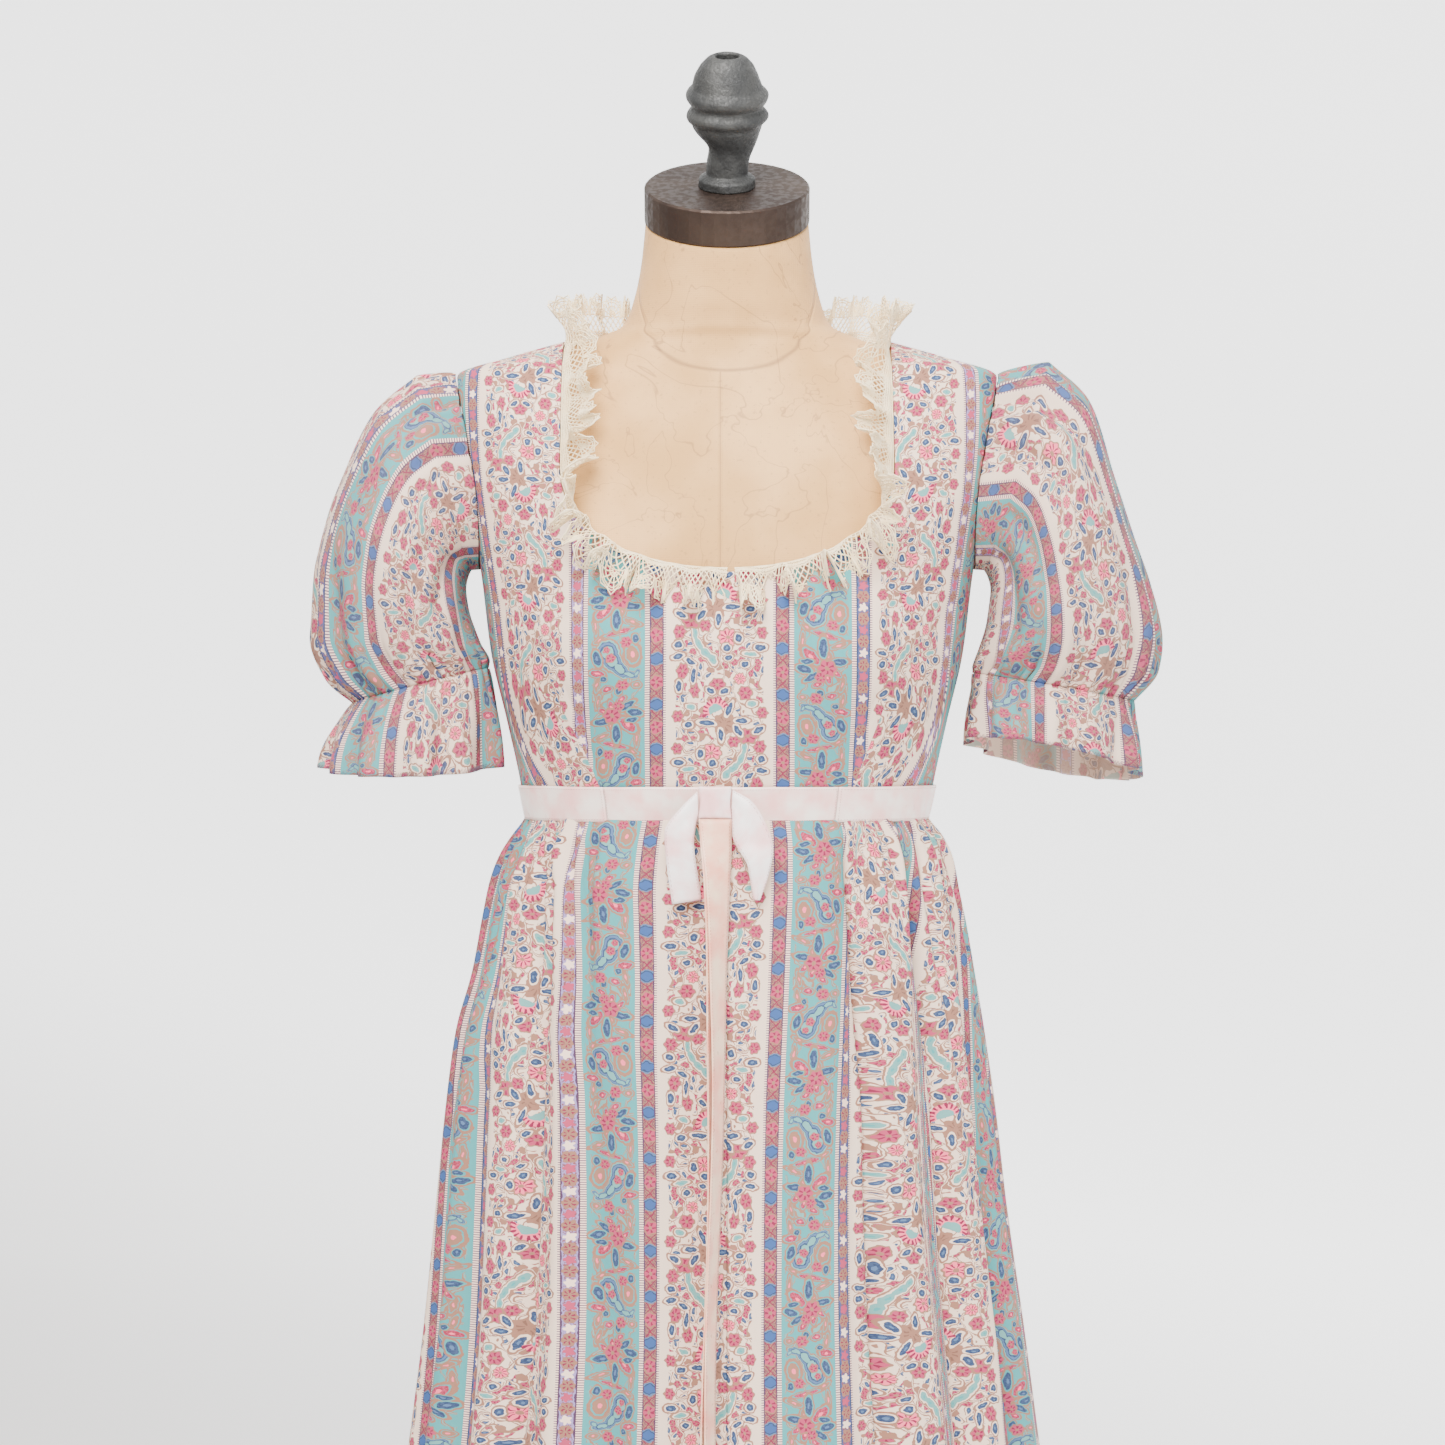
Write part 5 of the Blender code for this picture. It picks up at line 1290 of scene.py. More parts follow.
FOLD_ROWS = (
    ("front", 1, 0.00, 0.45, 0.60, 0.0070, 0.0095, 0.0150),
    ("front", 1, 2.85, 2.70, 2.95, 0.0060, 0.0125, 0.0200),
    ("front", 1, 5.00, 5.05, 5.05, 0.0050, 0.0100, 0.0200),
    ("front", -1, 0.90, 0.45, 0.20, 0.0035, 0.0070, 0.0150),
    ("front", -1, 3.00, 1.85, 2.05, 0.0055, 0.0095, 0.0200),
    ("front", -1, 4.90, 4.10, 3.90, 0.0045, 0.0085, 0.0230),
    ("front", -1, 6.00, 5.90, 5.80, 0.0040, 0.0070, 0.0180),
    ("back", 1, 0.00, 0.20, 0.40, 0.0040, 0.0090, 0.0180),
    ("back", 1, 2.10, 2.20, 2.40, 0.0050, 0.0110, 0.0220),
    ("back", 1, 4.20, 4.10, 4.30, 0.0040, 0.0090, 0.0200),
    ("back", 1, 6.00, 6.00, 6.10, 0.0055, 0.0120, 0.0240),
    ("back", -1, 0.00, 0.00, 0.10, 0.0050, 0.0100, 0.0200),
    ("back", -1, 1.80, 1.90, 2.10, 0.0040, 0.0080, 0.0220),
    ("back", -1, 3.90, 4.00, 4.10, 0.0055, 0.0120, 0.0220),
    ("back", -1, 6.10, 6.00, 6.00, 0.0045, 0.0090, 0.0200),
)
FOLD_HEIGHTS = (HEM_Z, 0.72, 0.95, SKIRT_TOP_Z)
DEPTH_HEIGHTS = (HEM_Z, 0.93, 1.09, SKIRT_TOP_Z)
FOLD_HALF_WIDTH = 0.97
FRONT_GATHERS = 7
BACK_GATHERS = 7
GATHERS_PER_FLAT = 2.4


def fold_sink(panel, side, gather, z):
    """How far the long folds take the cloth in, at this place in gathers from the flat middle."""
    sink = np.zeros(np.shape(z))
    for fold in matching(FOLD_COLUMNS, FOLD_ROWS, panel=panel, side=side):
        places = (fold["at_hem"], fold["at_hem"], fold["at_hip"], fold["at_top"])
        depths = (fold["depth_hem"], fold["depth_hip"], fold["depth_top"], SEAM_FOLD_DEPTH)
        away = np.abs(gather - monotone_curve(FOLD_HEIGHTS, places, z)) / FOLD_HALF_WIDTH
        lobe = np.where(away < 1, np.cos(math.pi / 2 * np.clip(away, 0, 1)) ** 2, 0)
        sink = sink + monotone_curve(DEPTH_HEIGHTS, depths, z) * lobe
    return sink


def gather_depth(z):
    levels = (0.92, 1.0, 1.06, 1.105, SKIRT_TOP_Z)
    return monotone_curve(levels, (0.0, 0.0010, 0.0030, 0.0042, 0.0006), z)


def flat_edge(panel, z):
    """Azimuth where the flat middle of a skirt panel ends and its gathers begin, from that middle."""
    if panel == "front":
        return np.radians(monotone_curve((HEM_Z, 0.50, 0.87, SKIRT_TOP_Z), (25.0, 26.0, 27.5, 33.0), z))
    return np.radians(monotone_curve((HEM_Z, 0.87, SKIRT_TOP_Z), (9.0, 8.5, 8.0), z))


HOLLOW_PLACE = 0.20
HOLLOW_WIDTH = 0.13


def skirt_point(panel, side, place, z):
    """Inner face of the skirt. place runs 0 to 1 over the flat middle, then by gathers to the side."""
    place, z = matched(place, z)
    gathers = FRONT_GATHERS if panel == "front" else BACK_GATHERS
    flat = np.clip(place, 0, 1)
    gather = np.clip(place - 1, 0, gathers)
    edge = flat_edge(panel, z)
    turned = edge * flat + (math.pi / 2 - edge) * gather / gathers
    azimuth = side * (turned if panel == "front" else math.pi - turned)
    section = read_section(SKIRT_COLUMNS, SKIRT_ROWS, z)
    power = 2 / section["exponent"]
    ahead = np.cos(azimuth)
    width = section["right"] if side > 0 else section["left"]
    depth = np.where(ahead > 0, section["front"], section["back"])
    x = width * signed_power(np.sin(azimuth), power)
    y = -depth * signed_power(ahead, power)
    sink = gather_depth(z) * (1 - np.cos(2 * math.pi * gather)) / 2 * smoothstep((place - 1) * 4)
    fold_place = np.where(place < 1, (flat - 1) * GATHERS_PER_FLAT, gather)
    sink = sink + fold_sink(panel, side, fold_place, z)
    if panel == "front" and side < 0:
        trough = monotone_curve((HEM_Z, 0.70, 1.0, SKIRT_TOP_Z), (0.006, 0.006, 0.004, 0.0), z)
        sink = sink + trough * bell(place - HOLLOW_PLACE, HOLLOW_WIDTH)
    reach = np.hypot(x, y)
    return np.stack([x * (1 - sink / reach), y * (1 - sink / reach), z], axis=-1)


# %% Sharper creases, by place in gathers at four heights
SEAM_CLOSE = 0.0013
CREASE_DEPTH = 1.7
GATHER_DEPTH = 1.6
CREASE_FADE = 0.14
CREASE_HELD_Z = 1.128
CREASE_HELD_OVER = 0.030
CREASE_HEIGHTS = (0.72, 0.93, 1.08, SKIRT_TOP_Z)
CREASE_COLUMNS = (
    "panel", "side", "at_low", "at_hip", "at_rise", "at_top", "foot_z", "half_width", "depth",
)
CREASE_ROWS = (
    ("front", -1, 2.30, 2.06, 1.90, 2.90, 0.10, 0.16, 0.0040),
    ("front", -1, 2.55, 2.40, 2.50, 3.80, 0.86, 0.11, 0.0018),
    ("front", -1, 5.60, 5.30, 4.98, 4.62, 0.60, 0.14, 0.0036),
    ("front", -1, 0.90, 0.98, 1.05, 1.60, 0.93, 0.12, 0.0021),
    ("front", -1, 0.30, 0.40, 0.62, 1.16, 0.98, 0.10, 0.0016),
    ("front", -1, 3.60, 3.50, 3.30, 3.40, 0.95, 0.11, 0.0016),
    ("front", -1, 6.60, 6.40, 6.10, 5.60, 0.84, 0.12, 0.0022),
    ("front", -1, 4.50, 4.50, 4.30, 4.20, 1.02, 0.10, 0.0015),
    ("front", 1, 0.93, 0.80, 0.12, 0.00, 0.30, 0.13, 0.0050),
    ("front", 1, 3.30, 3.20, 2.82, 2.66, 0.10, 0.17, 0.0062),
    ("front", 1, 2.10, 2.00, 1.90, 1.70, 0.99, 0.11, 0.0014),
    ("front", 1, 3.90, 3.80, 3.50, 3.55, 0.88, 0.12, 0.0024),
    ("front", 1, 5.10, 4.95, 4.70, 4.60, 0.50, 0.14, 0.0032),
    ("front", 1, 6.20, 6.10, 5.90, 5.70, 0.80, 0.12, 0.0022),
    ("front", 1, 1.30, 1.20, 1.05, 0.90, 1.00, 0.10, 0.0013),
    ("front", 1, 6.75, 6.70, 6.65, 6.60, 0.95, 0.11, 0.0017),
    ("back", 1, 0.60, 0.55, 0.45, 0.40, 0.70, 0.15, 0.0030),
    ("back", 1, 1.50, 1.55, 1.60, 1.45, 0.95, 0.12, 0.0020),
    ("back", 1, 2.60, 2.50, 2.45, 2.50, 0.30, 0.17, 0.0045),
    ("back", 1, 3.50, 3.45, 3.55, 3.60, 0.90, 0.12, 0.0022),
    ("back", 1, 4.50, 4.60, 4.55, 4.45, 0.45, 0.15, 0.0038),
    ("back", 1, 5.60, 5.50, 5.45, 5.55, 0.92, 0.12, 0.0020),
    ("back", 1, 6.40, 6.45, 6.50, 6.50, 0.60, 0.15, 0.0034),
    ("back", 1, 3.00, 3.05, 3.05, 2.95, 1.03, 0.10, 0.0014),
    ("back", -1, 0.40, 0.45, 0.55, 0.50, 0.80, 0.14, 0.0028),
    ("back", -1, 1.40, 1.35, 1.45, 1.60, 0.35, 0.16, 0.0042),
    ("back", -1, 2.40, 2.45, 2.55, 2.45, 0.96, 0.12, 0.0018),
    ("back", -1, 3.40, 3.50, 3.45, 3.40, 0.55, 0.15, 0.0036),
    ("back", -1, 4.60, 4.50, 4.45, 4.60, 0.88, 0.12, 0.0022),
    ("back", -1, 5.40, 5.45, 5.55, 5.45, 0.25, 0.17, 0.0046),
    ("back", -1, 6.50, 6.45, 6.40, 6.55, 0.94, 0.12, 0.0020),
    ("back", -1, 1.95, 2.00, 2.05, 1.90, 1.02, 0.10, 0.0014),
)


def crease_sink(panel, side, gather, z):
    """How far the sharper creases take the cloth in; each fades at its foot and in the seam."""
    sink = np.zeros(np.shape(z))
    for crease in matching(CREASE_COLUMNS, CREASE_ROWS, panel=panel, side=side):
        places = (crease["at_low"], crease["at_hip"], crease["at_rise"], crease["at_top"])
        away = (gather - monotone_curve(CREASE_HEIGHTS, places, z)) / crease["half_width"]
        held = 0.25 + 0.75 * smoothstep((CREASE_HELD_Z - z) / CREASE_HELD_OVER)
        live = smoothstep((z - crease["foot_z"]) / CREASE_FADE) * held
        sink = sink + CREASE_DEPTH * crease["depth"] * live * np.exp(-(away**2))
    return sink


def fine_gathers(side, gather, z):
    """Small uneven gathers that fan out of the seam and die away below it."""
    drift = gather + 0.16 * np.sin(2.3 * gather + 1.7 * side) + 0.10 * np.sin(5.1 * gather)
    wave = 0.5 - 0.5 * np.cos(4 * math.pi * drift)
    strength = 0.55 + 0.45 * np.sin(3.7 * gather + side)
    fade = monotone_curve((0.99, 1.06, 1.105, SKIRT_TOP_Z), (0.0, 0.0007, 0.0017, 0.0007), z)
    return GATHER_DEPTH * fade * wave * strength * smoothstep(gather / 0.5)


def skirt_cloth(panel, side, place, z):
    """The CAD skirt's inner face, with the creases that only the fine mesh can hold."""
    points = skirt_point(panel, side, place, z)
    gather = np.where(place < 1, (place - 1) * GATHERS_PER_FLAT, place - 1)
    sink = crease_sink(panel, side, gather, z) + fine_gathers(side, gather, z)
    reach = np.hypot(points[..., 0], points[..., 1])
    points[..., :2] *= (1 - sink / reach)[..., None]
    points[..., 2] += SEAM_CLOSE * smoothstep((z - SKIRT_TOP_Z + 0.006) / 0.006)
    return points


print("creases placed on the skirt:", len(CREASE_ROWS))

# %% Where the front's cloth lay on the bolt
PRINT_LEVELS = (HEM_Z, 0.715, 0.95, SKIRT_TOP_Z)
PRINT_ROWS = {
    1: (
        ((0.0, 2.4, 2.8, 3.3, 4.5, 5.0, 7.0), (0.098, 0.171, 0.185, 0.240, 0.307, 0.320, 0.395)),
        ((0.0, 0.2, 2.6, 2.9, 3.05, 4.0, 4.5, 7.0),
         (0.0975, 0.1025, 0.171, 0.183, 0.250, 0.307, 0.320, 0.385)),
        ((0.0, 0.25, 2.65, 2.85, 4.8, 5.3, 6.1, 7.0),
         (0.0945, 0.101, 0.171, 0.236, 0.3075, 0.321, 0.360, 0.385)),
        ((0.0, 0.1, 1.9, 2.6, 3.05, 3.75, 7.0), (0.088, 0.1015, 0.171, 0.1845, 0.2245, 0.2375, 0.325)),
    ),
    -1: (
        ((0.0, 0.6, 1.1, 3.5, 4.2, 6.0, 7.0), (0.074, 0.088, 0.104, 0.171, 0.190, 0.236, 0.300)),
        ((0.0, 0.56, 0.98, 1.08, 3.4, 3.9, 4.1, 5.9, 7.0),
         (0.0735, 0.087, 0.0995, 0.1025, 0.171, 0.183, 0.1865, 0.224, 0.262)),
        ((0.0, 0.57, 1.2, 3.3, 4.1, 4.35, 6.4, 7.0),
         (0.0745, 0.087, 0.101, 0.1705, 0.183, 0.186, 0.224, 0.240)),
        ((0.0, 1.0, 1.1, 1.5, 1.75, 4.5, 4.75, 7.0),
         (0.0715, 0.0875, 0.090, 0.0995, 0.1025, 0.171, 0.184, 0.235)),
    ),
}
WHITE_MIDDLE_X = (-0.0126, -0.0126, -0.0107, -0.0066)
SKIRT_SLIDE = 0.0466


def column_run(points, start=0.0):
    """Mean length along a grid's columns, from its first row."""
    steps = np.linalg.norm(np.diff(points, axis=0), axis=-1).mean(axis=1)
    return start + np.concatenate([[0], np.cumsum(steps)])


def drop_from_seam(points):
    """The same for a grid whose first row is the hem, from the seam at its last."""
    return column_run(points[::-1])[::-1]


def level_share(z):
    """Between which two levels of the print a height lies, and how far."""
    levels = np.array(PRINT_LEVELS)
    low = np.clip(np.searchsorted(levels, z, side="right") - 1, 0, len(levels) - 2)
    return low, np.clip((z - levels[low]) / (levels[low + 1] - levels[low]), 0, 1)


def front_skirt_across(side, place, z):
    """How far across the flat cloth a place lies from the middle white stripe, in metres."""
    low, share = level_share(z)
    gather = np.clip(place - 1, 0, FRONT_GATHERS)
    tables = [monotone_curve(*rows, gather) for rows in PRINT_ROWS[side]]
    reached = np.choose(low, tables) * (1 - share) + np.choose(low + 1, tables) * share
    points = skirt_point("front", side, np.clip(place, 0, 1), z)
    run = np.linalg.norm(np.diff(points, axis=1), axis=-1)
    run = np.concatenate([np.zeros((len(points), 1)), np.cumsum(run, axis=1)], axis=1)
    middle = np.interp(z[:, :1], PRINT_LEVELS, WHITE_MIDDLE_X) * side
    flat_run = (run - middle) / (run[:, -1:] - middle)
    first = np.argmax(place[0] >= 1)
    return np.where(place < 1, flat_run * reached[:, first:first + 1], reached)


# %% Sew the front of the skirt
SKIRT_ROW_Z = SKIRT_TOP_Z - (SKIRT_TOP_Z - HEM_Z) * np.linspace(1, 0, 118) ** 1.5


def skirt_columns(gathers, flats, fine=14):
    flat = np.linspace(0, 1, flats, endpoint=False)
    return np.concatenate([flat, 1 + np.arange(gathers * fine + 1) / fine])


def build_skirt_front():
    place, z = np.meshgrid(skirt_columns(FRONT_GATHERS, 26), SKIRT_ROW_Z)
    patches = []
    for side in (-1, 1):
        points = skirt_cloth("front", side, place, z)
        along = SEAM_Z + SKIRT_SLIDE - drop_from_seam(points)[:, None]
        across = side * front_skirt_across(side, place, z)
        flat = np.stack([across, np.broadcast_to(along, z.shape)], axis=-1)
        points[:, -1, 1] -= SEAM_GAP / 2
        patches.append(facing_out(points, flat, (0.0, 0.0, 0.6)))
    return cut_cloth("skirt_front_cloth", patches, printed, CLOTH)


skirt_front = build_skirt_front()
print("skirt front area:", round(cloth_area(skirt_front), 4))

# %% Sew the two backs of the skirt
ZIP_BOTTOM_Z = 0.986
BACK_CUT_WIDTH = (0.420, 0.375, 0.355, 0.335)
BACK_SQUEEZE = (0.10, 0.35, 0.55, 0.62)


def back_skirt_across(place, z):
    """Most of the gathered cloth lies in the valleys, so the print crowds there."""
    width = monotone_curve(PRINT_LEVELS, BACK_CUT_WIDTH, z)
    squeeze = monotone_curve(PRINT_LEVELS, BACK_SQUEEZE, z)
    crowded = place - squeeze * np.sin(2 * math.pi * (place - 1)) / (2 * math.pi) * (place > 1)
    return width * crowded / (1 + BACK_GATHERS)


def build_skirt_back(side):
    place, z = np.meshgrid(skirt_columns(BACK_GATHERS, 10), SKIRT_ROW_Z)
    points = skirt_cloth("back", side, place, z)
    along = SEAM_Z + SKIRT_SLIDE - drop_from_seam(points)[:, None]
    across = BACK_SHIFT - side * back_skirt_across(place, z)
    flat = np.stack([across, np.broadcast_to(along, z.shape)], axis=-1)
    beside_zip = z > ZIP_BOTTOM_Z - 0.003
    edge = SEAM_GAP / 2 + np.where(beside_zip, ZIP_HALF_WIDTH + SEAM_GAP / 2, 0.0)
    points[..., 0] += side * edge * np.clip(1 - place, 0, 1)
    points[:, -1, 1] += SEAM_GAP / 2
    patch = facing_out(points, flat, (0.0, 0.0, 0.6))
    return cut_cloth("skirt_back_cloth_" + SIDE_WORD[side], [patch], printed, CLOTH)


skirt_backs = {side: build_skirt_back(side) for side in (-1, 1)}
print("skirt back area:", round(cloth_area(skirt_backs[1]), 4))

# %% [markdown]
# ## Puff sleeves and frills
#
# A puff sleeve is a wide piece gathered twice: into the armhole, and on elastic
# above the elbow, where the last of it hangs as a frill. It is a tube round a
# table of rings. The grid is left open under the arm, where its seam is, so
# the print runs straight round the rest.

# %% Rings of the sleeves
SLEEVE_COLUMNS = ("along", "outer_x", "outer_z", "inner_x", "inner_z", "front", "back")
LEFT_SLEEVE_ROWS = (
    (0.10, 0.2130, 1.4325, 0.1775, 1.3040, 0.054, 0.055),
    (0.24, 0.2410, 1.4095, 0.1800, 1.2985, 0.065, 0.064),
    (0.40, 0.2610, 1.3735, 0.1815, 1.2900, 0.070, 0.069),
    (0.56, 0.2755, 1.3355, 0.1800, 1.2780, 0.071, 0.069),
    (0.71, 0.2835, 1.2960, 0.1765, 1.2650, 0.067, 0.065),
    (0.84, 0.2840, 1.2580, 0.1720, 1.2510, 0.059, 0.057),
    (0.94, 0.2720, 1.2290, 0.1680, 1.2420, 0.048, 0.047),
    (1.00, 0.2560, 1.2125, 0.1665, 1.2355, 0.040, 0.041),
)
RIGHT_SLEEVE_ROWS = (
    (0.10, 0.2210, 1.4420, 0.1785, 1.3040, 0.055, 0.056),
    (0.24, 0.2480, 1.4170, 0.1815, 1.2985, 0.066, 0.066),
    (0.40, 0.2650, 1.3700, 0.1835, 1.2895, 0.072, 0.070),
    (0.56, 0.2785, 1.3290, 0.1820, 1.2760, 0.073, 0.071),
    (0.71, 0.2900, 1.2940, 0.1795, 1.2610, 0.070, 0.068),
    (0.84, 0.2965, 1.2590, 0.1760, 1.2475, 0.063, 0.060),
    (0.94, 0.2925, 1.2340, 0.1735, 1.2380, 0.053, 0.050),
    (1.00, 0.2790, 1.2140, 0.1715, 1.2320, 0.044, 0.043),
)
SLEEVE_WAVES = 11
FRILL_COLUMNS = ("side", "outer_x", "outer_z", "inner_x", "inner_z", "front", "back", "front_lift")
FRILL_ROWS = (
    (-1, 0.2760, 1.1665, 0.1580, 1.1690, 0.056, 0.054, -0.0070),
    (1, 0.2830, 1.1600, 0.1680, 1.1850, 0.058, 0.055, 0.0085),
)
FRILL_WAVE_DEPTH = 0.0050
FRILL_CLOTH = 0.0009
CLOTH_WALL = 0.0014
SLEEVE_AXIS_Y = 0.004
SLEEVE_ON_BOLT = 1.6


def tilted_ring(side, ring, turn):
    """Points round the arm on a ring given by its outer, inner, front and back reach."""
    middle_x = (ring["outer_x"] + ring["inner_x"]) / 2
    middle_z = (ring["outer_z"] + ring["inner_z"]) / 2
    reach_x = (ring["outer_x"] - ring["inner_x"]) / 2
    reach_z = (ring["outer_z"] - ring["inner_z"]) / 2
    swing = np.sin(turn)
    depth = np.where(swing < 0, ring["front"], ring["back"])
    x = side * (middle_x + reach_x * np.cos(turn))
    y = SLEEVE_AXIS_Y + depth * swing
    z = middle_z + reach_z * np.cos(turn)
    return np.stack([x, y, z], axis=-1)


def sleeve_ring(side, rows, along, turn):
    """Smooth ring of a puff sleeve, before its gathers."""
    return tilted_ring(side, read_section(SLEEVE_COLUMNS, rows, along), turn)


def sleeve_point(side, rows, along, turn):
    """Inner face of a puff sleeve: along 0 is the armhole, 1 is the elastic."""
    along, turn = matched(along, turn)
    beyond = sleeve_ring(side, rows, np.maximum(along, 0.10), turn)
    seam = armhole(turn, side, CLOTH_WALL + 0.0018)
    start = smoothstep(along / 0.10)[..., None]
    smooth = seam * (1 - start) + beyond * start
    centre = sleeve_ring(side, rows, np.maximum(along, 0.10), np.zeros_like(turn))
    centre = (centre + sleeve_ring(side, rows, np.maximum(along, 0.10), turn * 0 + math.pi)) / 2
    wave = np.cos(SLEEVE_WAVES * turn)
    cap = monotone_curve((0.0, 0.08, 0.22, 0.45), (0.0, 0.0030, 0.0026, 0.0), along)
    cap = cap * smoothstep((np.cos(turn) + 0.45) / 0.9)
    cuff = monotone_curve((0.62, 0.86, 0.95, 1.0), (0.0, 0.0028, 0.0034, 0.0010), along)
    away = unit(smooth - centre)
    return smooth + away * (wave * (cap + cuff))[..., None]


def frill_point(side, rows, down, turn):
    """Inner face of a frill: down 0 is the elastic, 1 is the hem."""
    down, turn = matched(down, turn)
    hem = matching(FRILL_COLUMNS, FRILL_ROWS, side=side)[0]
    top = sleeve_point(side, rows, 1.0, turn)
    centre = np.array([side * (hem["outer_x"] + hem["inner_x"]) / 2, SLEEVE_AXIS_Y, 0.0])
    ring = tilted_ring(side, hem, turn)
    ring[..., 2] -= hem["front_lift"] * np.sin(turn)
    away = unit((ring - centre) * np.array([1.0, 1.0, 0.0]))
    flare = np.sin(np.clip(down, 0, 1) * math.pi / 2) ** 0.8
    smooth = top * (1 - flare[..., None]) + ring * flare[..., None]
    smooth[..., 2] = top[..., 2] * (1 - down) + ring[..., 2] * down
    wave = np.cos(SLEEVE_WAVES * turn) * FRILL_WAVE_DEPTH * smoothstep(down)
    return smooth + away * wave[..., None]


# %% Gathers and folds of the sleeves, by turn in degrees
SLEEVE_FOLD_COLUMNS = ("side", "turn_top", "turn_foot", "from_along", "to_along", "half_width", "depth")
SLEEVE_FOLD_ROWS = (
    (-1, -150, -128, 0.12, 0.80, 9, 0.0060), (-1, -118, -100, 0.30, 0.99, 8, 0.0042),
    (-1, -78, -70, 0.52, 1.00, 7, 0.0034), (-1, -45, -52, 0.60, 1.00, 6, 0.0030),
    (-1, -95, -92, 0.05, 0.34, 6, 0.0028), (-1, -62, -60, 0.03, 0.28, 5, 0.0024),
    (-1, -30, -34, 0.03, 0.24, 5, 0.0026), (-1, -14, -18, 0.62, 1.00, 6, 0.0026),
    (-1, 20, 24, 0.60, 1.00, 6, 0.0028), (-1, 55, 60, 0.40, 1.00, 8, 0.0036),
    (-1, 100, 96, 0.35, 1.00, 8, 0.0040), (-1, 145, 128, 0.12, 0.85, 9, 0.0050),
    (1, -150, -132, 0.12, 0.90, 9, 0.0065), (1, -122, -108, 0.06, 0.70, 8, 0.0050),
    (1, -96, -88, 0.40, 1.00, 7, 0.0036), (1, -70, -60, 0.55, 1.00, 6, 0.0032),
    (1, -48, -42, 0.60, 1.00, 6, 0.0030), (1, -84, -80, 0.03, 0.30, 5, 0.0028),
    (1, -55, -52, 0.03, 0.26, 5, 0.0026), (1, -25, -27, 0.03, 0.24, 5, 0.0026),
    (1, -20, -14, 0.62, 1.00, 6, 0.0026), (1, 18, 22, 0.60, 1.00, 6, 0.0028),
    (1, 60, 58, 0.45, 1.00, 8, 0.0036), (1, 104, 98, 0.35, 1.00, 8, 0.0042),
    (1, 148, 130, 0.12, 0.85, 9, 0.0050),
)
RUCHES = 46
RUCHE_DEPTH = 0.0011


def sleeve_sink(side, along, degrees):
    """How far the placed folds take the sleeve in."""
    sink = np.zeros(np.shape(along))
    for fold in matching(SLEEVE_FOLD_COLUMNS, SLEEVE_FOLD_ROWS, side=side):
        share = (along - fold["from_along"]) / (fold["to_along"] - fold["from_along"])
        turn = fold["turn_top"] + (fold["turn_foot"] - fold["turn_top"]) * np.clip(share, 0, 1)
        fade = smoothstep(share / 0.3 + 0.2) * smoothstep((1 - share) / 0.3 + 0.2)
        sink = sink + fold["depth"] * fade * bell(degrees - turn, fold["half_width"])
    return sink


def ruche(turn, strength):
    """Small uneven pleats where the elastic draws the cloth together."""
    return strength * (np.cos(RUCHES * turn + 1.3 * np.sin(3 * turn)) + 0.4 * np.cos(71 * turn + 0.7))


def axis_away(points):
    return unit(points - points.mean(axis=1, keepdims=True))


# %% Cut and sew both sleeves
SLEEVE_ROWS = {-1: LEFT_SLEEVE_ROWS, 1: RIGHT_SLEEVE_ROWS}
SLEEVE_STRIPE = {-1: 0.1365, 1: 0.0850}
STRIPE_PER_TURN = 0.070
SLEEVE_TURNS = np.linspace(-math.pi, math.pi, 265)
CAP_ROWS = np.linspace(0, 0.2, 22)
PUFF_ROWS = np.linspace(0.2, 0.84, 50)
CUFF_ROWS = np.linspace(0.84, 1, 26)
SLEEVE_ALONG = np.concatenate([CAP_ROWS, PUFF_ROWS[1:], CUFF_ROWS[1:]])


def sleeve_flat(side, turn, run):
    """Where the grid of a sleeve or a frill lay on the bolt."""
    across = SLEEVE_STRIPE[side] + turn * STRIPE_PER_TURN
    return np.stack(np.broadcast_arrays(across, SLEEVE_ON_BOLT - run[:, None]), axis=-1)


def sleeve_cloth(side):
    turn, along = np.meshgrid(SLEEVE_TURNS, SLEEVE_ALONG)
    points = sleeve_point(side, SLEEVE_ROWS[side], along, turn)
    elastic = monotone_curve((0.80, 0.93, 0.975, 1.0), (0.0, 1.0, 1.0, 0.8), along)
    sink = sleeve_sink(side, along, np.degrees(turn)) * smoothstep((1.02 - along) / 0.08)
    cap = monotone_curve((0.0, 0.03, 0.12, 0.30), (0.2, 1.0, 0.8, 0.0), along)
    cap = cap * smoothstep((np.cos(turn) + 0.5) / 0.8)
    pleats = np.cos(33 * turn + 1.5 * np.sin(2 * turn))
    fullness = ruche(turn, RUCHE_DEPTH * elastic) + RUCHE_DEPTH * cap * pleats
    points = points + axis_away(points) * (fullness - sink)[..., None]
    run = column_run(points)
    return points, sleeve_flat(side, turn, run), run[-1]


def frill_cloth(side, start):
    turn, down = np.meshgrid(SLEEVE_TURNS, np.linspace(0, 1, 34))
    points = frill_point(side, SLEEVE_ROWS[side], down, turn)
    last_rows = np.array([[0.95], [1.0]])
    below = sleeve_point(side, SLEEVE_ROWS[side], last_rows, SLEEVE_TURNS[None]).mean(axis=1)
    along = unit(below[1] - below[0])
    points = points + along * SEAM_GAP * (1 - down[..., None]) * 3
    strength = RUCHE_DEPTH * (1 - smoothstep(down / 0.5)) * 0.8
    second = 0.0016 * smoothstep(down / 0.6) * np.cos(17 * turn + 2.0 * side + 1.2 * down)
    points = points + axis_away(points) * (ruche(turn, strength) + second)[..., None]
    run = column_run(points, start)
    return points, sleeve_flat(side, turn, run)


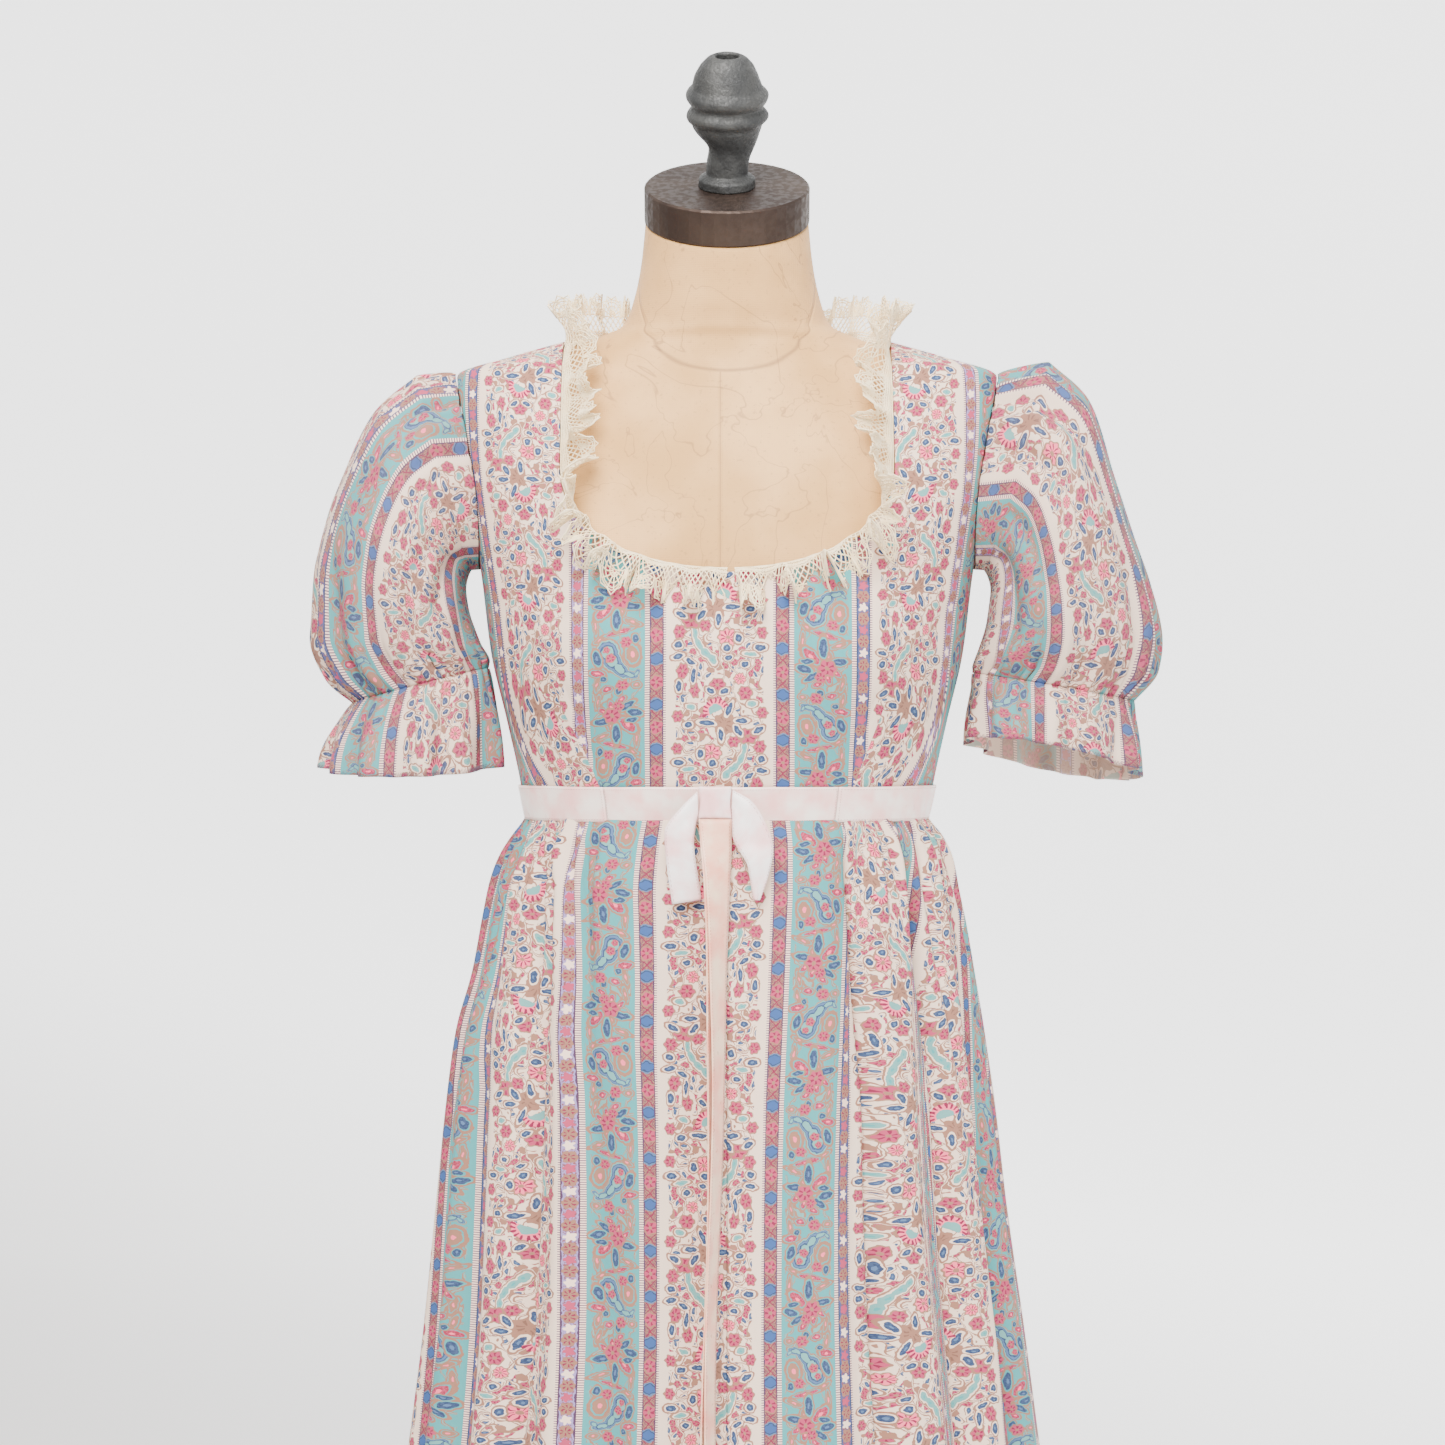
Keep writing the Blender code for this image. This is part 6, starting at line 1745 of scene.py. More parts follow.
def build_sleeve(side):
    word = SIDE_WORD[side]
    points, flat, length = sleeve_cloth(side)
    middle = points[len(points) // 2].mean(axis=0)
    patch = facing_out(points, flat, middle)
    sleeve = cut_cloth("sleeve_cloth_" + word, [patch], printed_thin_painted_shade, CLOTH)
    points, flat = frill_cloth(side, length)
    middle = points[len(points) // 2].mean(axis=0)
    patch = facing_out(points, flat, middle)
    SEWN["frill_cloth_" + word] = (patch[0], FRILL_CLOTH)
    return sleeve, cut_cloth("frill_cloth_" + word, [patch], printed_thin_painted_shade, FRILL_CLOTH)


# The sleeves and frills are washed towards a dark mauve: painted shade, for the shadowed hollow behind
# the single layer.
printed_thin_painted_shade = print_finish("printed cotton, single layer, with painted shade", 0.16, seen(146, 126, 134))
sleeves, frills = {}, {}
for side in (-1, 1):
    sleeves[side], frills[side] = build_sleeve(side)
print("sleeve areas:", [round(cloth_area(made), 4) for made in (*sleeves.values(), *frills.values())])

# %% [markdown]
# ## Crocheted lace
#
# The neckline is edged with a gathered strip of cotton lace: a dense heading, an
# open net, and fans along its free edge. Each thread is a line laid over the
# strip's waving surface. One Geometry Nodes tree turns every line into yarn,
# because the same tree then also makes the stitches and the zip's coil.

# %% A tree that turns lines into yarn


def thread_tree():
    """Mesh edges in, four-sided yarn out: the sizes and the finish are named inputs."""
    tree = bpy.data.node_groups.new("threads", "GeometryNodeTree")
    sockets = {}
    for name, kind in (("Lines", "NodeSocketGeometry"), ("Radius", "NodeSocketFloat"),
                       ("Sides", "NodeSocketInt"), ("Finish", "NodeSocketMaterial")):
        sockets[name] = tree.interface.new_socket(name=name, in_out="INPUT", socket_type=kind)
    tree.interface.new_socket(name="Yarn", in_out="OUTPUT", socket_type="NodeSocketGeometry")
    entry = tree.nodes.new("NodeGroupInput")
    leave = tree.nodes.new("NodeGroupOutput")
    line = tree.nodes.new("GeometryNodeMeshToCurve")
    ring = tree.nodes.new("GeometryNodeCurvePrimitiveCircle")
    tube = tree.nodes.new("GeometryNodeCurveToMesh")
    real = tree.nodes.new("GeometryNodeRealizeInstances")
    finish = tree.nodes.new("GeometryNodeSetMaterial")
    tube.inputs["Fill Caps"].default_value = True
    tree.links.new(entry.outputs["Lines"], line.inputs["Mesh"])
    tree.links.new(entry.outputs["Radius"], ring.inputs["Radius"])
    tree.links.new(entry.outputs["Sides"], ring.inputs["Resolution"])
    tree.links.new(line.outputs["Curve"], tube.inputs["Curve"])
    tree.links.new(ring.outputs["Curve"], tube.inputs["Profile Curve"])
    tree.links.new(tube.outputs["Mesh"], real.inputs["Geometry"])
    tree.links.new(real.outputs["Geometry"], finish.inputs["Geometry"])
    tree.links.new(entry.outputs["Finish"], finish.inputs["Material"])
    tree.links.new(finish.outputs["Geometry"], leave.inputs["Yarn"])
    return tree, {name: socket.identifier for name, socket in sockets.items()}


THREADS, THREAD_SOCKET = thread_tree()


def yarn(name, lines, radius, finish, sides=4):
    """A plain mesh of yarn along each line, a list of points."""
    points = np.concatenate(lines)
    edges = []
    start = 0
    for line in lines:
        edges += [(start + i, start + i + 1) for i in range(len(line) - 1)]
        start += len(line)
    mesh = bpy.data.meshes.new(name)
    mesh.from_pydata(points.tolist(), edges, [])
    made = placed(name, mesh)
    spinner = made.modifiers.new("yarn", "NODES")
    spinner.node_group = THREADS
    spinner[THREAD_SOCKET["Radius"]] = radius
    spinner[THREAD_SOCKET["Sides"]] = sides
    spinner[THREAD_SOCKET["Finish"]] = finish
    settled(made)
    for face in made.data.polygons:
        face.use_smooth = True
    return made


def triangles(made):
    made.data.calc_loop_triangles()
    return len(made.data.loop_triangles)


# %% Cotton yarn


def cotton_finish(name, light, dark, twist=900.0):
    """Unbleached cotton: matt and a little uneven, with its twist as a fine bump."""
    material, shader, start = new_finish(name, 0.9, sheen=0.2, specular=0.2)
    place = object_place(start)
    cloud = noise(place, 90.0, 3.0).ramp(0.3, 0.7)
    feed(shader, "Base Color", blend(cloud, light, dark))
    grain = noise(place, twist, 2.0)
    feed(shader, "Roughness", grain.ramp(0.3, 0.7, 0.95, 0.82))
    bumped(shader, grain, 0.0002, 0.7)
    return material


cream_cotton = cotton_finish("cream cotton lace", (0.86, 0.73, 0.49), (0.84, 0.66, 0.39))

# %% The strip's own waving surface
LACE_COLUMNS = ("along", "left_lift", "right_lift", "sway")
LACE_ROWS = (
    (0.00, 112, 114, 0.0085),
    (0.12, 104, 108, 0.0085),
    (0.24, 60, 66, 0.0070),
    (0.36, 22, 26, 0.0050),
    (0.50, 18, 17, 0.0045),
    (0.60, 40, 58, 0.0050),
    (0.67, 70, 98, 0.0050),
    (0.78, 58, 66, 0.0045),
    (0.90, 50, 50, 0.0040),
    (1.00, 46, 46, 0.0040),
)
LACE_WIDTH = 0.031
LACE_SET_IN = 0.0023
LACE_LIFT = 0.0017
LACE_WAVES = 18
LACE_END = 0.992
LACE_JOIN = 0.012


def neckline_loop(side):
    """(azimuth, z) of half the neckline, from the front middle to the centre back."""
    front = np.stack(front_neckline(), axis=-1)
    back = np.stack(back_neckline(), axis=-1)[1:]
    points = np.concatenate([front, back])
    points[:, 0] *= side
    return points


def lace_point(side, along, across):
    """The lace's middle face: along runs from centre front to centre back, across from its seam."""
    along, across = matched(along, across)
    points = neckline_loop(side)
    places = over_body(points[:, 0], points[:, 1], LACE_LIFT)
    run = run_along(places)
    run = run / run[-1]

    def seam_at(where):
        return np.stack([np.interp(where, run, places[:, i]) for i in range(3)], axis=-1)

    seam = seam_at(along)
    step = 0.004
    ahead, behind = (seam_at(np.clip(where, 0, 1)) for where in (along + step, along - step))
    tangent = unit(ahead - behind)
    azimuth = np.interp(along, run, points[:, 0])
    z = np.interp(along, run, points[:, 1])
    normal = outward(body_point, azimuth, z)
    inward = unit(np.cross(normal, tangent) * side)
    lift_name = "right_lift" if side > 0 else "left_lift"
    lift = np.radians(read_table(LACE_COLUMNS, LACE_ROWS, lift_name, along))
    sway_depth = 0.0004 + read_table(LACE_COLUMNS, LACE_ROWS, "sway", along) * across
    width = LACE_WIDTH * (0.965 + 0.035 * np.cos(4 * math.pi * LACE_WAVES * along))
    swell = sway_depth * np.cos(2 * math.pi * LACE_WAVES * along)
    stand = np.cos(lift)[..., None] * inward + np.sin(lift)[..., None] * normal
    sway = -np.sin(lift)[..., None] * inward + np.cos(lift)[..., None] * normal
    start = seam + inward * LACE_SET_IN
    return start + stand * (across * width)[..., None] + sway * swell[..., None]


# %% Crumpled by gathering and wear
FLOP_STEPS = 12
FLOP_FROM = 0.42


def flop_angle(side, turn, front):
    """How far, in radians, the free edge has fallen outward; in front it flops right over."""
    sides = 12 + 15 * np.sin(11 * turn + side) + 10 * np.sin(25 * turn + 2.0)
    centre = 84 + 46 * np.sin(17 * turn + 0.9 * side) + 26 * np.sin(31 * turn + 1.0)
    return np.radians(np.clip(sides * (1 - front) + centre * front, 3, 158))


def crumpled(side, along, across):
    """The strip bent outward along its width, with small uneven ruffles."""
    along, across = matched(along, across)
    here = lace_point(side, along, across)
    heading = lace_point(side, along, np.zeros(np.shape(along)))
    ends = [lace_point(side, np.clip(along + step, 0, 1), 0.0) for step in (0.002, -0.002)]
    ahead = unit(ends[0] - ends[1])
    fall = lace_point(side, along, np.full(np.shape(along), 0.5)) - heading
    fall = unit(fall - (fall * ahead).sum(axis=-1, keepdims=True) * ahead)
    away = np.cross(ahead, fall) * side
    turn = 2 * math.pi * along
    front = smoothstep((0.36 - along) / 0.14)
    angle = flop_angle(side, turn, front)
    inward, outward_share = np.zeros(np.shape(along)), np.zeros(np.shape(along))
    for step in range(FLOP_STEPS):
        bend = angle * smoothstep(across * (step + 0.5) / FLOP_STEPS / FLOP_FROM)
        inward += np.cos(bend) / FLOP_STEPS
        outward_share += np.sin(bend) / FLOP_STEPS
    width = LACE_WIDTH * np.maximum(across, 0) * (1.0 + 0.10 * front)
    out = width * outward_share + 0.0010
    flopped = heading + fall * (width * inward)[..., None] + away * out[..., None]
    wave = 0.55 * np.sin(29 * turn + 1.7 * side + 1.2 * across)
    wave = wave + 0.45 * np.sin(43 * turn + 2.6 * across)
    lift = np.maximum(across, 0) * (0.0030 + 0.0012 * front) * wave
    slide = 0.0028 * across * np.sin(24 * turn + 1.0)
    settled_place = np.where((across > 0)[..., None], flopped, here)
    return settled_place + away * lift[..., None] + ahead * slide[..., None]


# %% Heading, net and fans
LACE_REPEATS = 46
LACE_NET_TOP = 0.17
LACE_NET_FOOT = 0.56
LACE_YARN = 0.00050
LACE_TUCK = -0.055
FAN_SPOKES = 8


def lace_lines(side, first):
    """All threads of one strip, as lines over its surface, in (repeat, share of the width)."""
    lines = []

    def run(repeat, across):
        lines.append((np.asarray(repeat, float), np.asarray(across, float)))

    whole = np.linspace(0, LACE_REPEATS, LACE_REPEATS * 5 + 1)
    for across in (LACE_TUCK, 0.0, 0.055, 0.11, LACE_NET_TOP):
        run(whole, np.full(len(whole), across))
    zigzag = np.arange(LACE_REPEATS * 8 + 1) / 8
    run(zigzag, np.where(np.arange(len(zigzag)) % 2, 0.0, LACE_TUCK))
    run(zigzag, np.where(np.arange(len(zigzag)) % 2, 0.055, 0.0))
    run(zigzag, np.where(np.arange(len(zigzag)) % 2, 0.11, 0.055))
    run(zigzag, np.where(np.arange(len(zigzag)) % 2, LACE_NET_TOP, 0.11))
    cells, rows = 3, 4
    step = (LACE_NET_FOOT - LACE_NET_TOP) / rows
    for number in range(LACE_REPEATS * cells + 1):
        for lean in (-1, 1):
            repeat = (number + lean * np.arange(rows + 1) / 2) / cells
            across = LACE_NET_TOP + step * np.arange(rows + 1)
            inside = (repeat >= 0) & (repeat <= LACE_REPEATS)
            if inside.sum() > 1:
                run(repeat[inside], across[inside])
    for number in range(LACE_REPEATS):
        middle = number + 0.5
        bend = np.linspace(0, math.pi, 13)
        for reach_x, reach_y in ((0.50, 0.40), (0.44, 0.345), (0.32, 0.25), (0.17, 0.13)):
            run(middle - reach_x * np.cos(bend), LACE_NET_FOOT + reach_y * np.sin(bend))
        for spoke in range(1, FAN_SPOKES):
            angle = math.pi * spoke / FAN_SPOKES
            share = np.array([0.12, 0.55, 1.0])
            run(middle - 0.47 * math.cos(angle) * share, LACE_NET_FOOT + 0.38 * math.sin(angle) * share)
        run(middle + np.array([-0.5, -0.25, 0, 0.25, 0.5]), np.full(5, LACE_NET_FOOT))
        for picot in range(6):
            ends = math.pi * (np.array([picot, picot + 0.5, picot + 1]) + 0.0) / 6
            lift = np.array([0.40, 0.475, 0.40])
            run(middle - 0.5 * np.cos(ends) * lift / 0.40, LACE_NET_FOOT + lift * np.sin(ends) * 1.02)
    repeat, across = (np.concatenate([line[i] for line in lines]) for i in (0, 1))
    along = first + (LACE_END - first) * np.clip(repeat / LACE_REPEATS, 0, 1)
    ends = np.cumsum([len(line[0]) for line in lines])
    return np.split(crumpled(side, along, across), ends[:-1])


def build_lace(side, first):
    word = SIDE_WORD[side]
    lines = lace_lines(side, first)
    return yarn("lace_strip_" + word, lines, LACE_YARN, cream_cotton)


def edging_length(side, first, across=0.5):
    """How long the strip is before it is gathered: its own middle, followed over every ruffle."""
    along = first + (LACE_END - first) * np.linspace(0, 1, 1400)
    path = crumpled(side, along, np.full(len(along), across))
    return float(np.linalg.norm(np.diff(path, axis=0), axis=1).sum())


laces = {-1: build_lace(-1, 0.0), 1: build_lace(1, LACE_JOIN)}
LACE_LENGTH = {-1: edging_length(-1, 0.0), 1: edging_length(1, LACE_JOIN)}
print("lace triangles:", triangles(laces[-1]))
print("lace lengths:", [round(length, 4) for length in LACE_LENGTH.values()])

# %% [markdown]
# ## Satin ribbon
#
# A pale pink ribbon lies over the waist seam, and is tied in front in a knot
# with two short ends and two long tails. Satin has long floats along its width,
# so its gloss is stretched across the ribbon: a low roughness, and fine ribs.

# %% Satin


def satin_finish(name, light, dark, rib=2600.0):
    """Ribbon satin: glossy, with fine crosswise ribs and soft cloudy colour."""
    material, shader, start = new_finish(name, 0.34, sheen=0.25, coat=0.12, specular=0.5)
    flat = cloth_place(start)
    y = split(flat)[1]
    cloud = noise(flat, 46.0, 3.0).ramp(0.3, 0.7)
    feed(shader, "Base Color", blend(cloud, light, dark))
    ribs = (y * rib * math.pi).cosine() * 0.5 + 0.5
    crumple = noise(flat, 150.0, 3.0)
    feed(shader, "Roughness", crumple.ramp(0.3, 0.7, 0.42, 0.27))
    bumped(shader, ribs * 0.25 + crumple * 0.8, 0.00025, 0.8)
    return material


pink_satin = satin_finish("pink satin", seen(236, 219, 216), seen(226, 204, 201))
# The bow's ends and the knot take a lighter copy of the sash's satin: painted light, for the light that
# falls on them.
bow_satin_painted_lighter = satin_finish("pink satin, painted lighter", seen(240, 222, 221), seen(230, 206, 205))
peach_satin = satin_finish("peach satin", seen(242, 214, 202), seen(232, 194, 178))

# %% Ribbon sheets with soft selvedges
RIBBON_WALL = 0.0010
SASH_BOTTOM_Z = 1.1340
SASH_TOP_Z = 1.1556
SASH_OFFSET = 0.0030
SASH_LET_DOWN = 0.0018
SASH_EASE = 0.0006
SASH_JOIN_LEFT_X = -0.0795
SASH_JOIN_RIGHT_X = 0.0716
RIBBON = 0.0008
SASH_MIDDLE_Z = (SASH_BOTTOM_Z + SASH_TOP_Z) / 2
JOIN_GAP = 0.0014


def ribbon_sheet(name, points, inside, finish):
    """A ribbon from a grid whose rows cross it, its pattern in metres."""
    along = run_along(points.mean(axis=0))
    across = run_along(points.mean(axis=1))
    flat = np.stack(np.meshgrid(along, across), axis=-1)
    points, flat = facing_out(points, flat, inside)
    SEWN[name] = (points, RIBBON)
    made = cloth_mesh(name, [(points, flat)], [finish], merge=0.00001)
    return with_wall(made, RIBBON)


def sash_ripple(azimuth, share):
    """Slight waves of a ribbon that is only stitched at its joins."""
    top = 0.0006 * np.sin(9.0 * azimuth + 1.0) + 0.0004 * np.sin(21.0 * azimuth)
    foot = 0.0005 * np.sin(8.0 * azimuth - 0.6) + 0.0004 * np.sin(17.0 * azimuth + 2.0)
    belly = 0.0003 * np.sin(math.pi * share) * (1 + np.sin(13.0 * azimuth))
    return top * share + foot * (1 - share) + belly


def build_sash(name, start, end, count):
    azimuth, share = np.meshgrid(np.linspace(start, end, count), np.linspace(0, 1, 13))
    foot_z = SASH_BOTTOM_Z - SASH_LET_DOWN
    z = foot_z + (SASH_TOP_Z - foot_z) * share
    lift = SASH_OFFSET + SASH_EASE + sash_ripple(azimuth, share) * 0.5
    points = over_body(azimuth, z, lift)
    return ribbon_sheet(name, points, (0.0, 0.0, SASH_MIDDLE_Z), pink_satin)


left_join = float(azimuth_at(SASH_JOIN_LEFT_X, SASH_MIDDLE_Z))
right_join = float(azimuth_at(SASH_JOIN_RIGHT_X, SASH_MIDDLE_Z))
back_end = float(azimuth_at(ZIP_HALF_WIDTH + 0.0016, SASH_MIDDLE_Z, behind=True))
sashes = {
    "sash_front": build_sash("sash_ribbon_front", left_join + JOIN_GAP, right_join - JOIN_GAP, 90),
    "sash_left": build_sash("sash_ribbon_left", -back_end, left_join - JOIN_GAP, 150),
    "sash_right": build_sash("sash_ribbon_right", right_join + JOIN_GAP, back_end, 150),
}
print("sash pieces:", len(sashes))

# %% Bow ends and tails
BOW_COLUMNS = ("a_x", "a_z", "b_x", "b_z", "stand_off")
BOW_LEFT_ROWS = (
    (-0.0197, 0.0070, -0.0197, -0.0080, 0.0030),
    (-0.0300, -0.0030, -0.0215, -0.0180, 0.0065),
    (-0.0412, -0.0200, -0.0222, -0.0270, 0.0085),
    (-0.0398, -0.0400, -0.0200, -0.0450, 0.0060),
    (-0.0361, -0.0668, -0.0172, -0.0640, 0.0035),
)
BOW_RIGHT_ROWS = (
    (0.0036, 0.0080, 0.0036, -0.0040, 0.0030),
    (0.0165, 0.0005, 0.0040, -0.0220, 0.0070),
    (0.0300, -0.0290, 0.0135, -0.0410, 0.0095),
    (0.0270, -0.0470, 0.0155, -0.0510, 0.0070),
    (0.0212, -0.0640, 0.0178, -0.0640, 0.0040),
)
TAIL_COLUMNS = ("z", "x", "turn_degrees")
TAIL_ROWS = (
    (0.500, -0.0165, 72),
    (0.720, -0.0135, 72),
    (0.940, -0.0095, 70),
    (1.020, -0.0080, 62),
    (1.090, -0.0078, 45),
    (1.1338, -0.0082, 12),
)
TAIL_WIDTH = 0.0215
TAIL_STAND_OFF = 0.0022
TAIL_PLY_GAP = 0.0022
LEFT_TAIL_FOOT_Z = 0.500
RIGHT_TAIL_FOOT_Z = 0.560


def front_clearance(z):
    """How far forward of the form's axis the sash and the skirt reach at the centre, at height z."""
    skirt = read_table(SKIRT_COLUMNS, SKIRT_ROWS, "front", z) + CLOTH_WALL
    sash = -over_body(0.0, SASH_TOP_Z, SASH_OFFSET + RIBBON_WALL + SEAM_GAP)[1]
    near = smoothstep((z - SASH_BOTTOM_Z + 0.024) / 0.020)
    return skirt + np.maximum(sash - skirt, 0) * near


def bow_end(name, rows, count=46):
    """One short end: its two edges run through a table, and its middle bulges forward."""
    steps = np.linspace(0, len(rows) - 1, count)
    value = {
        column: monotone_curve(range(len(rows)), [row[i] for row in rows], steps)
        for i, column in enumerate(BOW_COLUMNS)
    }
    share = np.linspace(0, 1, 13)[:, None]
    x = value["a_x"] * (1 - share) + value["b_x"] * share
    z = SASH_MIDDLE_Z + value["a_z"] * (1 - share) + value["b_z"] * share
    bulge = 0.0014 * np.sin(math.pi * share) + 0.0004 * np.sin(9 * share + 0.35 * steps)
    clear = np.maximum(front_clearance(z), front_clearance(z + 0.012))
    y = -(clear + value["stand_off"] + bulge)
    points = np.stack(np.broadcast_arrays(x, y, z), axis=-1)
    return ribbon_sheet(name, points, (0.0, 0.0, SASH_MIDDLE_Z - 0.03), bow_satin_painted_lighter)


def long_tail(name, apart, foot_z):
    z = np.linspace(foot_z, TAIL_ROWS[-1][0], 150)
    turn = np.radians(read_table(TAIL_COLUMNS, TAIL_ROWS, "turn_degrees", z))
    half = TAIL_WIDTH / 2
    sway = 0.0010 * np.sin((z - foot_z) * 21.0) * smoothstep((1.08 - z) / 0.1)
    x = read_table(TAIL_COLUMNS, TAIL_ROWS, "x", z) + apart * np.sin(turn) + sway
    y = -(front_clearance(z) + TAIL_STAND_OFF + half * np.sin(turn)) - apart * np.cos(turn)
    share = np.linspace(-1, 1, 9)[:, None]
    cup = 0.0006 * (1 - share**2)
    across = x + share * half * np.cos(turn) - cup * np.sin(turn)
    ahead = y + share * half * np.sin(turn) - cup * np.cos(turn)
    points = np.stack([across, ahead, np.broadcast_to(z, (9, len(z)))], axis=-1)
    return ribbon_sheet(name, points, (0.0, 0.0, 0.8), peach_satin)


bow_ends = {
    "bow_end_left": bow_end("bow_ribbon_left", BOW_LEFT_ROWS),
    "bow_end_right": bow_end("bow_ribbon_right", BOW_RIGHT_ROWS),
}
tails = {
    "tail_left": long_tail("tail_ribbon_left", 0.0, LEFT_TAIL_FOOT_Z),
    "tail_right": long_tail("tail_ribbon_right", TAIL_PLY_GAP, RIGHT_TAIL_FOOT_Z),
}
print("tail length:", round(TAIL_ROWS[-1][0] - LEFT_TAIL_FOOT_Z, 3))

# %% The knot: one turn of ribbon drawn tight, with pinched pleats
KNOT_SIZE = (0.0216, 0.0060, 0.0212)
KNOT_X = -0.0080
KNOT_STAND_OFF = 0.0027


def build_knot():
    """A softly pleated band round the crossing, waisted where it is pulled."""
    middle_y = -float(front_clearance(np.array(SASH_MIDDLE_Z))) - KNOT_STAND_OFF
    shape = bmesh.new()
    bmesh.ops.create_cube(shape, size=1.0)
    bmesh.ops.subdivide_edges(shape, edges=shape.edges, cuts=23, use_grid_fill=True)
    for vert in shape.verts:
        x, y, z = vert.co
        rim = (1 - (2 * abs(x)) ** 6) * (1 - (2 * abs(z)) ** 8)
        pinch = 1 - 0.08 * math.cos(math.pi * z) ** 2
        pleat = 0.045 * math.sin(18 * x + 3.5 * z) + 0.03 * math.sin(31 * x - 5 * z)
        depth = y * (0.60 + 0.40 * rim ** 0.5) + (pleat * rim if y < 0 else 0.0)
        wide = x * (pinch if abs(x) > 0.3 else 1.0)
        x, y = KNOT_X + wide * KNOT_SIZE[0], middle_y + depth * KNOT_SIZE[1]
        vert.co = (x, y, SASH_MIDDLE_Z + z * KNOT_SIZE[2])
    bmesh.ops.recalc_face_normals(shape, faces=shape.faces)
    mesh = bpy.data.meshes.new("bow_knot_ribbon")
    chart = shape.loops.layers.uv.new("UVMap")
    for face in shape.faces:
        face.smooth = True
        for corner in face.loops:
            corner[chart].uv = (corner.vert.co.z, corner.vert.co.x)
    shape.to_mesh(mesh)
    shape.free()
    mesh.materials.append(bow_satin_painted_lighter)
    return placed("bow_knot_ribbon", mesh)


knot = build_knot()
print("knot faces:", len(knot.data.polygons))

# %% [markdown]
# ## The dress form
#
# The form is a linen-covered torso on a pole, with a bronzed metal cap and a
# cast iron finial. Its cover is old: fine brown cracks run over it like veins.
# The model's torso is coarse, so a finer one with the same sections stands for it.

# %% Linen, bronze and iron
NECK_SEAM_Z = 1.5057
NECK_SEAM_RISE = 1.258
NECK_SEAM_SLANT = 1.607
CENTRE_SEAM_X = -0.0046


def linen_finish():
    material, shader, start = new_finish("aged linen", 0.72, sheen=0.1, specular=0.35)
    place = object_place(start)
    cloud = noise(place, 14.0, 4.0).ramp(0.3, 0.7)
    colour = blend(cloud, (0.66, 0.38, 0.15), (0.50, 0.27, 0.09))
    veins = abs(noise(place, 15.0, 3.0, 0.5, 1.2) - 0.5)
    colour = blend(veins.ramp(0.0, 0.009, 0.42, 0.0), colour, seen(160, 120, 84))
    flecks = noise(place, 420.0, 2.0).ramp(0.62, 0.72)
    colour = blend(flecks * 0.25, colour, seen(160, 126, 92))
    x, y = split(place)
    z = place.node("ShaderNodeSeparateXYZ", {}, {0: place}, output=2)
    above = (z - y.least(-0.004) * NECK_SEAM_RISE - NECK_SEAM_Z) / NECK_SEAM_SLANT
    front = y.below(0.0) * above.below(0.0)
    seam = abs(above).least(abs(x - CENTRE_SEAM_X) + (1 - front) * 0.1)
    furrow = seam.ramp(0.0, 0.0007, 1.0, 0.0)
    colour = blend(furrow * 0.5, colour, seen(150, 112, 82))
    feed(shader, "Base Color", colour)
    threads = (x * 4200.0).cosine() * 0.25 + (z * 4200.0).cosine() * 0.25
    feed(shader, "Roughness", cloud.ramp(0.0, 1.0, 0.66, 0.8))
    turned_in = seam.ramp(0.0, 0.0022, 0.0, 1.0)
    bumped(shader, turned_in * 5.0 + threads + noise(place, 500.0, 3.0) * 0.8, 0.00020, 0.6)
    return material


def bronze_finish():
    material, shader, start = new_finish("bronzed metal", 0.42, metallic=0.75, specular=0.5)
    place = object_place(start)
    cloud = noise(place, 30.0, 5.0).ramp(0.3, 0.7)
    scratch = noise(place, 240.0, 4.0).ramp(0.35, 0.65)
    feed(shader, "Base Color", blend(cloud, seen(84, 66, 55), seen(110, 90, 76)))
    feed(shader, "Roughness", scratch.ramp(0.0, 1.0, 0.46, 0.64))
    bumped(shader, scratch, 0.00006, 0.4)
    return material


def iron_finish():
    material, shader, start = new_finish("cast iron", 0.55, metallic=0.55, specular=0.5)
    place = object_place(start)
    cloud = noise(place, 60.0, 5.0).ramp(0.3, 0.7)
    grit = noise(place, 500.0, 4.0)
    feed(shader, "Base Color", blend(cloud, seen(78, 79, 79), seen(108, 108, 106)))
    feed(shader, "Roughness", grit.ramp(0.3, 0.7, 0.48, 0.72))
    bumped(shader, grit + cloud * 0.6, 0.0009, 0.8)
    return material


linen, bronze, iron = linen_finish(), bronze_finish(), iron_finish()
print("form finishes made")

# %% A smooth torso over the model's own sections
FORM_BOTTOM_Z = 0.780
FORM_TUCK = 0.0033
NECK_TOP_CENTRE_Y = -0.004
FORM_BOTTOM_INSET = 0.012


def neck_axis():
    top = np.array([0, NECK_TOP_CENTRE_Y, NECK_TOP_Z])
    return top, np.array([0, -math.sin(NECK_TILT), math.cos(NECK_TILT)])


def closed_rings(name, rings, material, inward=False):
    """A solid skin over stacked rings, closed at both ends round their middles."""
    rows, columns = rings.shape[:2]
    verts = list(rings.reshape(-1, 3)) + [rings[0].mean(axis=0), rings[-1].mean(axis=0)]
    last = (rows - 1) * columns
    faces, fans = [], []
    for c in range(columns):
        right = (c + 1) % columns
        fans += [(len(verts) - 2, right, c), (len(verts) - 1, last + c, last + right)]
    for r in range(0, rows * columns - columns, columns):
        for c in range(columns):
            right = (c + 1) % columns
            faces.append((r + c, r + right, r + columns + right, r + columns + c))
    faces += fans
    if inward:
        faces = [(face[0], *face[:0:-1]) for face in faces]
    return new_piece(name, verts, faces, material)


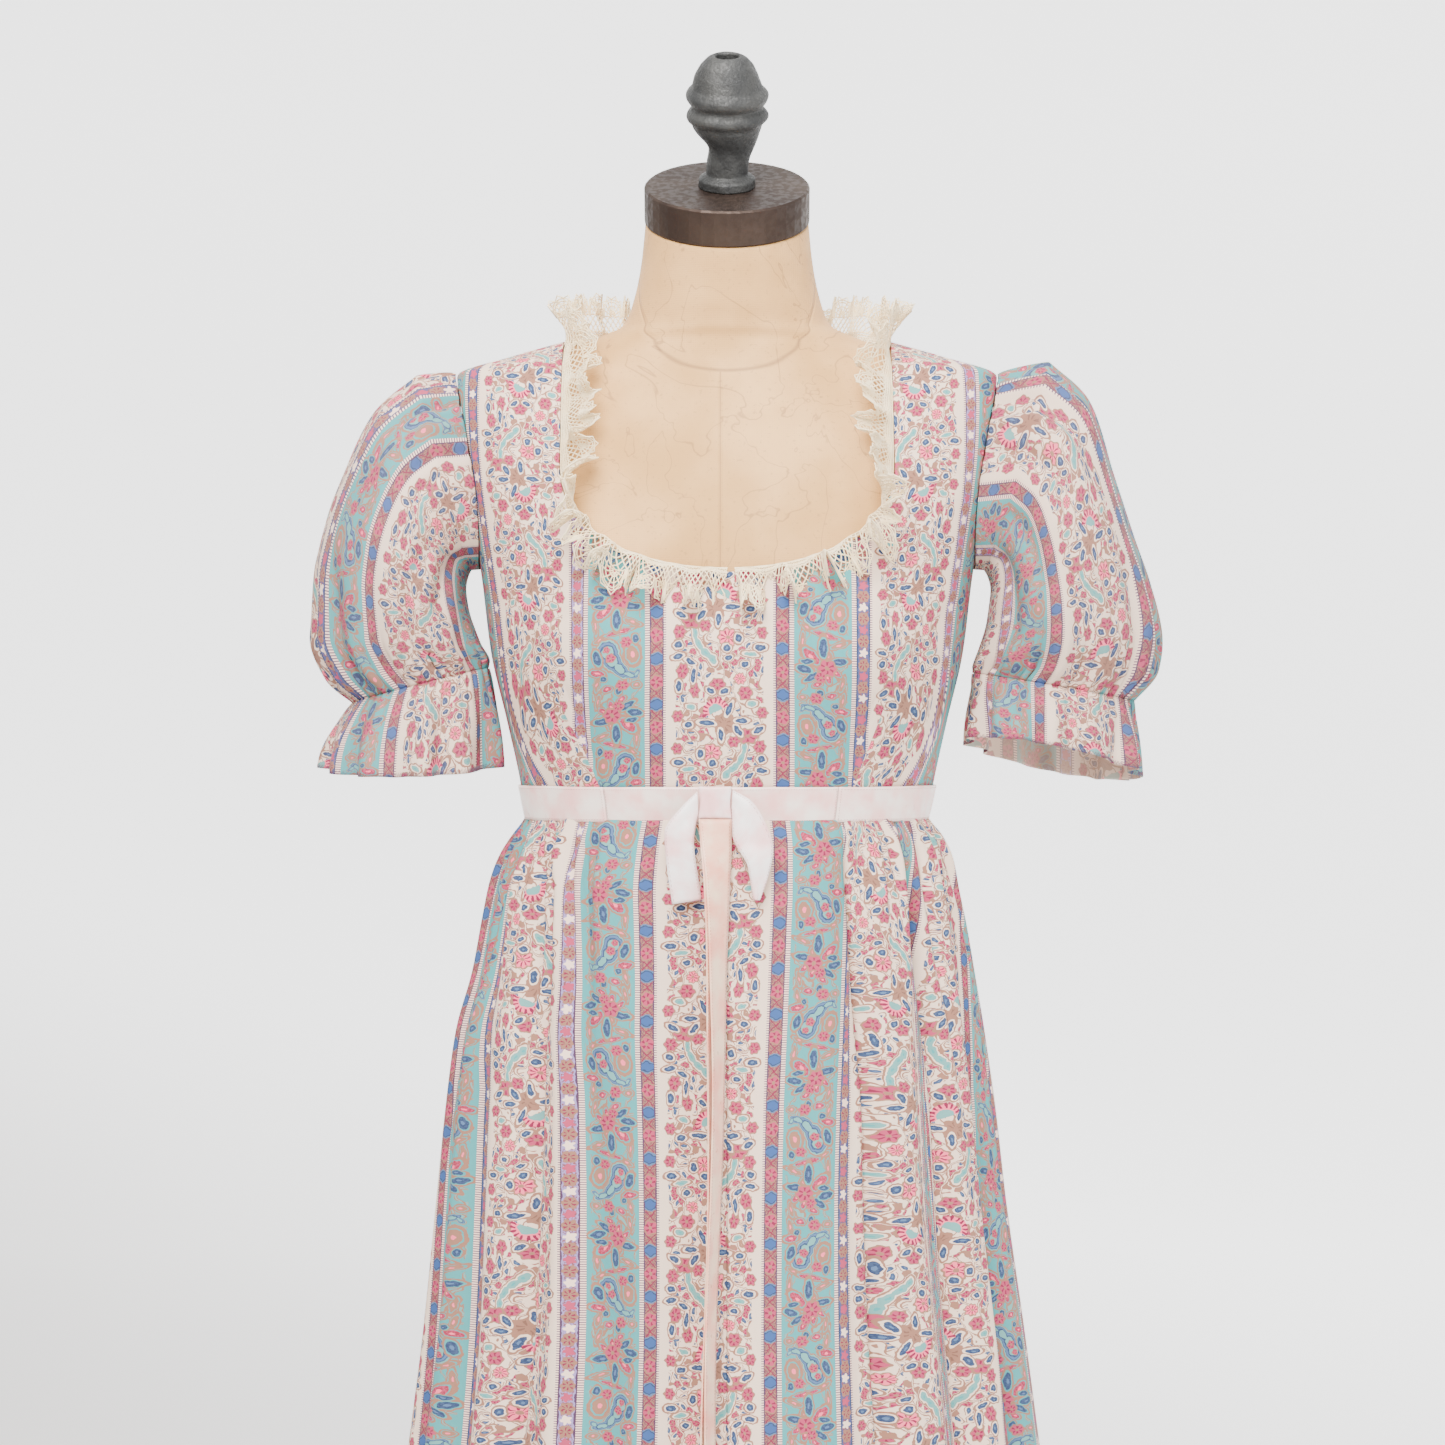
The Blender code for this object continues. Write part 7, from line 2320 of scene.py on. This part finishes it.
def build_torso():
    z = np.concatenate([np.linspace(FORM_BOTTOM_Z, 1.40, 90), np.linspace(1.40, NECK_TOP_Z, 70)[1:]])
    azimuth = np.linspace(-math.pi, math.pi, 144, endpoint=False)
    tuck = FORM_TUCK * smoothstep((1.470 - z) / 0.012)[:, None]
    rings = over_body(azimuth[None], z[:, None], -tuck - 0.0002)
    foot = FORM_BOTTOM_INSET * (1 - smoothstep((z - FORM_BOTTOM_Z) / 0.02))[:, None, None]
    rings[..., :2] *= 1 - foot / np.linalg.norm(rings[..., :2], axis=-1, keepdims=True)
    rings[0, :, 2] = FORM_BOTTOM_Z
    centre, axis = neck_axis()
    rings[-1] -= ((rings[-1] - centre) @ axis)[:, None] * axis
    return closed_rings("torso_cover", rings, linen)


torso = build_torso()
print("torso faces:", len(torso.data.polygons))

# %% The finial, cast and a little rough
FINIAL_TURNING = (
    (0.0070, 0.0790), (0.0078, 0.0903), (0.0095, 0.0915), (0.0135, 0.0897), (0.0180, 0.0848),
    (0.0217, 0.0778), (0.0239, 0.0706), (0.0245, 0.0692), (0.0262, 0.0676), (0.0279, 0.0650),
    (0.0282, 0.0632), (0.0278, 0.0610), (0.0262, 0.0588), (0.0250, 0.0577), (0.0244, 0.0562),
    (0.0248, 0.0550), (0.0266, 0.0534), (0.0279, 0.0514), (0.0280, 0.0494), (0.0270, 0.0472),
    (0.0252, 0.0455), (0.0243, 0.0440), (0.0238, 0.0412), (0.0214, 0.0343), (0.0180, 0.0264),
    (0.0158, 0.0209), (0.0146, 0.0152), (0.0143, 0.0088), (0.0182, 0.0064), (0.0193, 0.0056),
    (0.0195, 0.0000),
)
CAP_THICKNESS = 0.0255


def build_finial():
    """The profile turned in fine steps, with the casting's lumps left on."""
    profile = np.array(FINIAL_TURNING)
    run = run_along(profile)
    fine = np.linspace(0, run[-1], 160)
    radius, height = np.interp(fine, run, profile[:, 0]), np.interp(fine, run, profile[:, 1])
    for row in (radius, height):
        row[1:-1] = (row[:-2] + 2 * row[1:-1] + row[2:]) / 4
    turn = np.linspace(0, 2 * math.pi, 72, endpoint=False)[None]
    down = fine[:, None]
    lumps = 1 + 0.012 * np.sin(3 * turn + down * 140) + 0.010 * np.sin(7 * turn - down * 260)
    dent = 1 - 0.30 * bell(height[:, None] - 0.028, 0.009) * (0.5 - 0.5 * np.cos(turn))
    wide = radius[:, None] * lumps * dent
    centre, axis = neck_axis()
    seat = centre + axis * (CAP_THICKNESS + 2 * SEAM_GAP)
    side_axis = np.array([1.0, 0, 0])
    ahead_axis = np.array([0, math.cos(NECK_TILT), math.sin(NECK_TILT)])
    rings = seat + wide[..., None] * (
        np.cos(turn)[..., None] * side_axis + np.sin(turn)[..., None] * ahead_axis
    ) + height[:, None, None] * axis
    return closed_rings("cast_finial", rings, iron, inward=True)


finial = build_finial()
print("finial faces:", len(finial.data.polygons))

# %% [markdown]
# ## Stitches and the zip's coil
#
# A hem is finished by an overlocker, whose thread winds round the raw edge. The
# ribbon is held by rows of short running stitches. Every stitch lies on the
# outer face of its sheet, at a share of the sheet's width and height, so it
# follows each fold. The zip's teeth are one nylon thread wound as a coil.

# %% Places on a sewn sheet


def on_sheet(name, across, up, lift):
    """Points over a sheet's outer face, at shares of its columns and of its rows."""
    grid, wall = SEWN[name]
    across, up, lift = np.broadcast_arrays(across, up, lift)
    row, column = np.clip(up, 0, 1) * (len(grid) - 1), np.clip(across, 0, 1) * (grid.shape[1] - 1)
    r, c = np.minimum(row.astype(int), len(grid) - 2), np.minimum(column.astype(int), grid.shape[1] - 2)
    corners = grid[r, c], grid[r, c + 1], grid[r + 1, c], grid[r + 1, c + 1]
    share_r, share_c = (row - r)[:, None], (column - c)[:, None]
    low = corners[0] * (1 - share_c) + corners[1] * share_c
    high = corners[2] * (1 - share_c) + corners[3] * share_c
    normal = unit(np.cross(corners[1] - corners[0] + corners[3] - corners[2], high - low))
    return low * (1 - share_r) + high * share_r + normal * (wall + lift)[:, None]


def running_stitches(name, start, end, count):
    """Short stitches in a row from start to end, each a share (across, up)."""
    share = ((np.arange(count)[:, None] + np.array([0.05, 0.2, 0.5, 0.62])) / count).reshape(-1)
    across = start[0] + (end[0] - start[0]) * share
    up = start[1] + (end[1] - start[1]) * share
    lift = np.tile([-0.0001, 0.0001, 0.0001, -0.0001], count)
    return list(on_sheet(name, across, up, lift).reshape(count, 4, 3))


def overlock(name, count, edge, inner, phase):
    """One thread that winds between the sheet's edge and a line inside it."""
    steps = (np.arange(2 * count + 1) + phase) / (2 * count)
    up = np.where(np.arange(2 * count + 1) % 2, inner, edge)
    return [on_sheet(name, steps, up, 0.00008)]


# %% Threads in their own colours
pink_thread = cotton_finish("pink thread", seen(186, 84, 112), seen(160, 66, 94))
blue_thread = cotton_finish("blue thread", seen(104, 128, 166), seen(84, 106, 146))
ribbon_thread = cotton_finish("pale pink thread", seen(206, 160, 160), seen(190, 142, 144))
peach_thread = cotton_finish("peach thread", seen(206, 156, 132), seen(188, 136, 114))
STITCHES = []


def sew(piece, slot_name):
    STITCHES.append((piece, slot_name))
    return triangles(piece)


OVERLOCK_LOOPS = 210
OVERLOCK = (
    ("frill_overlock_pink_", 0.945, 0.0, 0.00016, pink_thread),
    ("frill_overlock_blue_", 0.955, 0.5, 0.00014, blue_thread),
)
made_count = 0
for word in SIDE_WORD.values():
    for name, inner, phase, radius, thread in OVERLOCK:
        lines = overlock("frill_cloth_" + word, OVERLOCK_LOOPS, 1.0, inner, phase)
        made_count += sew(yarn(name + word, lines, radius, thread), "print_cloth")
print("triangles of overlocking:", made_count)

# %% Running stitches along the ribbons
RIBBON_ROWS = (
    ("sash_ribbon_front", 88, "edges"), ("sash_ribbon_left", 140, "edges"),
    ("sash_ribbon_right", 142, "edges"), ("bow_ribbon_left", 34, "sides"),
    ("bow_ribbon_right", 34, "sides"), ("tail_ribbon_left", 300, "sides"),
    ("tail_ribbon_right", 270, "sides"),
)
for name, count, kind in RIBBON_ROWS:
    lines = []
    for level in (0.07, 0.93):
        lines += running_stitches(name, (0.004, level), (0.996, level), count)
    if kind == "edges":
        for place in (0.006, 0.994):
            lines += running_stitches(name, (place, 0.08), (place, 0.92), 11)
    thread = peach_thread if name.startswith("tail") else ribbon_thread
    made_count = sew(yarn(name + "_stitches", lines, 0.00013, thread, sides=3), "satin")
    print(name, "stitches:", len(lines), "triangles:", made_count)

# %% The zip's coil down the centre back
ZIP_EASE = 0.0010
ZIP_TOP_Z = 1.452
COIL_PITCH = 0.0015
COIL_BELOW_TOP = 0.024
COIL_ABOVE_FOOT = 0.003
ZIP_WALL = 0.0018


def zip_line(z):
    """Centre back line of the cloth's inner face, over the bodice and the skirt."""
    azimuth = np.full(np.shape(z), math.pi)
    bodice = eased(azimuth, np.maximum(z, SEAM_Z), ZIP_EASE)[..., 1]
    skirt = skirt_point("back", 1, 0.0, np.minimum(z, SEAM_Z))[..., 1]
    return np.where(z > SEAM_Z, bodice, skirt)


def coil(x, radius, phase):
    turns = (ZIP_TOP_Z - COIL_BELOW_TOP - ZIP_BOTTOM_Z - COIL_ABOVE_FOOT) / COIL_PITCH
    turn = np.linspace(0, 2 * math.pi * turns, int(turns * 8))
    z = ZIP_BOTTOM_Z + COIL_ABOVE_FOOT + COIL_PITCH * turn / (2 * math.pi)
    y = zip_line(z) - 0.0002 + ZIP_WALL + radius * (0.75 + 0.9 * np.cos(turn + phase))
    return np.stack([x + 1.25 * radius * np.sin(turn + phase), y, z], axis=-1)


nylon_coil = cotton_finish("zip coil", seen(226, 212, 208), seen(208, 192, 190))
coils = [coil(-0.0007, 0.0006, 0.0), coil(0.0007, 0.0006, math.pi)]
zip_coil = yarn("zip_coil", coils, 0.00022, nylon_coil)
made_count = sew(zip_coil, "zip_nylon")
print("zip coil triangles:", made_count)

# %% [markdown]
# ## Handing over
#
# Every piece is attached to the body it rides on, and the solid it stands for
# is hidden. Each sheet also states the size it was cut to before it was sewn
# and hung.

# %% Finishes for the solids that stay


def nylon_finish():
    material, shader, start = new_finish("zip tape", 0.6, sheen=0.1)
    place = object_place(start)
    weave = noise(place, 1800.0, 2.0)
    feed(shader, "Base Color", blend(weave, seen(226, 214, 208), seen(206, 190, 186)))
    bumped(shader, weave, 0.0002, 0.6)
    return material


def nickel_finish():
    material, shader, start = new_finish("nickel", 0.28, metallic=1.0)
    place = object_place(start)
    scuff = noise(place, 700.0, 3.0)
    feed(shader, "Base Color", blend(scuff, seen(196, 192, 186), seen(170, 166, 160)))
    feed(shader, "Roughness", scuff.ramp(0.3, 0.7, 0.2, 0.42))
    return material


zip_tape_finish, nickel = nylon_finish(), nickel_finish()
KEPT = {
    "form_cap": bronze, "form_pole": bronze, "form_base": bronze,
    "zip_tape": zip_tape_finish, "zip_slider": nickel, "zip_pull": nickel,
}
for node, finish in KEPT.items():
    for place in nodes[node].material_slots:
        place.material = finish
print("solids refinished:", len(KEPT))

# %% Which piece stands for which solid


def hand_over(piece, slot_name, *stands_for):
    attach(piece, BODY)
    if stands_for:
        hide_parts(*stands_for)


hand_over(torso, "linen", "form_body")
hand_over(finial, "iron", "form_finial")
hand_over(knot, "satin", "bow_knot")
for piece, slot_name in STITCHES:
    hand_over(piece, slot_name)


def pattern_size(piece):
    """Width, length and area of the sheet's own flat pattern, in metres: what is cut from the bolt."""
    mesh = piece.data
    flat = np.zeros(2 * len(mesh.loops))
    mesh.uv_layers["UVMap"].data.foreach_get("uv", flat)
    flat = flat.reshape(-1, 2)
    mesh.calc_loop_triangles()
    corners = np.zeros(3 * len(mesh.loop_triangles), dtype=int)
    mesh.loop_triangles.foreach_get("loops", corners)
    first, second, third = flat[corners.reshape(-1, 3)].transpose(1, 0, 2)
    one, other = second - first, third - first
    area = np.abs(one[:, 0] * other[:, 1] - one[:, 1] * other[:, 0]).sum() / 2 / SHEET_FACES
    width, length = np.ptp(flat, axis=0)
    return round(float(width), 4), round(float(length), 4), round(float(area), 4)


CUT = [
    (bodice_front, "bodice_front", "print_cloth", "stretched", ["torso_cover"]),
    (skirt_front, "skirt_front", "print_cloth", "gathered", ["bodice_front_cloth"]),
    (sashes["sash_front"], "sash_front", "satin", "laid", ["bodice_front_cloth"]),
    (sashes["sash_left"], "sash_left", "satin", "laid", ["bodice_back_cloth_left"]),
    (sashes["sash_right"], "sash_right", "satin", "laid", ["bodice_back_cloth_right"]),
    (bow_ends["bow_end_left"], "bow_end_left", "satin", "hung", ["bow_knot_ribbon"]),
    (bow_ends["bow_end_right"], "bow_end_right", "satin", "hung", ["bow_knot_ribbon"]),
    (tails["tail_left"], "tail_left", "satin", "hung", ["bow_knot_ribbon"]),
    (tails["tail_right"], "tail_right", "satin", "hung", ["bow_knot_ribbon"]),
]
for side, word in SIDE_WORD.items():
    bodice_back = "bodice_back_cloth_" + word
    CUT += [
        (bodice_backs[side], "bodice_back_" + word, "print_cloth", "stretched", ["torso_cover"]),
        (skirt_backs[side], "skirt_back_" + word, "print_cloth", "gathered", [bodice_back]),
        (sleeves[side], "sleeve_" + word, "print_cloth", "gathered", [bodice_back]),
        (frills[side], "frill_" + word, "print_cloth", "gathered", ["sleeve_cloth_" + word]),
    ]
for piece, node, slot_name, held, rests_on in CUT:
    hand_over(piece, slot_name, node)
    width, length, area = pattern_size(piece)
    print(piece.name, "flat", width, length, "area", area)
for side, word in SIDE_WORD.items():
    hand_over(laces[side], "lace", "lace_" + word)
    length = round(LACE_LENGTH[side], 4)
    print(laces[side].name, "flat", length, LACE_WIDTH)
